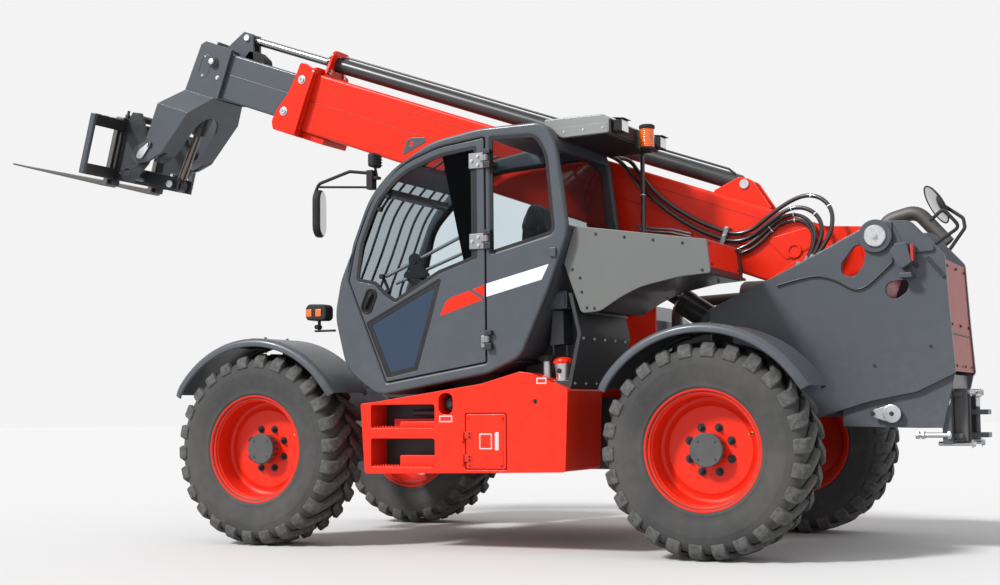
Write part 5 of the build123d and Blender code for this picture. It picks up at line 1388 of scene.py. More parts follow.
class TELEHANDLER_OT_side_cover(bpy.types.Operator):
    """Builds the cover between cab and tower, with its bare rear panel and dark belly; the dark belly is
    painted shade under the cover
    """

    bl_idname = "telehandler.side_cover"
    bl_label = "Side cover"

    def execute(self, context):
        outline = rounded(COVER, steps=6)
        bm = bmesh.new()
        plate(bm, SIDE, outline, COVER_LEFT, 0.014, (), 0.004, 2)
        pairs = list(zip(outline, inset(outline, 0.012)))
        for test in (lambda p: p.y > 1.70, lambda p: p.x > 0.70):
            run = part_of(pairs, lambda pair: test(pair[0]))
            band(bm, [pair[0] for pair in run], [pair[1] for pair in run], COVER_LEFT - 0.008, RAIL + 0.002,
                 0.003)
        piece("cover_skin", bm, "light_grey_paint", "chassis", ["side_box"], smooth=35)

        bm = bmesh.new()
        plate(bm, SIDE, inset(outline, 0.020), COVER_LEFT - 0.010, COVER_LEFT - 0.010 - RAIL, (), 0.006)
        box(bm, SIDE, (0.597, 0.647), (RAIL - 0.073, RAIL), (1.480, 1.530), 0.004)
        # The belly closes the cover's underside in dark paint: painted shade under the grey cover.
        belly = rounded([(-0.022, 1.560), (0.150, 1.548, 0.3), (0.385, 1.503, 0.4), (0.507, 1.448, 0.4),
                         (0.632, 1.372), (0.626, 1.362), (0.500, 1.434, 0.4), (0.380, 1.489, 0.4),
                         (0.148, 1.534, 0.3), (-0.024, 1.546)], 0.0)
        plate(bm, SIDE, belly, COVER_LEFT - 0.003, COVER_LEFT - 0.003 - RAIL, (), 0.002)
        piece("cover_belly", bm, "dark_panel", "chassis", smooth=35)

        bm = bmesh.new()
        rear = ((-0.010, 1.722), (-0.002, 1.722), (-0.018, 1.575), (-0.026, 1.575))
        plate(bm, SIDE, rear, COVER_LEFT - 0.010, 0.520, (), 0.002)
        piece("cover_rear_panel", bm, "orange_paint", "chassis")
        bm = bmesh.new()
        trim = ((-0.027, 1.574), (-0.016, 1.574), (-0.020, 1.536), (-0.030, 1.540))
        plate(bm, SIDE, trim, COVER_LEFT - 0.006, 0.528, (), 0.002)
        piece("cover_rear_trim", bm, "dark_panel", "chassis")

        bm = bmesh.new()
        for x, z in ((0.64, 1.805), (0.47, 1.778), (0.30, 1.752), (0.13, 1.726)):
            bolt(bm, at(SIDE, x, COVER_LEFT, z - 0.012), (0, 1, 0), 0.006)
        for x, z in ((0.73, 1.47), (0.74, 1.55), (0.785, 1.60), (0.70, 1.38), (0.655, 1.375), (0.02, 1.560)):
            bolt(bm, at(SIDE, x, COVER_LEFT, z), (0, 1, 0), 0.006)
        for y in (COVER_LEFT - 0.030, COVER_LEFT - 0.510):
            for x, z in ((-0.0110, 1.705), (-0.0240, 1.592)):
                bolt(bm, at(SIDE, x, y, z), (-1, 0, 0.10), 0.006)
        for share in (0.12, 0.40, 0.68, 0.94):
            x = 0.02 + share * 0.56
            z = 1.541 - 0.19 * share ** 2.2
            for y in (COVER_LEFT - 0.030, COVER_LEFT - 0.500):
                bolt(bm, at(SIDE, x, y, z - 0.004), (0, 0, -1), 0.007)
        piece("cover_bolts", bm, "dark_steel", "chassis")
        self.bulkhead()
        return {"FINISHED"}

    def bulkhead(self):
        """Folded dark sheet behind the cab, with its bolts, brackets and fillers."""
        bm = bmesh.new()
        rear = [Vector(p) for p in ((0.782, 1.466), (0.730, 1.234), (0.798, 0.930))]
        skin = [p + Vector((0.006, 0.001)) for p in rear]
        plate(bm, SIDE, rear + list(reversed(skin)), 1.046, 0.766, (), 0.001)
        lip = ((0.782, 1.466), (0.730, 1.234), (0.798, 0.930), (0.822, 0.930), (0.752, 1.234), (0.804, 1.466))
        plate(bm, SIDE, lip, 1.048, 0.004, (), 0.001)
        box(bm, SIDE, (0.84, 1.20), (0.420, 0.780), (0.965, 1.460), 0.010)
        box(bm, SIDE, (0.80, 1.22), (0.420, 1.030), (0.935, 0.975), 0.004)
        piece("bulkhead_sheet", bm, "dark_panel", "chassis", ["bulkhead"], smooth=30)
        bm = bmesh.new()
        for step in range(5):
            y = 1.005 - step * 0.160
            bolt(bm, at(SIDE, 0.7345, y, 1.212), (-1, 0, 0.17), 0.007)
            bolt(bm, at(SIDE, 0.7895, y, 0.958), (-1, 0, -0.2), 0.007)
        piece("bulkhead_bolts", bm, "zinc", "chassis")
        bm = bmesh.new()
        box(bm, SIDE, (0.850, 0.972), (0.860, 0.960), (1.386, 1.490), 0.008)
        box(bm, SIDE, (0.862, 0.960), (0.960, 0.968), (1.398, 1.478), 0.004)
        slope = ((0.965, 1.380), (0.900, 1.376), (0.898, 1.186), (0.985, 1.180))
        plate(bm, SIDE, slope, 0.905, 0.120, (), 0.003)
        for x in (0.965, 0.880):
            drum(bm, at(SIDE, x, 0.900, 1.180), at(SIDE, x, 0.900, 1.120), 0.006)
        piece("bulkhead_box", bm, "slate_paint", "chassis")

        bm, black, red = bmesh.new(), bmesh.new(), bmesh.new()
        neck = turn_to((0, 0, 1), at(SIDE, 0.985, 0.950, 0.975))
        lathe(bm, neck, [(0, 0), (0, 0.030), (0.008, 0.030), (0.010, 0.025), (0.118, 0.025), (0.118, 0)], 28)
        lathe(black, neck, [(0.112, 0), (0.112, 0.040), (0.118, 0.043), (0.140, 0.043), (0.147, 0.036),
                            (0.148, 0)], 28)
        pot = turn_to((0, 0, 1), at(SIDE, 0.880, 0.950, 0.975))
        lathe(bm, pot, [(0, 0), (0, 0.050), (0.012, 0.050), (0.016, 0.046), (0.060, 0.048), (0.086, 0.054),
                        (0.096, 0.054), (0.098, 0)], 32)
        lathe(black, turn_to((0, 1, 0), at(SIDE, 0.888, 0.994, 1.030)),
              [(0, 0), (0, 0.015), (0.010, 0.014), (0.012, 0.006), (0.012, 0)], 20)
        lathe(red, pot, [(0.096, 0), (0.096, 0.056), (0.110, 0.058), (0.122, 0.052), (0.132, 0.030),
                         (0.136, 0)], 32)
        for cap, x, knobs, reach, low, high in (
            (black, 0.985, 12, 0.042, 1.094, 1.115),
            (red, 0.880, 14, 0.056, 1.073, 1.084),
        ):
            for step in range(knobs):
                angle = step * 2 * pi / knobs
                rim = Vector((cos(angle), sin(angle), 0)) * reach
                drum(cap, at(SIDE, x, 0.950, low) + rim, at(SIDE, x, 0.950, high) + rim, 0.005, 0.001, 8)
        piece("filler_necks", bm, "zinc", "chassis", smooth=40)
        piece("filler_cap_black", black, "dark_plastic", "chassis")
        piece("filler_cap_red", red, "orange_paint", "chassis")


# ------------------------------------------------------------------ roof unit, lamps and beacon
class TELEHANDLER_OT_roof_unit(bpy.types.Operator):
    """Builds the air conditioner behind the cab, the work lamps and the beacon"""

    bl_idname = "telehandler.roof_unit"
    bl_label = "Air conditioner, lamps and beacon"

    def execute(self, context):
        outline = rounded([(0.552, 2.372), (0.862, 2.364, 0.02), (0.963, 2.446, 0.015), (0.963, 2.479, 0.010),
                           (0.602, 2.479, 0.040), (0.552, 2.452, 0.040)], 0.006, 4)
        bm = bmesh.new()
        plate(bm, SIDE, outline, 0.998, 0.771, (), 0.008, 3)
        skirt = rounded([(0.570, 2.372), (0.848, 2.364), (0.905, 2.412), (0.900, 2.420), (0.570, 2.428)],
                        0.006)
        plate(bm, SIDE, skirt, 1.000, 0.004, (), 0.001)
        plate(bm, SIDE, skirt, 0.229, 0.004, (), 0.001)
        piece("ac_cover", bm, "ac_grey", "chassis", ["ac_unit"], smooth=35)
        bm = bmesh.new()
        box(bm, SIDE, (0.5505, 0.566), (0.2245, 0.9985), (2.368, 2.446), 0.003)
        for step in range(22):
            x = 0.580 + step * 0.0125
            box(bm, SIDE, (x, x + 0.006), (0.260, 0.970), (2.3600 - 0.0008 * step / 10, 2.372), 0.001, 1)
        for step in range(9):
            y = 0.300 + step * 0.075
            box(bm, SIDE, (0.5480, 0.5520), (y, y + 0.050), (2.385, 2.391), 0.001, 1)
            box(bm, SIDE, (0.5480, 0.5520), (y, y + 0.050), (2.400, 2.406), 0.001, 1)
        piece("ac_grille", bm, "dark_plastic", "chassis")
        bm = bmesh.new()
        for x, z in ((0.600, 2.400), (0.720, 2.398), (0.840, 2.394)):
            bolt(bm, at(SIDE, x, 1.000, z), (0, 1, 0), 0.005)
        piece("ac_screws", bm, "zinc", "chassis")
        self.lamps()
        self.beacon()
        return {"FINISHED"}

    def lamps(self):
        """Two rear work lamps and one on the front pillar: housing, ring of cells, cover, visor."""
        shells, cells, covers = bmesh.new(), bmesh.new(), bmesh.new()
        for y in (0.930, 0.295):
            box(shells, SIDE, (0.500, 0.545), (y - 0.052, y + 0.052), (2.376, 2.444), 0.008, 3)
            box(shells, SIDE, (0.492, 0.502), (y - 0.055, y + 0.055), (2.372, 2.446), 0.004, 2)
            box(shells, SIDE, (0.5440, 0.5500), (y - 0.020, y + 0.020), (2.380, 2.440), 0.001, 1)
            for fin in range(5):
                low = 2.384 + fin * 0.012
                box(shells, SIDE, (0.512, 0.5465), (y - 0.0545, y + 0.0545), (low, low + 0.004), 0.001, 1)
            visor = ((0.476, 2.4455), (0.545, 2.4535), (0.545, 2.4565), (0.476, 2.4485))
            plate(shells, SIDE, visor, y + 0.055, 0.110, (), 0.001)
            box(covers, SIDE, (0.4900, 0.4925), (y - 0.049, y + 0.049), (2.378, 2.440), 0.0008, 1)
            for row in (2.394, 2.424):
                for step in (-0.032, 0, 0.032):
                    seat = turn_to((-1, 0, 0), at(SIDE, 0.4918, y + step, row))
                    lathe(cells, seat, [(0, 0.0115), (0.0010, 0.0125), (0.0016, 0.0105), (0.0005, 0.003),
                                        (0.0012, 0)], 14)
        piece("work_lamp_housings", shells, "dark_plastic", "chassis", ["work_lamps"], smooth=35)
        piece("work_lamp_covers", covers, "lamp", "chassis")
        piece("work_lamp_cells", cells, "reflector", "chassis", smooth=50)

        bm, glass = bmesh.new(), bmesh.new()
        box(bm, SIDE, (2.040, 2.088), (1.000, 1.100), (2.278, 2.366), 0.016, 3)
        for fin in range(4):
            low = 2.290 + fin * 0.018
            box(bm, SIDE, (2.034, 2.050), (1.006, 1.094), (low, low + 0.006), 0.002, 1)
        drum(bm, at(SIDE, 2.062, 1.050, 2.280), at(SIDE, 2.050, 1.045, 2.215), 0.008)
        box(bm, SIDE, (2.030, 2.075), (1.030, 1.075), (2.205, 2.222), 0.003)
        box(glass, SIDE, (2.086, 2.0905), (1.008, 1.092), (2.286, 2.358), 0.002, 1)
        piece("front_lamp", bm, "dark_plastic", "chassis", smooth=35)
        piece("front_lamp_glass", glass, "lamp", "chassis")
        self.indicator()

    def indicator(self):
        """Black turn lamp with amber windows on a bracket low on the front pillar."""
        bm, windows = bmesh.new(), bmesh.new()
        pod = rounded([(-0.075, -0.050), (-0.075, 0.050), (0.055, 0.055), (0.075, 0.030), (0.075, -0.045)],
                      0.030, 6)
        place = Matrix.Translation((2.492, 1.416, 0))
        plate(bm, SIDE @ place, pod, 1.045, 0.090, (), 0.010, 3)
        for x in (2.452, 2.520):
            box(windows, SIDE, (x, x + 0.042), (0.962, 1.0475), (1.392, 1.440), 0.006)
        drum(bm, at(SIDE, 2.492, 1.000, 1.370), at(SIDE, 2.492, 1.000, 1.312), 0.010)
        box(bm, SIDE, (2.380, 2.520), (0.985, 1.015), (1.300, 1.312), 0.003)
        drum(bm, at(SIDE, 2.500, 0.975, 1.330), at(SIDE, 2.500, 1.025, 1.330), 0.014)
        piece("turn_lamp", bm, "dark_plastic", "chassis", smooth=35)
        piece("turn_lamp_windows", windows, "amber", "chassis")

    def beacon(self):
        """Amber warning beacon on its bracket."""
        middle = Vector((AXLE_X + 0.494, 0.570, 2.338))
        up = turn_to((0, 0, 1), middle)
        ribs = [(0, 0), (0, 0.041), (0.004, 0.043)]
        for step in range(9):
            foot = 0.008 + step * 0.011
            ribs += [(foot, 0.0425), (foot + 0.0035, 0.0405), (foot + 0.0070, 0.0425)]
        ribs += [(0.110, 0.0425), (0.114, 0.039), (0.114, 0)]
        bm = bmesh.new()
        lathe(bm, up, ribs, 40)
        piece("beacon_lens", bm, "amber", "chassis", ["beacon"], smooth=50)
        bm = bmesh.new()
        lathe(bm, up, [(0.112, 0), (0.112, 0.045), (0.120, 0.047), (0.132, 0.046), (0.138, 0.036),
                       (0.140, 0)], 40)
        lathe(bm, up, [(-0.020, 0), (-0.020, 0.026), (-0.004, 0.044), (0.004, 0.044), (0.004, 0)], 40)
        piece("beacon_cap", bm, "dark_plastic", "chassis", smooth=40)
        bm = bmesh.new()
        box(bm, SIDE, (0.5450, 0.5497), (0.536, 0.604), (2.330, 2.450), 0.0015, 1)
        box(bm, SIDE, (0.4540, 0.5497), (0.536, 0.604), (2.3300, 2.3350), 0.0015, 1)
        piece("beacon_bracket", bm, "dark_steel", "chassis")


# ------------------------------------------------------------------ step box
STEP_BOX = [(2.129, 0.858, 0.012), (2.101, 0.442, 0.020), (0.805, 0.462, 0.020), (0.785, 0.925, 0.020),
            (1.010, 1.018, 0.040), (1.080, 1.028, 0.040), (1.330, 0.962, 0.2), (2.050, 0.864, 0.05)]
STEP_HOLES = [[(1.630, 0.712), (1.630, 0.848), (2.056, 0.848), (2.056, 0.712)],
              [(1.630, 0.486), (1.630, 0.650), (2.056, 0.650), (2.056, 0.486)]]
STEP_RISERS = ((1.632, 1.967, 0.712, 0.766, 0.120), (1.632, 1.876, 0.712, 0.750, 0.030),
               (1.632, 1.877, 0.486, 0.553, 0.030))
FILLER_HOLE = [(1.510, 0.789), (1.510, 0.912), (1.601, 0.912), (1.601, 0.789)]
HATCH = [(1.165, 0.473), (1.165, 0.795), (1.430, 0.795), (1.430, 0.473)]
STEP_LEFT, STEP_RIGHT = 1.120, 0.600


class TELEHANDLER_OT_step_box(bpy.types.Operator):
    """Builds the step box, its treads and the service door"""

    bl_idname = "telehandler.step_box"
    bl_label = "Step box and service door"

    def execute(self, context):
        outline = rounded(STEP_BOX, steps=6)
        holes = [rounded(hole, 0.014, 4) for hole in STEP_HOLES]
        filler = rounded(FILLER_HOLE, 0.040, 8)
        hatch = rounded(HATCH, 0.008)
        bm = bmesh.new()
        plate(bm, SIDE, outline, STEP_LEFT, 0.010, [*holes, filler, hatch], 0.004, 2)
        walls = [inset(hole, -0.003) for hole in (*holes, filler)]
        plate(bm, SIDE, inset(outline, 0.003), STEP_LEFT - 0.008, 0.182, [*walls, hatch], 0.001)
        plate(bm, SIDE, inset(outline, 0.003), STEP_LEFT - 0.189, STEP_LEFT - 0.189 - STEP_RIGHT, (), 0.004)
        pocket = inset(hatch, 0.030)
        plate(bm, SIDE, inset(hatch, -0.001), STEP_LEFT - 0.016, 0.004, [pocket], 0.001)
        for left, right, low, high, deep in STEP_RISERS:
            box(bm, SIDE, (left, right), (STEP_LEFT - 0.184, STEP_LEFT - deep), (low - 0.001, high), 0.006, 2)
        for z in (0.518, 0.650):
            box(bm, SIDE, (1.433, 1.455), (STEP_LEFT - 0.001, STEP_LEFT + 0.016), (z - 0.016, z - 0.001),
                0.002)
            drum(bm, at(SIDE, 1.441, STEP_LEFT + 0.009, z - 0.004),
                 at(SIDE, 1.441, STEP_LEFT + 0.009, z + 0.038), 0.004, 0.0005, 12)
        self.lips(bm)
        piece("step_box_shell", bm, "orange_paint", "chassis", ["step_box"], smooth=35)

        bm = bmesh.new()
        lathe(bm, turn_to((0, 1, 0), at(SIDE, 1.556, STEP_LEFT - 0.120, 0.850)),
              [(0, 0), (0, 0.040), (0.050, 0.040), (0.056, 0.034), (0.056, 0.022), (0.072, 0.020),
               (0.074, 0)], 28)
        drum(bm, at(SIDE, 1.640, STEP_LEFT - 0.120, 0.800), at(SIDE, 1.830, STEP_LEFT - 0.120, 0.800),
             0.020, 0.003, 20)
        # Dark plates at the back of each step pocket: painted shade inside the recesses.
        for hole in STEP_HOLES:
            box(bm, SIDE, (hole[0][0] + 0.001, hole[2][0] - 0.001), (STEP_LEFT - 0.187, STEP_LEFT - 0.185),
                (hole[0][1], hole[1][1]), 0)
        bolt(bm, at(SIDE, 0.987, STEP_LEFT, 0.860), (0, 1, 0), 0.009)
        piece("step_box_fittings", bm, "dark_steel", "chassis", smooth=35)
        blank_label("step_box_label", "chassis", (1.512, 1.597), (0.745, 0.783), STEP_LEFT)
        blank_label("step_box_upper_label", "chassis", (0.914, 0.976), (0.956, 0.990), STEP_LEFT)
        self.door()
        return {"FINISHED"}

    def lips(self, bm):
        """Saw-toothed lip and raised treads along the foot of each pocket."""
        for hole in STEP_HOLES:
            (left, low), right = hole[0], hole[2][0]
            pitch = (right - left - 0.030) / 20
            for tooth in range(20):
                x = left + 0.015 + tooth * pitch
                point = ((x, low - 0.002), (x + pitch / 2, low + 0.014), (x + pitch, low - 0.002))
                for y in (STEP_LEFT - 0.001, STEP_LEFT - 0.060):
                    plate(bm, SIDE, point, y, 0.004, (), 0)

    def door(self):
        """Service door with its pressed edge, hinges and bare plates."""
        leaf = rounded([(1.170, 0.478), (1.170, 0.790), (1.425, 0.790), (1.425, 0.478)], 0.010)
        bm = bmesh.new()
        plate(bm, SIDE, leaf, STEP_LEFT, 0.012, (), 0.004, 2)
        raised = inset(leaf, 0.020)
        plate(bm, SIDE, raised, STEP_LEFT + 0.0025, 0.004, (), 0.0018)
        for z in (0.518, 0.650):
            box(bm, SIDE, (1.385, 1.440), (STEP_LEFT, STEP_LEFT + 0.006), (z, z + 0.040), 0.002)
            drum(bm, at(SIDE, 1.441, STEP_LEFT + 0.009, z), at(SIDE, 1.441, STEP_LEFT + 0.009, z + 0.040),
                 0.008, 0.001, 16)
        piece("service_door_leaf", bm, "orange_paint", "service_hatch", ["service_door"], smooth=35)
        bm = bmesh.new()
        for z in (0.528, 0.548, 0.660, 0.680):
            bolt(bm, at(SIDE, 1.400, STEP_LEFT + 0.006, z), (0, 1, 0), 0.005)
        piece("service_door_bolts", bm, "dark_steel", "service_hatch")
        blank_label("service_door_label", "service_hatch", (1.257, 1.337), (0.590, 0.679), STEP_LEFT + 0.0025)
        bm = bmesh.new()
        slim = rounded([(1.214, 0.584), (1.214, 0.686), (1.238, 0.686), (1.238, 0.584)], 0.004)
        plate(bm, SIDE, slim, STEP_LEFT + 0.0037, 0.0012, (), 0.0003)
        piece("service_door_plate", bm, "bare_plate", "service_hatch")


def blank_label(name, body, across_x, across_z, face):
    """Blank label: a pale film with a painted field inside its border."""
    corners = [(x, z) for x, z in zip((0, 0, 1, 1), (0, 1, 1, 0))]
    outline = rounded([(across_x[x], across_z[z]) for x, z in corners], 0.004)
    for part, edge, rise, material in (("border", outline, 0.0008, "bare_plate"),
                                       ("field", inset(outline, 0.007), 0.0012, "orange_paint")):
        bm = bmesh.new()
        plate(bm, SIDE, edge, face + rise, 0.0012, (), 0.0002)
        piece(f"{name}_{part}", bm, material, body)


# ------------------------------------------------------------------ engine side
class TELEHANDLER_OT_engine(bpy.types.Operator):
    """Builds the engine with its tray and hood, and the exhaust"""

    bl_idname = "telehandler.engine"
    bl_label = "Engine, hood and exhaust"

    def execute(self, context):
        eased_copy("engine_tray", "orange_paint", "chassis", 0.004)
        eased_copy("engine_hood", "slate_paint", "hood", 0.005)
        self.trim()
        self.block()
        self.exhaust()
        return {"FINISHED"}

    def trim(self):
        """Louvres, latches and handle on the hood, ribs and bolts on the tray."""
        right = -1.120
        bm = bmesh.new()
        for bank in (0.930, 1.330, 1.730):
            for row in range(6):
                z = 1.130 + row * 0.030
                fin = ((bank, z), (bank, z + 0.010), (bank + 0.26, z + 0.010), (bank + 0.26, z))
                plate(bm, SIDE, fin, right + 0.0010, 0.003, (), 0.0008)
        for bank in (1.05, 1.55):
            for row in range(6):
                x = bank + row * 0.045
                box(bm, SIDE, (x, x + 0.024), (-0.920, -0.620), (1.4995, 1.5025), 0.001, 1)
        box(bm, SIDE, (1.380, 1.500), (right - 0.0180, right - 0.0120), (1.080, 1.104), 0.003)
        for x in (1.385, 1.480):
            box(bm, SIDE, (x, x + 0.015), (right - 0.0140, right + 0.001), (1.082, 1.102), 0.002)
        piece("hood_louvres", bm, "dark_plastic", "hood")
        bm = bmesh.new()
        for x in (0.90, 1.20, 1.50, 1.80, 2.05):
            bolt(bm, at(SIDE, x, right, 0.500), (0, -1, 0), 0.008)
            box(bm, SIDE, (x - 0.012, x + 0.012), (right - 0.0020, right + 0.002), (0.560, 0.980), 0.001, 1)
        piece("tray_ribs", bm, "orange_paint", "chassis")

    def block(self):
        """Engine inside: block, head cover, fan, pulleys, filter and manifold."""
        bm = bmesh.new()
        box(bm, SIDE, (1.060, 1.880), (-0.900, -0.560), (0.570, 1.000), 0.020, 3)
        box(bm, SIDE, (1.080, 1.860), (-0.860, -0.600), (1.000, 1.180), 0.015, 3)
        box(bm, SIDE, (1.120, 1.820), (-0.820, -0.640), (1.180, 1.290), 0.030, 3)
        for step in range(5):
            x = 1.140 + step * 0.160
            box(bm, SIDE, (x, x + 0.045), (-0.915, -0.545), (0.620, 0.940), 0.008, 2)
        for x in (1.040, 1.820):
            box(bm, SIDE, (x, x + 0.090), (-0.980, -0.500), (0.4702, 0.580), 0.006, 2)
        for x in (1.160, 1.340, 1.520, 1.700):
            pipe(bm, line_in(SIDE, (x, -0.850, 1.080), (x, -0.940, 1.090), (x + 0.03, -0.960, 1.160)),
                 0.024, 0.04, 4)
        drum(bm, at(SIDE, 1.120, -0.960, 1.165), at(SIDE, 1.800, -0.960, 1.165), 0.034, 0.008)
        piece("engine_castings", bm, "cast", "chassis", ["engine_block"], smooth=35)
        bm = bmesh.new()
        for y, z, radius in ((-0.730, 0.700, 0.095), (-0.730, 1.060, 0.070), (-0.870, 0.900, 0.045)):
            lathe(bm, turn_to((1, 0, 0), at(SIDE, 1.880, y, z)),
                  [(0, 0), (0, radius), (0.008, radius), (0.014, radius * 0.86), (0.022, radius),
                   (0.030, radius), (0.030, 0)], 28)
        hub = Matrix.Translation(at(SIDE, 1.925, -0.730, 1.060))
        for blade in range(7):
            turn = hub @ Matrix.Rotation(blade * 2 * pi / 7, 4, "X") @ Matrix.Rotation(0.5, 4, "Z")
            turn = turn @ Matrix.Translation((0, 0, 0.130))
            bmesh.ops.create_cube(bm, size=1, matrix=turn @ Matrix.Diagonal((0.004, 0.055, 0.160, 1)))
        piece("engine_fan", bm, "dark_steel", "chassis")
        bm = bmesh.new()
        drum(bm, at(SIDE, 1.150, -0.560, 1.240), at(SIDE, 1.620, -0.560, 1.240), 0.070, 0.012, 32)
        pipe(bm, line_in(SIDE, (1.620, -0.560, 1.240), (1.720, -0.580, 1.260), (1.750, -0.700, 1.240)),
             0.036, 0.06, 6)
        drum(bm, at(SIDE, 1.300, -0.955, 0.700), at(SIDE, 1.300, -0.955, 0.860), 0.045, 0.010, 28)
        piece("engine_filters", bm, "dark_plastic", "chassis")

    def exhaust(self):
        """Silencer with its bands, brackets, front pipe and bent tail pipe."""
        y, z = -0.620, 1.520
        bm = bmesh.new()
        lathe(bm, turn_to((1, 0, 0), at(SIDE, -0.320, y, z)),
              [(0, 0), (0, 0.060), (0.010, 0.092), (0.030, 0.105), (0.590, 0.105), (0.610, 0.092),
               (0.620, 0.060), (0.620, 0)], 40)
        for x in (-0.200, 0.060):
            box(bm, SIDE, (x, x + 0.040), (y, -RAIL), (1.380, 1.400), 0.003)
            box(bm, SIDE, (x, x + 0.040), (-RAIL - 0.012, -RAIL), (1.340, 1.400), 0.002)
            box(bm, SIDE, (x, x + 0.040), (y - 0.020, y + 0.020), (1.380, 1.450), 0.003)
            lathe(bm, turn_to((1, 0, 0), at(SIDE, x, y, z)),
                  [(0, 0.1045), (0.001, 0.108), (0.039, 0.108), (0.040, 0.1045)], 40)
        ahead = line_in(SIDE, (0.290, y, z), (0.745, y, 1.500), (0.745, y, 0.960), (0.7995, y, 0.960))
        pipe(bm, ahead, 0.036, 0.090, 6)
        tail = line_in(SIDE, (-0.300, y, z), (-0.520, y, 1.560), (-0.640, y, 1.960), (-0.830, y, 2.010),
                       (-1.010, y, 1.800))
        run = bent(tail, 0.100, 8)
        pipe(bm, run[:-1] + [run[-1] + (run[-2] - run[-1]).normalized() * 0.002], 0.045, 0, 7)
        end, out = run[-1], (run[-1] - run[-2]).normalized()
        lathe(bm, turn_to(out, end), [(-0.004, 0.045), (0, 0.045), (0, 0.041), (-0.004, 0.040)], 32)
        piece("exhaust_pipes", bm, "exhaust_steel", "chassis", ["exhaust"], smooth=40)
        bm = bmesh.new()
        lathe(bm, turn_to(out, end), [(-0.0015, 0), (-0.0015, 0.040), (-0.0030, 0.0405)], 32)
        piece("exhaust_mouth", bm, "soot", "chassis")


# ------------------------------------------------------------------ mirrors
class TELEHANDLER_OT_mirrors(bpy.types.Operator):
    """Builds the oval front mirror and the round rear mirror on their arms"""

    bl_idname = "telehandler.mirrors"
    bl_label = "Mirrors"

    def execute(self, context):
        bm, glass = bmesh.new(), bmesh.new()
        oval = rounded([(-0.080, -0.146), (-0.080, 0.146), (0.080, 0.146), (0.080, -0.146)], 0.076, 10)
        face = Matrix.Translation(at(SIDE, 2.428, 1.082, 2.018)) @ turn_to((-0.96, -0.29, 0))
        plate(bm, face @ Matrix.Rotation(pi / 2, 4, "Z"), [Vector((p.y, p.x)) for p in oval], 0.035, 0.050,
              (), 0.018, 4)
        plate(glass, face @ Matrix.Rotation(pi / 2, 4, "Z"),
              [Vector((p.y, p.x)) for p in inset(oval, 0.012)], -0.0135, 0.003, (), 0.001)
        arm = line_in(SIDE, (2.090, 1.060, 2.245), (2.220, 1.085, 2.262), (2.430, 1.100, 2.200),
                      (2.455, 1.100, 2.150))
        pipe(bm, arm, 0.010, 0.04, 5)
        pipe(bm, line_in(SIDE, (2.095, 1.060, 2.160), (2.425, 1.100, 2.180)), 0.007, 0, 5)
        box(bm, SIDE, (2.062, 2.105), (1.030, 1.085), (2.145, 2.262), 0.004)
        piece("front_mirror", bm, "dark_plastic", "chassis", ["mirrors"], smooth=40)
        piece("front_mirror_glass", glass, "chrome", "chassis", smooth=30)

        foot_y = -RAIL - 0.012
        bm, glass = bmesh.new(), bmesh.new()
        box(bm, SIDE, (-1.030, -0.990), (foot_y - 0.012, foot_y), (1.670, 1.710), 0.002)
        rod = line_in(SIDE, (-1.030, foot_y - 0.008, 1.700), (-1.128, foot_y - 0.150, 1.880),
                      (-1.112, foot_y - 0.200, 1.945), (-0.979, foot_y - 0.268, 2.045))
        pipe(bm, rod, 0.011, 0.050, 5)
        drum(bm, at(SIDE, -0.985, foot_y - 0.268, 2.030), at(SIDE, -0.960, foot_y - 0.268, 2.058), 0.018,
             0.004)
        back = turn_to((0.79, 0.385, -0.48), at(SIDE, -0.962, foot_y - 0.268, 2.056))
        lathe(bm, back, [(-0.012, 0), (-0.010, 0.050), (0.000, 0.095), (0.012, 0.124), (0.020, 0.133),
                         (0.025, 0.132), (0.026, 0.126), (0.022, 0.122)], 40)
        lathe(glass, back, [(0.0225, 0.123), (0.0300, 0.080), (0.0335, 0.040), (0.0345, 0)], 40)
        piece("rear_mirror", bm, "dark_plastic", "chassis", smooth=40)
        piece("rear_mirror_glass", glass, "chrome", "chassis", smooth=60)
        return {"FINISHED"}


# ------------------------------------------------------------------ boom
OUTER_HALF, OUTER_TOP, OUTER_LOW = 0.180, -0.016, -0.428
INNER_HALF, INNER_TOP, INNER_LOW = 0.150, -0.057, -0.387
OUTER_TAIL, OUTER_FRONT, INNER_TAIL, INNER_END = -0.100, 4.180, 0.520, 4.850
RAM_W, RAM_TAIL, RAM_MOUTH, RAM_EYE = 0.085, 0.922, 4.100, 4.808


def across(u, w=0.0):
    """Drawing plane square to the boom: x to the left, y across it, z forwards along it."""
    left, up = Vector((0, 1, 0)), Vector((-SLIDE.z, 0, SLIDE.x))
    matrix = Matrix((left, up, SLIDE)).transposed().to_4x4()
    matrix.translation = at(BOOM, u, 0, w)
    return matrix


def channel(half, low, top, radius=0.020):
    """Section of a box made of two bent channels."""
    return rounded([(-half, low), (-half, top), (half, top), (half, low)], radius, 5)


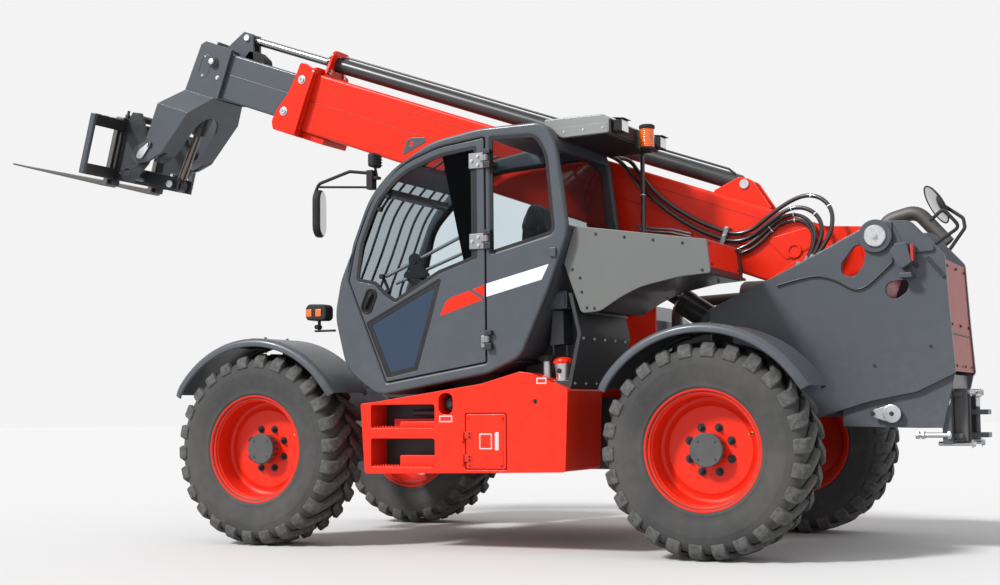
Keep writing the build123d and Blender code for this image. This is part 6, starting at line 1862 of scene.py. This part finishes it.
class TELEHANDLER_OT_boom(bpy.types.Operator):
    """Builds the outer boom, the inner boom and the extension cylinder"""

    bl_idname = "telehandler.boom"
    bl_label = "Boom"

    def execute(self, context):
        self.outer()
        self.collar()
        self.inner()
        self.extension()
        return {"FINISHED"}

    def outer(self):
        """Welded box with its tail plates, lugs and lift bracket."""
        bm = bmesh.new()
        hollow = channel(OUTER_HALF - 0.012, OUTER_LOW + 0.012, OUTER_TOP - 0.012, 0.012)
        plate(bm, across(0.150), channel(OUTER_HALF, OUTER_LOW, OUTER_TOP), 0, OUTER_FRONT - 0.150,
              [hollow], 0.002)
        plate(bm, across(OUTER_TAIL), channel(OUTER_HALF, OUTER_LOW, OUTER_TOP), 0, 0.260, (), 0.004)
        tail = rounded([(-0.100, -0.200), (-0.096, 0.020), (-0.045, 0.092), (0.040, 0.092), (0.120, 0.045),
                        (0.340, -0.018), (0.340, -0.110)], 0.020)
        for y in (OUTER_HALF + 0.002, -OUTER_HALF + 0.030):
            plate(bm, BOOM, tail, y, 0.032, (), 0.003)
        cheek = rounded([(0.120, -0.060), (0.360, -0.150), (0.476, -0.299), (0.560, -0.420),
                         (0.080, -0.420), (0.020, -0.200)], 0.03)
        upper = rounded([(0.400, -0.030), (0.651, -0.193), (0.500, -0.275), (0.380, -0.160),
                         (0.250, -0.050)], 0.02)
        for y in (OUTER_HALF + 0.006, -OUTER_HALF + 0.002):
            plate(bm, BOOM, cheek, y, 0.008, (), 0.003)
            plate(bm, BOOM, upper, y, 0.008, (), 0.003)
        for side in (1, -1):
            seat = turn_to((0, side, 0), at(BOOM, 0.470, side * (OUTER_HALF - 0.002), -0.209))
            lathe(bm, seat, [(0, 0), (0, 0.046), (0.014, 0.046), (0.017, 0.043), (0.017, 0.031),
                             (0.009, 0.028), (0.009, 0)], 36)
        barrel = turn_to((0, 1, 0), at(BOOM, 0, -0.3295, 0))
        lathe(bm, barrel, [(0, 0.060), (0, 0.082), (0.003, 0.085), (0.656, 0.085), (0.659, 0.082),
                           (0.659, 0.060)], 40)
        lug = rounded([(0.700, -0.018), (0.885, 0.122, 0.045), (0.965, 0.122, 0.045), (1.110, -0.018)], 0.012)
        for y in (0.080, -0.056):
            plate(bm, BOOM, lug, y, 0.024, (), 0.004, 2)
        lift = rounded([(1.370, -0.424), (1.540, -0.652, 0.05), (1.660, -0.652, 0.05), (1.830, -0.424)], 0.01)
        for y in (0.113, -0.088):
            plate(bm, BOOM, lift, y, 0.025, (), 0.004, 2)
            plate(bm, BOOM, inset(lift, 0.035), y + 0.004, 0.033, (), 0.003)
        piece("outer_boom_box", bm, "orange_paint", "boom_outer", ["outer_boom"], smooth=35)

        bm = bmesh.new()
        for side in (1, -1):
            y = side * (OUTER_HALF + 0.0002)
            pipe(bm, line_in(BOOM, (0.660, y, -0.215), (4.050, y, -0.215)), 0.0022, 0, 2)
            pipe(bm, line_in(BOOM, (0.560, y, -0.087), (3.330, y, -0.087), (3.380, y, -0.060)), 0.0022,
                 0.03, 2)
        piece("boom_welds", bm, "weld_bead", "boom_outer", smooth=60)

        bm = bmesh.new()
        for side in (1, -1):
            seat = turn_to((0, side, 0), at(BOOM, RAM_TAIL, side * 0.080, RAM_W))
            lathe(bm, seat, [(0, 0), (0, 0.030), (0.007, 0.030), (0.010, 0.027), (0.010, 0.006),
                             (0.008, 0)], 32)
            seat = turn_to((0, side, 0), at(BOOM, 1.600, side * 0.113, -0.590))
            lathe(bm, seat, [(0, 0), (0, 0.044), (0.011, 0.044), (0.014, 0.040), (0.014, 0.008),
                             (0.011, 0)], 32)
        piece("boom_pins", bm, "zinc", "boom_outer", smooth=40)

    def collar(self):
        """Front flanges with their wear-pad bolts, the ring behind them and the hoop on top."""
        flange = [(4.045, 0.000, 0.01), (4.110, 0.014, 0.01), (4.150, 0.026, 0.02), (4.196, 0.022, 0.022),
                  (4.203, -0.090, 0.12), (4.226, -0.215, 0.12), (4.272, -0.330, 0.12),
                  (4.290, -0.420, 0.04), (4.262, -0.474, 0.035), (4.045, -0.474, 0.01)]
        bm = bmesh.new()
        for y in (OUTER_HALF + 0.025, -OUTER_HALF):
            plate(bm, BOOM, rounded(flange), y, 0.025, (), 0.004, 2)
        ring = rounded([(-0.238, -0.474), (-0.238, -0.190, 0.3), (-0.222, 0.024, 0.05),
                        (0.222, 0.024, 0.05), (0.238, -0.190, 0.3), (0.238, -0.474)], 0.030)
        hole = channel(OUTER_HALF - 0.001, OUTER_LOW + 0.001, OUTER_TOP - 0.001, 0.018)
        plate(bm, across(4.050), ring, 0, 0.024, [hole], 0.003, 2)
        front = rounded([(-0.200, -0.445), (-0.200, 0.004), (0.200, 0.004), (0.200, -0.445)], 0.012)
        mouth = channel(INNER_HALF + 0.004, INNER_LOW - 0.004, INNER_TOP + 0.004, 0.016)
        plate(bm, across(4.176), front, 0, 0.020, [mouth], 0.003)
        box(bm, BOOM, (3.860, 4.050), (-0.150, 0.150), (-0.474, -0.429), 0.008, 2)
        box(bm, BOOM, (4.040, 4.262), (-0.200, 0.200), (-0.474, -0.462), 0.004)
        box(bm, BOOM, (4.060, 4.185), (-0.204, 0.204), (-0.450, -0.405), 0.010, 2)
        for side in (1, -1):
            low, high = mirrored(0.181, 0.199, side)
            box(bm, BOOM, (4.060, 4.200), (low, high), (-0.375, -0.350), 0.006, 2)
            box(bm, BOOM, (4.060, 4.170), (low, high), (-0.050, -0.030), 0.005, 2)
        piece("boom_collar", bm, "orange_paint", "boom_outer", smooth=35)

        bm = bmesh.new()
        hoop = [(-0.128, -0.020), (-0.108, 0.080, 0.10), (-0.100, 0.174, 0.090), (0.100, 0.174, 0.090),
                (0.108, 0.080, 0.10), (0.128, -0.020)]
        circle = rounded([(-0.056, RAM_W - 0.056), (-0.056, RAM_W + 0.056), (0.056, RAM_W + 0.056),
                          (0.056, RAM_W - 0.056)], 0.0555, 10)
        plate(bm, across(4.018), rounded(hoop, 0.004, 8), 0, 0.020, [circle], 0.003, 2)
        piece("ram_hoop", bm, "orange_paint", "boom_outer", smooth=40)

        bm = bmesh.new()
        pads = bmesh.new()
        for side in (1, -1):
            for u, w in ((4.141, -0.090), (4.212, -0.335)):
                seat = turn_to((0, side, 0), at(BOOM, u, side * (OUTER_HALF + 0.025), w))
                lathe(bm, seat, [(0, 0), (0, 0.030), (0.004, 0.030), (0.005, 0.028), (0.005, 0.019),
                                 (0.013, 0.018), (0.013, 0.008), (0.007, 0.006), (0.007, 0)], 30)
            for w in (-0.135, -0.300):
                span = mirrored(INNER_HALF + 0.001, OUTER_HALF - 0.001, side)
                box(pads, BOOM, (4.140, 4.206), span, (w - 0.040, w + 0.040), 0.003)
        for y in (-0.090, 0.090):
            box(pads, BOOM, (4.140, 4.206), (y - 0.040, y + 0.040), (INNER_TOP + 0.001, OUTER_TOP - 0.001),
                0.002)
            box(pads, BOOM, (4.140, 4.206), (y - 0.040, y + 0.040), (OUTER_LOW + 0.001, INNER_LOW - 0.001),
                0.002)
            drum(bm, at(BOOM, 4.006, y * 0.9, 0.030), at(BOOM, 4.019, y * 0.9, 0.030), 0.012)
            drum(bm, at(BOOM, 4.006, y * 1.0, 0.010), at(BOOM, 4.019, y * 1.0, 0.010), 0.010)
        piece("collar_bolts", bm, "zinc", "boom_outer", smooth=40)
        piece("wear_pads", pads, "dark_plastic", "boom_outer")

    def inner(self):
        """Inner box with its weld seams and rear slide pads."""
        bm = bmesh.new()
        hollow = channel(INNER_HALF - 0.010, INNER_LOW + 0.010, INNER_TOP - 0.010, 0.010)
        plate(bm, across(INNER_TAIL), channel(INNER_HALF, INNER_LOW, INNER_TOP, 0.016), 0,
              INNER_END - INNER_TAIL, [hollow], 0.002)
        for side in (1, -1):
            y = side * (INNER_HALF + 0.0002)
            pipe(bm, line_in(BOOM, (0.700, y, -0.205), (INNER_END, y, -0.205)), 0.0025, 0, 2)
        piece("inner_boom_box", bm, "slate_paint", "boom_inner", ["inner_boom"], smooth=35)
        bm = bmesh.new()
        pad = channel(OUTER_HALF - 0.0123, OUTER_LOW + 0.0123, OUTER_TOP - 0.0123, 0.010)
        plate(bm, across(INNER_TAIL + 0.010), pad, 0, 0.100,
              [channel(INNER_HALF + 0.001, INNER_LOW - 0.001, INNER_TOP + 0.001, 0.014)], 0.002)
        piece("slide_pads", bm, "dark_plastic", "boom_inner")

    def extension(self):
        """Long cylinder on top of the boom."""
        bm = bmesh.new()
        axis = turn_to(SLIDE, at(BOOM, RAM_TAIL, 0, RAM_W))
        reach = RAM_MOUTH - RAM_TAIL
        lathe(bm, axis, [(0.026, 0), (0.030, 0.038), (0.046, 0.050), (0.060, 0.052), (reach - 0.090, 0.052),
                         (reach - 0.086, 0.0535), (reach - 0.014, 0.0535), (reach - 0.004, 0.048),
                         (reach, 0.040), (reach, 0.0285), (reach - 0.020, 0.0282)], 40)
        lathe(bm, turn_to((0, 1, 0), at(BOOM, RAM_TAIL, -0.054, RAM_W)),
              [(0, 0.0205), (0, 0.038), (0.003, 0.040), (0.105, 0.040), (0.108, 0.038), (0.108, 0.0205)], 32)
        run = line_in(BOOM, (1.010, 0.030, RAM_W + 0.045), (1.060, 0.034, RAM_W + 0.064),
                      (3.960, 0.034, RAM_W + 0.064), (4.000, 0.024, RAM_W + 0.046))
        pipe(bm, run, 0.0070, 0.030, 4)
        piece("extension_barrel", bm, "ram_black", "boom_outer", ["extend_barrel"], smooth=35)
        bm = bmesh.new()
        lathe(bm, turn_to(SLIDE, at(BOOM, RAM_TAIL + 0.330, 0, RAM_W)),
              [(0, 0), (0, 0.027), (0.002, 0.028), (RAM_EYE - RAM_TAIL - 0.330 - 0.030, 0.028),
               (RAM_EYE - RAM_TAIL - 0.330 - 0.030, 0)], 36)
        piece("extension_rod", bm, "rod_chrome", "boom_inner", ["extend_rod"], smooth=40)
        bm = bmesh.new()
        lathe(bm, turn_to((0, 1, 0), at(BOOM, RAM_EYE, -0.029, RAM_W)),
              [(0, 0.0205), (0, 0.036), (0.003, 0.038), (0.055, 0.038), (0.058, 0.036), (0.058, 0.0205)], 32)
        lathe(bm, turn_to(SLIDE, at(BOOM, RAM_EYE - 0.075, 0, RAM_W)),
              [(0, 0.028), (0.004, 0.034), (0.045, 0.034), (0.050, 0.028)], 32)
        piece("extension_rod_eye", bm, "dark_steel", "boom_inner", smooth=40)


# ------------------------------------------------------------------ head, cylinders and forks
class TELEHANDLER_OT_head(bpy.types.Operator):
    """Builds the folded head of the boom with its pins, covers and tilt cylinder"""

    bl_idname = "telehandler.head"
    bl_label = "Boom head and tilt cylinder"

    def execute(self, context):
        eased_copy("boom_head", "slate_paint", "boom_inner", 0.0045)
        bm, pins = bmesh.new(), bmesh.new()
        face = INNER_HALF + 0.028
        corners = [(4.953, -0.113), (4.953, -0.279), (5.043, -0.279), (5.043, -0.113)]
        for side in (1, -1):
            hole = shrunk(corners, 0.006, 0.044, 9)
            y = near_face(face + 0.0022, 0.004, side)
            plate(bm, BOOM, rounded(corners, 0.044, 9), y, 0.004, [hole], 0.0015)
            for u, w in ((5.017, -0.128), (4.998, -0.264)):
                bolt(pins, at(BOOM, u, side * face, w), (0, side, 0), 0.006)
            seat = turn_to((0, side, 0), at(BOOM, 4.934, side * face, -0.151))
            lathe(bm, seat, [(0, 0), (0, 0.040), (0.010, 0.038), (0.016, 0.030), (0.030, 0.030),
                             (0.030, 0)], 30)
            lathe(pins, seat, [(0.028, 0), (0.028, 0.021), (0.034, 0.020), (0.036, 0.008), (0.036, 0)], 28)
            bolt(pins, at(BOOM, 4.862, side * face, -0.249), (0, side, 0), 0.011)
            seat = turn_to((0, side, 0), at(BOOM, RAM_EYE, side * 0.050, RAM_W))
            lathe(pins, seat, [(0, 0), (0, 0.024), (0.010, 0.024), (0.013, 0.021), (0.013, 0)], 28)
            tear = rounded([(5.205, -0.965, 0.030), (5.262, -0.975, 0.030), (5.250, -0.912, 0.030),
                            (5.190, -0.842, 0.014), (5.168, -0.862, 0.014)], 0.02, 6)
            plate(pins, BOOM, tear, near_face(0.3125, 0.006, side), 0.006, (), 0.002)
            box(bm, BOOM, (5.160, 5.182), mirrored(0.299, 0.318, side), (-0.868, -0.830), 0.003)
            bolt(pins, at(BOOM, 5.183, side * 0.3125, -0.862), (0, side, 0), 0.007)
        guard = rounded([(4.590, -0.059), (4.615, -0.020, 0.03), (4.690, 0.012, 0.05), (4.760, 0.004),
                         (4.790, -0.059)], 0.01)
        cover = bmesh.new()
        plate(cover, BOOM, guard, 0.050, 0.100, (), 0.006, 2)
        piece("head_cover", cover, "dark_plastic", "boom_inner", smooth=35)
        box(bm, BOOM, (5.030, 5.046), (-0.060, 0.060), (-0.030, 0.000), 0.003)
        piece("head_fittings", bm, "slate_paint", "boom_inner", smooth=35)
        piece("head_pins", pins, "pin_white", "boom_inner", smooth=40)
        self.tilt()
        self.lift()
        return {"FINISHED"}

    def cylinder(self, names, start, end, radii, mouth, halves, rod_from, bodies):
        """Barrel and rod between two pins, in pieces that slide."""
        start, end = Vector(start), Vector(end)
        along, length = (end - start).normalized(), (end - start).length
        radius, rod, eye = radii
        bm = bmesh.new()
        lathe(bm, turn_to(along, start),
              [(eye - 0.016, 0), (eye - 0.010, radius - 0.012), (eye + 0.008, radius),
               (mouth - 0.075, radius), (mouth - 0.072, radius + 0.003), (mouth - 0.016, radius + 0.003),
               (mouth - 0.006, radius - 0.006), (mouth, rod + 0.014), (mouth, rod + 0.0008),
               (mouth - 0.020, rod + 0.0005)], 44)
        lathe(bm, turn_to((0, 1, 0), start - Vector((0, halves[0], 0))),
              [(0, eye * 0.52), (0, eye - 0.003), (0.003, eye), (2 * halves[0] - 0.003, eye),
               (2 * halves[0], eye - 0.003), (2 * halves[0], eye * 0.52)], 36)
        piece(names[0] + "_shell", bm, "ram_black", bodies[0], [names[0]], smooth=35)
        bm = bmesh.new()
        lathe(bm, turn_to(along, start),
              [(rod_from, 0), (rod_from, rod - 0.001), (rod_from + 0.002, rod), (length - eye * 0.7, rod),
               (length - eye * 0.7, 0)], 36)
        piece(names[1] + "_shaft", bm, "rod_dark", bodies[1], [names[1]], smooth=40)
        bm = bmesh.new()
        lathe(bm, turn_to((0, 1, 0), end - Vector((0, halves[1], 0))),
              [(0, eye * 0.5), (0, eye * 0.88), (0.003, eye * 0.92), (2 * halves[1] - 0.003, eye * 0.92),
               (2 * halves[1], eye * 0.88), (2 * halves[1], eye * 0.5)], 36)
        lathe(bm, turn_to(along, end - along * (eye + 0.003)),
              [(0, rod), (0.002, rod + 0.005), (0.010, rod + 0.005), (0.012, rod)], 36)
        piece(names[1] + "_eye", bm, "dark_steel", bodies[1], smooth=40)

    def tilt(self):
        """Tilt cylinder inside the head's arch."""
        start, end = at(BOOM, 4.985, 0, -0.200), at(FORK, -0.166, 0, -0.164)
        self.cylinder(("tilt_barrel", "tilt_rod"), start, end, (0.058, 0.030, 0.047), 0.500, (0.044, 0.038),
                      0.400, ("tilt_cylinder", "tilt_piston"))

    def lift(self):
        """Lift cylinder under the boom."""
        start, end = at(SIDE, -0.500, 0, 0.820), at(BOOM, 1.600, 0, -0.590)
        self.cylinder(("lift_barrel", "lift_rod"), start, end, (0.080, 0.045, 0.062), 1.200, (0.060, 0.060),
                      0.445, ("lift_cylinder", "lift_piston"))


def shrunk(corners, amount, radius, steps=8):
    """Outline of plain corners moved inwards, its corners rounded by what is left of the radius."""
    moved = inset([Vector(point[:2]) for point in corners], amount)
    radii = [max((point[2] if len(point) > 2 else radius) - amount, 0.002) for point in corners]
    return rounded([(point.x, point.y, left) for point, left in zip(moved, radii)], 0.0, steps)


class TELEHANDLER_OT_forks(bpy.types.Operator):
    """Builds the coupler, the fork carriage and the forks"""

    bl_idname = "telehandler.forks"
    bl_label = "Coupler, carriage and forks"

    def execute(self, context):
        eased_copy("coupler", "coupler_paint", "carriage", 0.004)
        bm, pins = bmesh.new(), bmesh.new()
        for side in (1, -1):
            for s, t, radius in ((0.138, 0.250, 0.030), (0.115, -0.150, 0.034)):
                seat = turn_to((0, side, 0), at(FORK, s, side * 0.267, t))
                lathe(bm, seat, [(0, 0), (0, radius), (0.0012, radius), (0.002, radius - 0.004),
                                 (0.002, radius * 0.6), (0.001, 0)], 32)
            face = 0.118
            seat = turn_to((0, side, 0), at(FORK, -0.166, side * face, -0.164))
            lathe(pins, seat, [(0, 0), (0, 0.026), (0.008, 0.026), (0.011, 0.022), (0.011, 0.007),
                               (0.008, 0)], 30)
            bar = ((0.020, -0.090), (0.140, -0.150), (0.140, -0.130), (0.026, -0.070))
            plate(bm, FORK, bar, near_face(0.269, 0.004, side), 0.004, (), 0.001)
            plug = at(FORK, 0.090, side * 0.200, -0.105)
            drum(pins, plug, plug + Vector((0, side * 0.060, 0)), 0.014)
        piece("coupler_fittings", bm, "dark_steel", "carriage", smooth=40)
        piece("coupler_pins", pins, "pin_white", "carriage", smooth=40)
        self.carriage()
        self.forks()
        return {"FINISHED"}

    def carriage(self):
        """Two cross bars between upright ends, with stops and notches."""
        front, back, half = 0.240, 0.200, 0.620
        bm = bmesh.new()
        box(bm, FORK, (back, front), (-half + 0.002, half - 0.002), (-0.222, -0.142), 0.006, 3)
        box(bm, FORK, (back, front), (-half + 0.002, half - 0.002), (0.132, 0.212), 0.006, 3)
        for step in range(15):
            y = -0.560 + step * 0.080
            box(bm, FORK, (back + 0.004, front - 0.004), (y - 0.020, y + 0.020), (0.211, 0.2155), 0.002, 1)
        for y in (-0.300, 0.268):
            box(bm, FORK, (back + 0.004, back + 0.024), (y, y + 0.032), (-0.142, 0.132), 0.004)
        box(bm, FORK, (0.160, 0.200), (-0.270, 0.270), (-0.222, -0.160), 0.005)
        piece("carriage_bars", bm, "carriage_black", "carriage", ["fork_carriage"], smooth=35)
        bm = bmesh.new()
        for y in (-half, half - 0.030):
            box(bm, FORK, (back - 0.002, front + 0.002), (y, y + 0.030), (-0.2215, 0.212), 0.005, 3)
        piece("carriage_ends", bm, "slate_paint", "carriage", smooth=35)

    def forks(self):
        """Forged forks: hooked shank, rounded heel and a blade that tapers in height and width."""
        for label, y in (("left", 0.250), ("right", -0.250)):
            bm = bmesh.new()
            shank = rounded([(0.2405, -0.282, 0.045), (0.2405, 0.2125), (0.206, 0.2125),
                             (0.206, 0.2340, 0.008), (0.2800, 0.2340, 0.012), (0.2800, -0.240, 0.020),
                             (0.300, -0.240), (0.300, -0.282)], 0.002, 6)
            plate(bm, FORK, shank, y + 0.060, 0.120, (), 0.005, 2)
            part = bmesh.new()
            bmesh.ops.create_cube(part, size=1)
            long_edges = [e for e in part.edges if abs(e.verts[0].co.x - e.verts[1].co.x) > 0.5]
            bmesh.ops.subdivide_edges(part, edges=long_edges, cuts=11, use_grid_fill=True)
            start, reach = 0.292, 0.898

            def blade(point):
                share = point.x + 0.5
                thick = 0.042 - 0.030 * min(1, share / 0.95)
                tip = max(0.0, (share - 0.90) / 0.10)
                wide = 0.120 * (1 - 0.45 * tip * tip)
                return Vector((start + share * reach, -0.282 + (point.z + 0.5) * thick,
                               -(y + point.y * wide)))

            warp(part, blade)
            bmesh.ops.recalc_face_normals(part, faces=part.faces)
            ease(part, [e for e in part.edges if len(e.link_faces) == 2 and e.calc_face_angle(0)
                        > radians(50)], 0.0035)
            bmesh.ops.transform(part, matrix=FORK, verts=part.verts)
            pour(bm, part)
            stands = ["forks"] if label == "left" else []
            piece(f"fork_{label}", bm, "fork_steel", "carriage", stands, smooth=35)
        bm = bmesh.new()
        for y in (0.250, -0.250):
            box(bm, FORK, (0.212, 0.240), (y - 0.014, y + 0.014), (0.233, 0.262), 0.004)
            drum(bm, at(FORK, 0.226, y, 0.260), at(FORK, 0.226, y, 0.290), 0.010)
            box(bm, FORK, (0.200, 0.241), (y - 0.030, y + 0.030), (-0.262, -0.223), 0.004)
        piece("fork_locks", bm, "dark_steel", "carriage")


# ------------------------------------------------------------------ hoses
THICK_HOSE, THIN_HOSE, AC_HOSE = 0.026, 0.022, 0.028
HOSES = {
    "boom_hose_top": (2.073, THICK_HOSE, [
        (1.840, 0.125, 0.014), (1.740, 0.134, 0.017), (1.635, 0.184, 0.027), (1.530, 0.210, -0.048),
        (1.390, 0.204, -0.130), (1.230, 0.203, -0.185), (1.010, 0.203, -0.222), (0.780, 0.203, -0.222),
        (0.640, 0.228, -0.014), (0.520, 0.250, 0.108), (0.410, 0.270, 0.134), (0.312, 0.286, 0.090),
        (0.268, 0.297, -0.012), (0.278, 0.300, -0.122), (0.310, 0.300, -0.224)]),
    "boom_hose_second": (1.899, THICK_HOSE, [
        (1.840, 0.170, 0.014), (1.755, 0.186, 0.017), (1.650, 0.208, -0.016), (1.520, 0.204, -0.110),
        (1.360, 0.203, -0.180), (1.190, 0.203, -0.238), (1.010, 0.203, -0.268), (0.780, 0.203, -0.268),
        (0.650, 0.230, -0.090), (0.565, 0.240, 0.022), (0.452, 0.248, 0.052), (0.352, 0.262, 0.006),
        (0.312, 0.267, -0.098), (0.330, 0.268, -0.200)]),
    "boom_hose_third": (0.859, THIN_HOSE, [
        (0.880, 0.216, -0.352), (0.775, 0.211, -0.300), (0.690, 0.205, -0.190), (0.625, 0.206, -0.070),
        (0.545, 0.209, -0.005), (0.445, 0.216, -0.005), (0.370, 0.227, -0.070), (0.352, 0.233, -0.165),
        (0.362, 0.236, -0.245)]),
    "boom_hose_fourth": (0.759, THIN_HOSE, [
        (0.850, 0.197, -0.362), (0.745, 0.197, -0.310), (0.670, 0.198, -0.215), (0.625, 0.198, -0.115),
        (0.575, 0.198, -0.064), (0.495, 0.199, -0.024), (0.408, 0.202, -0.052), (0.368, 0.204, -0.132),
        (0.376, 0.204, -0.215)]),
}
AC_ROUTE = [(0.640, 0.262, 2.366), (0.640, 0.262, 2.190), (0.628, 0.296, 1.960), (0.622, 0.312, 1.720),
            (0.622, 0.312, 1.5303)]


class TELEHANDLER_OT_hoses(bpy.types.Operator):
    """Lays the boom's hydraulic hoses and the air conditioner's hose, with their ties and fittings"""

    bl_idname = "telehandler.hoses"
    bl_label = "Hoses"

    def execute(self, context):
        made = {}
        for name, (length, diameter, points) in HOSES.items():
            route = [at(BOOM, u, y, w) for u, y, w in points]
            made[name] = self.hose(name, route, diameter, "boom_outer")
        made["ac_hose"] = self.hose("ac_hose", [at(SIDE, *point) for point in AC_ROUTE], AC_HOSE, "chassis")
        tied = {name: [] for name in made}
        for name, shares in (("boom_hose_top", (0.70, 0.80)), ("boom_hose_second", (0.72, 0.84)),
                             ("boom_hose_third", (0.30, 0.52)), ("boom_hose_fourth", (0.34, 0.60)),
                             ("ac_hose", (0.30, 0.72))):
            tied[name].append(self.ties(name, made[name], shares))
        for name, (length, diameter, points) in HOSES.items():
            exit = at(BOOM, *points[0])
        at(SIDE, *AC_ROUTE[0])
        self.fittings()
        return {"FINISHED"}

    def hose(self, name, route, diameter, body):
        """One hose on a smooth curve that the route's points pull."""
        curve = bpy.data.curves.new(name + "_line", "CURVE")
        curve.dimensions, curve.resolution_u = "3D", 14
        spline = curve.splines.new("NURBS")
        spline.points.add(len(route) - 1)
        for point, place in zip(spline.points, route):
            point.co = (*place, 1)
        spline.order_u, spline.use_endpoint_u = 3, True
        curve.bevel_depth, curve.bevel_resolution, curve.use_fill_caps = diameter / 2, 5, True
        curve.materials.append(finish("hose_rubber"))
        made = bpy.data.objects.new(name + "_line", curve)
        bpy.context.scene.collection.objects.link(made)
        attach(made, body)
        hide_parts(name)
        return made

    def ties(self, name, hose, shares):
        """White ties round a hose, each with its small head."""
        line = hose.data.copy()
        line.bevel_depth = 0
        drawn = bpy.data.objects.new("line", line)
        mesh = bpy.data.meshes.new_from_object(drawn)
        bpy.data.objects.remove(drawn)
        bpy.data.curves.remove(line)
        path = [vert.co.copy() for vert in mesh.vertices]
        bpy.data.meshes.remove(mesh)
        radius = hose.data.bevel_depth
        bm = bmesh.new()
        for share in shares:
            index = round(share * (len(path) - 2))
            along = (path[index + 1] - path[index]).normalized()
            seat = turn_to(along, path[index])
            lathe(bm, seat, [(-0.0025, radius - 0.001), (-0.0025, radius + 0.0014),
                             (0.0025, radius + 0.0014), (0.0025, radius - 0.001)], 20)
            head = seat @ Matrix.Translation((0, radius + 0.003, 0))
            bmesh.ops.create_cube(bm, size=1, matrix=head @ Matrix.Diagonal((0.006, 0.005, 0.006, 1)))
        return piece(name + "_ties", bm, "tie_white", hose_body(hose))

    def fittings(self):
        """Ports and ferrules, the strap clamp's screw and the pipes beside it."""
        repaint("hose_fixings", "galvanised")
        facets("hose_fixings", 40)
        bm = bmesh.new()
        bolt(bm, at(BOOM, 0.895, 0.225, -0.2450), (0, 1, 0), 0.007)
        bolt(bm, at(BOOM, 0.895, 0.225, -0.1980), (0, 1, 0), 0.006)
        piece("clamp_screws", bm, "zinc", "boom_outer")
        bm = bmesh.new()
        for lift in (0, 0.020):
            run = line_in(SIDE, (0.700, 0.190, 1.915 + lift), (0.614, 0.200, 1.890 + lift),
                          (0.486, 0.200, 1.876 + lift), (0.360, 0.198, 1.842 + lift))
            pipe(bm, run, 0.007, 0.05, 4)
        piece("boom_pipes", bm, "zinc", "boom_outer", smooth=50)


def hose_body(hose):
    """Body that a hose rides on."""
    return "chassis" if hose.name.startswith("ac_") else "boom_outer"


# ------------------------------------------------------------------ panel
class TELEHANDLER_PT_panel(bpy.types.Panel):
    """Settings and building steps of the telehandler"""

    bl_idname = "TELEHANDLER_PT_panel"
    bl_label = "Telehandler"
    bl_space_type = "VIEW_3D"
    bl_region_type = "UI"
    bl_category = "Telehandler"

    def draw(self, context):
        layout = self.layout
        for group in (context.scene.telehandler_paint, context.scene.telehandler_sizes,
                      context.scene.telehandler_studio):
            column = layout.column(align=True)
            for name in group.bl_rna.properties.keys():
                if name not in ("rna_type", "name"):
                    column.prop(group, name)
        column = layout.column(align=True)
        for operator in STEPS:
            column.operator(operator.bl_idname)


GROUPS = {
    "telehandler_paint": TelehandlerPaint,
    "telehandler_sizes": TelehandlerSizes,
    "telehandler_studio": TelehandlerStudio,
}
STEPS = (
    TELEHANDLER_OT_stage,
    TELEHANDLER_OT_hoses,
    TELEHANDLER_OT_tyres,
    TELEHANDLER_OT_rims,
    TELEHANDLER_OT_mudguards,
    TELEHANDLER_OT_chassis,
    TELEHANDLER_OT_cab,
    TELEHANDLER_OT_interior,
    TELEHANDLER_OT_side_cover,
    TELEHANDLER_OT_roof_unit,
    TELEHANDLER_OT_step_box,
    TELEHANDLER_OT_engine,
    TELEHANDLER_OT_mirrors,
    TELEHANDLER_OT_boom,
    TELEHANDLER_OT_head,
    TELEHANDLER_OT_forks,
)


def register():
    """Adds the settings, the building steps and the panel to Blender."""
    for kind in (*GROUPS.values(), *STEPS, TELEHANDLER_PT_panel):
        bpy.utils.register_class(kind)
    for name, group in GROUPS.items():
        setattr(bpy.types.Scene, name, bpy.props.PointerProperty(type=group))


def unregister():
    """Takes them out again."""
    for name in GROUPS:
        delattr(bpy.types.Scene, name)
    for kind in (TELEHANDLER_PT_panel, *reversed(STEPS), *GROUPS.values()):
        bpy.utils.unregister_class(kind)


def main():
    """Builds every piece."""
    register()
    for operator in STEPS:
        group, name = operator.bl_idname.split(".")
        getattr(getattr(bpy.ops, group), name)()


if __name__ == "__main__":
    main()
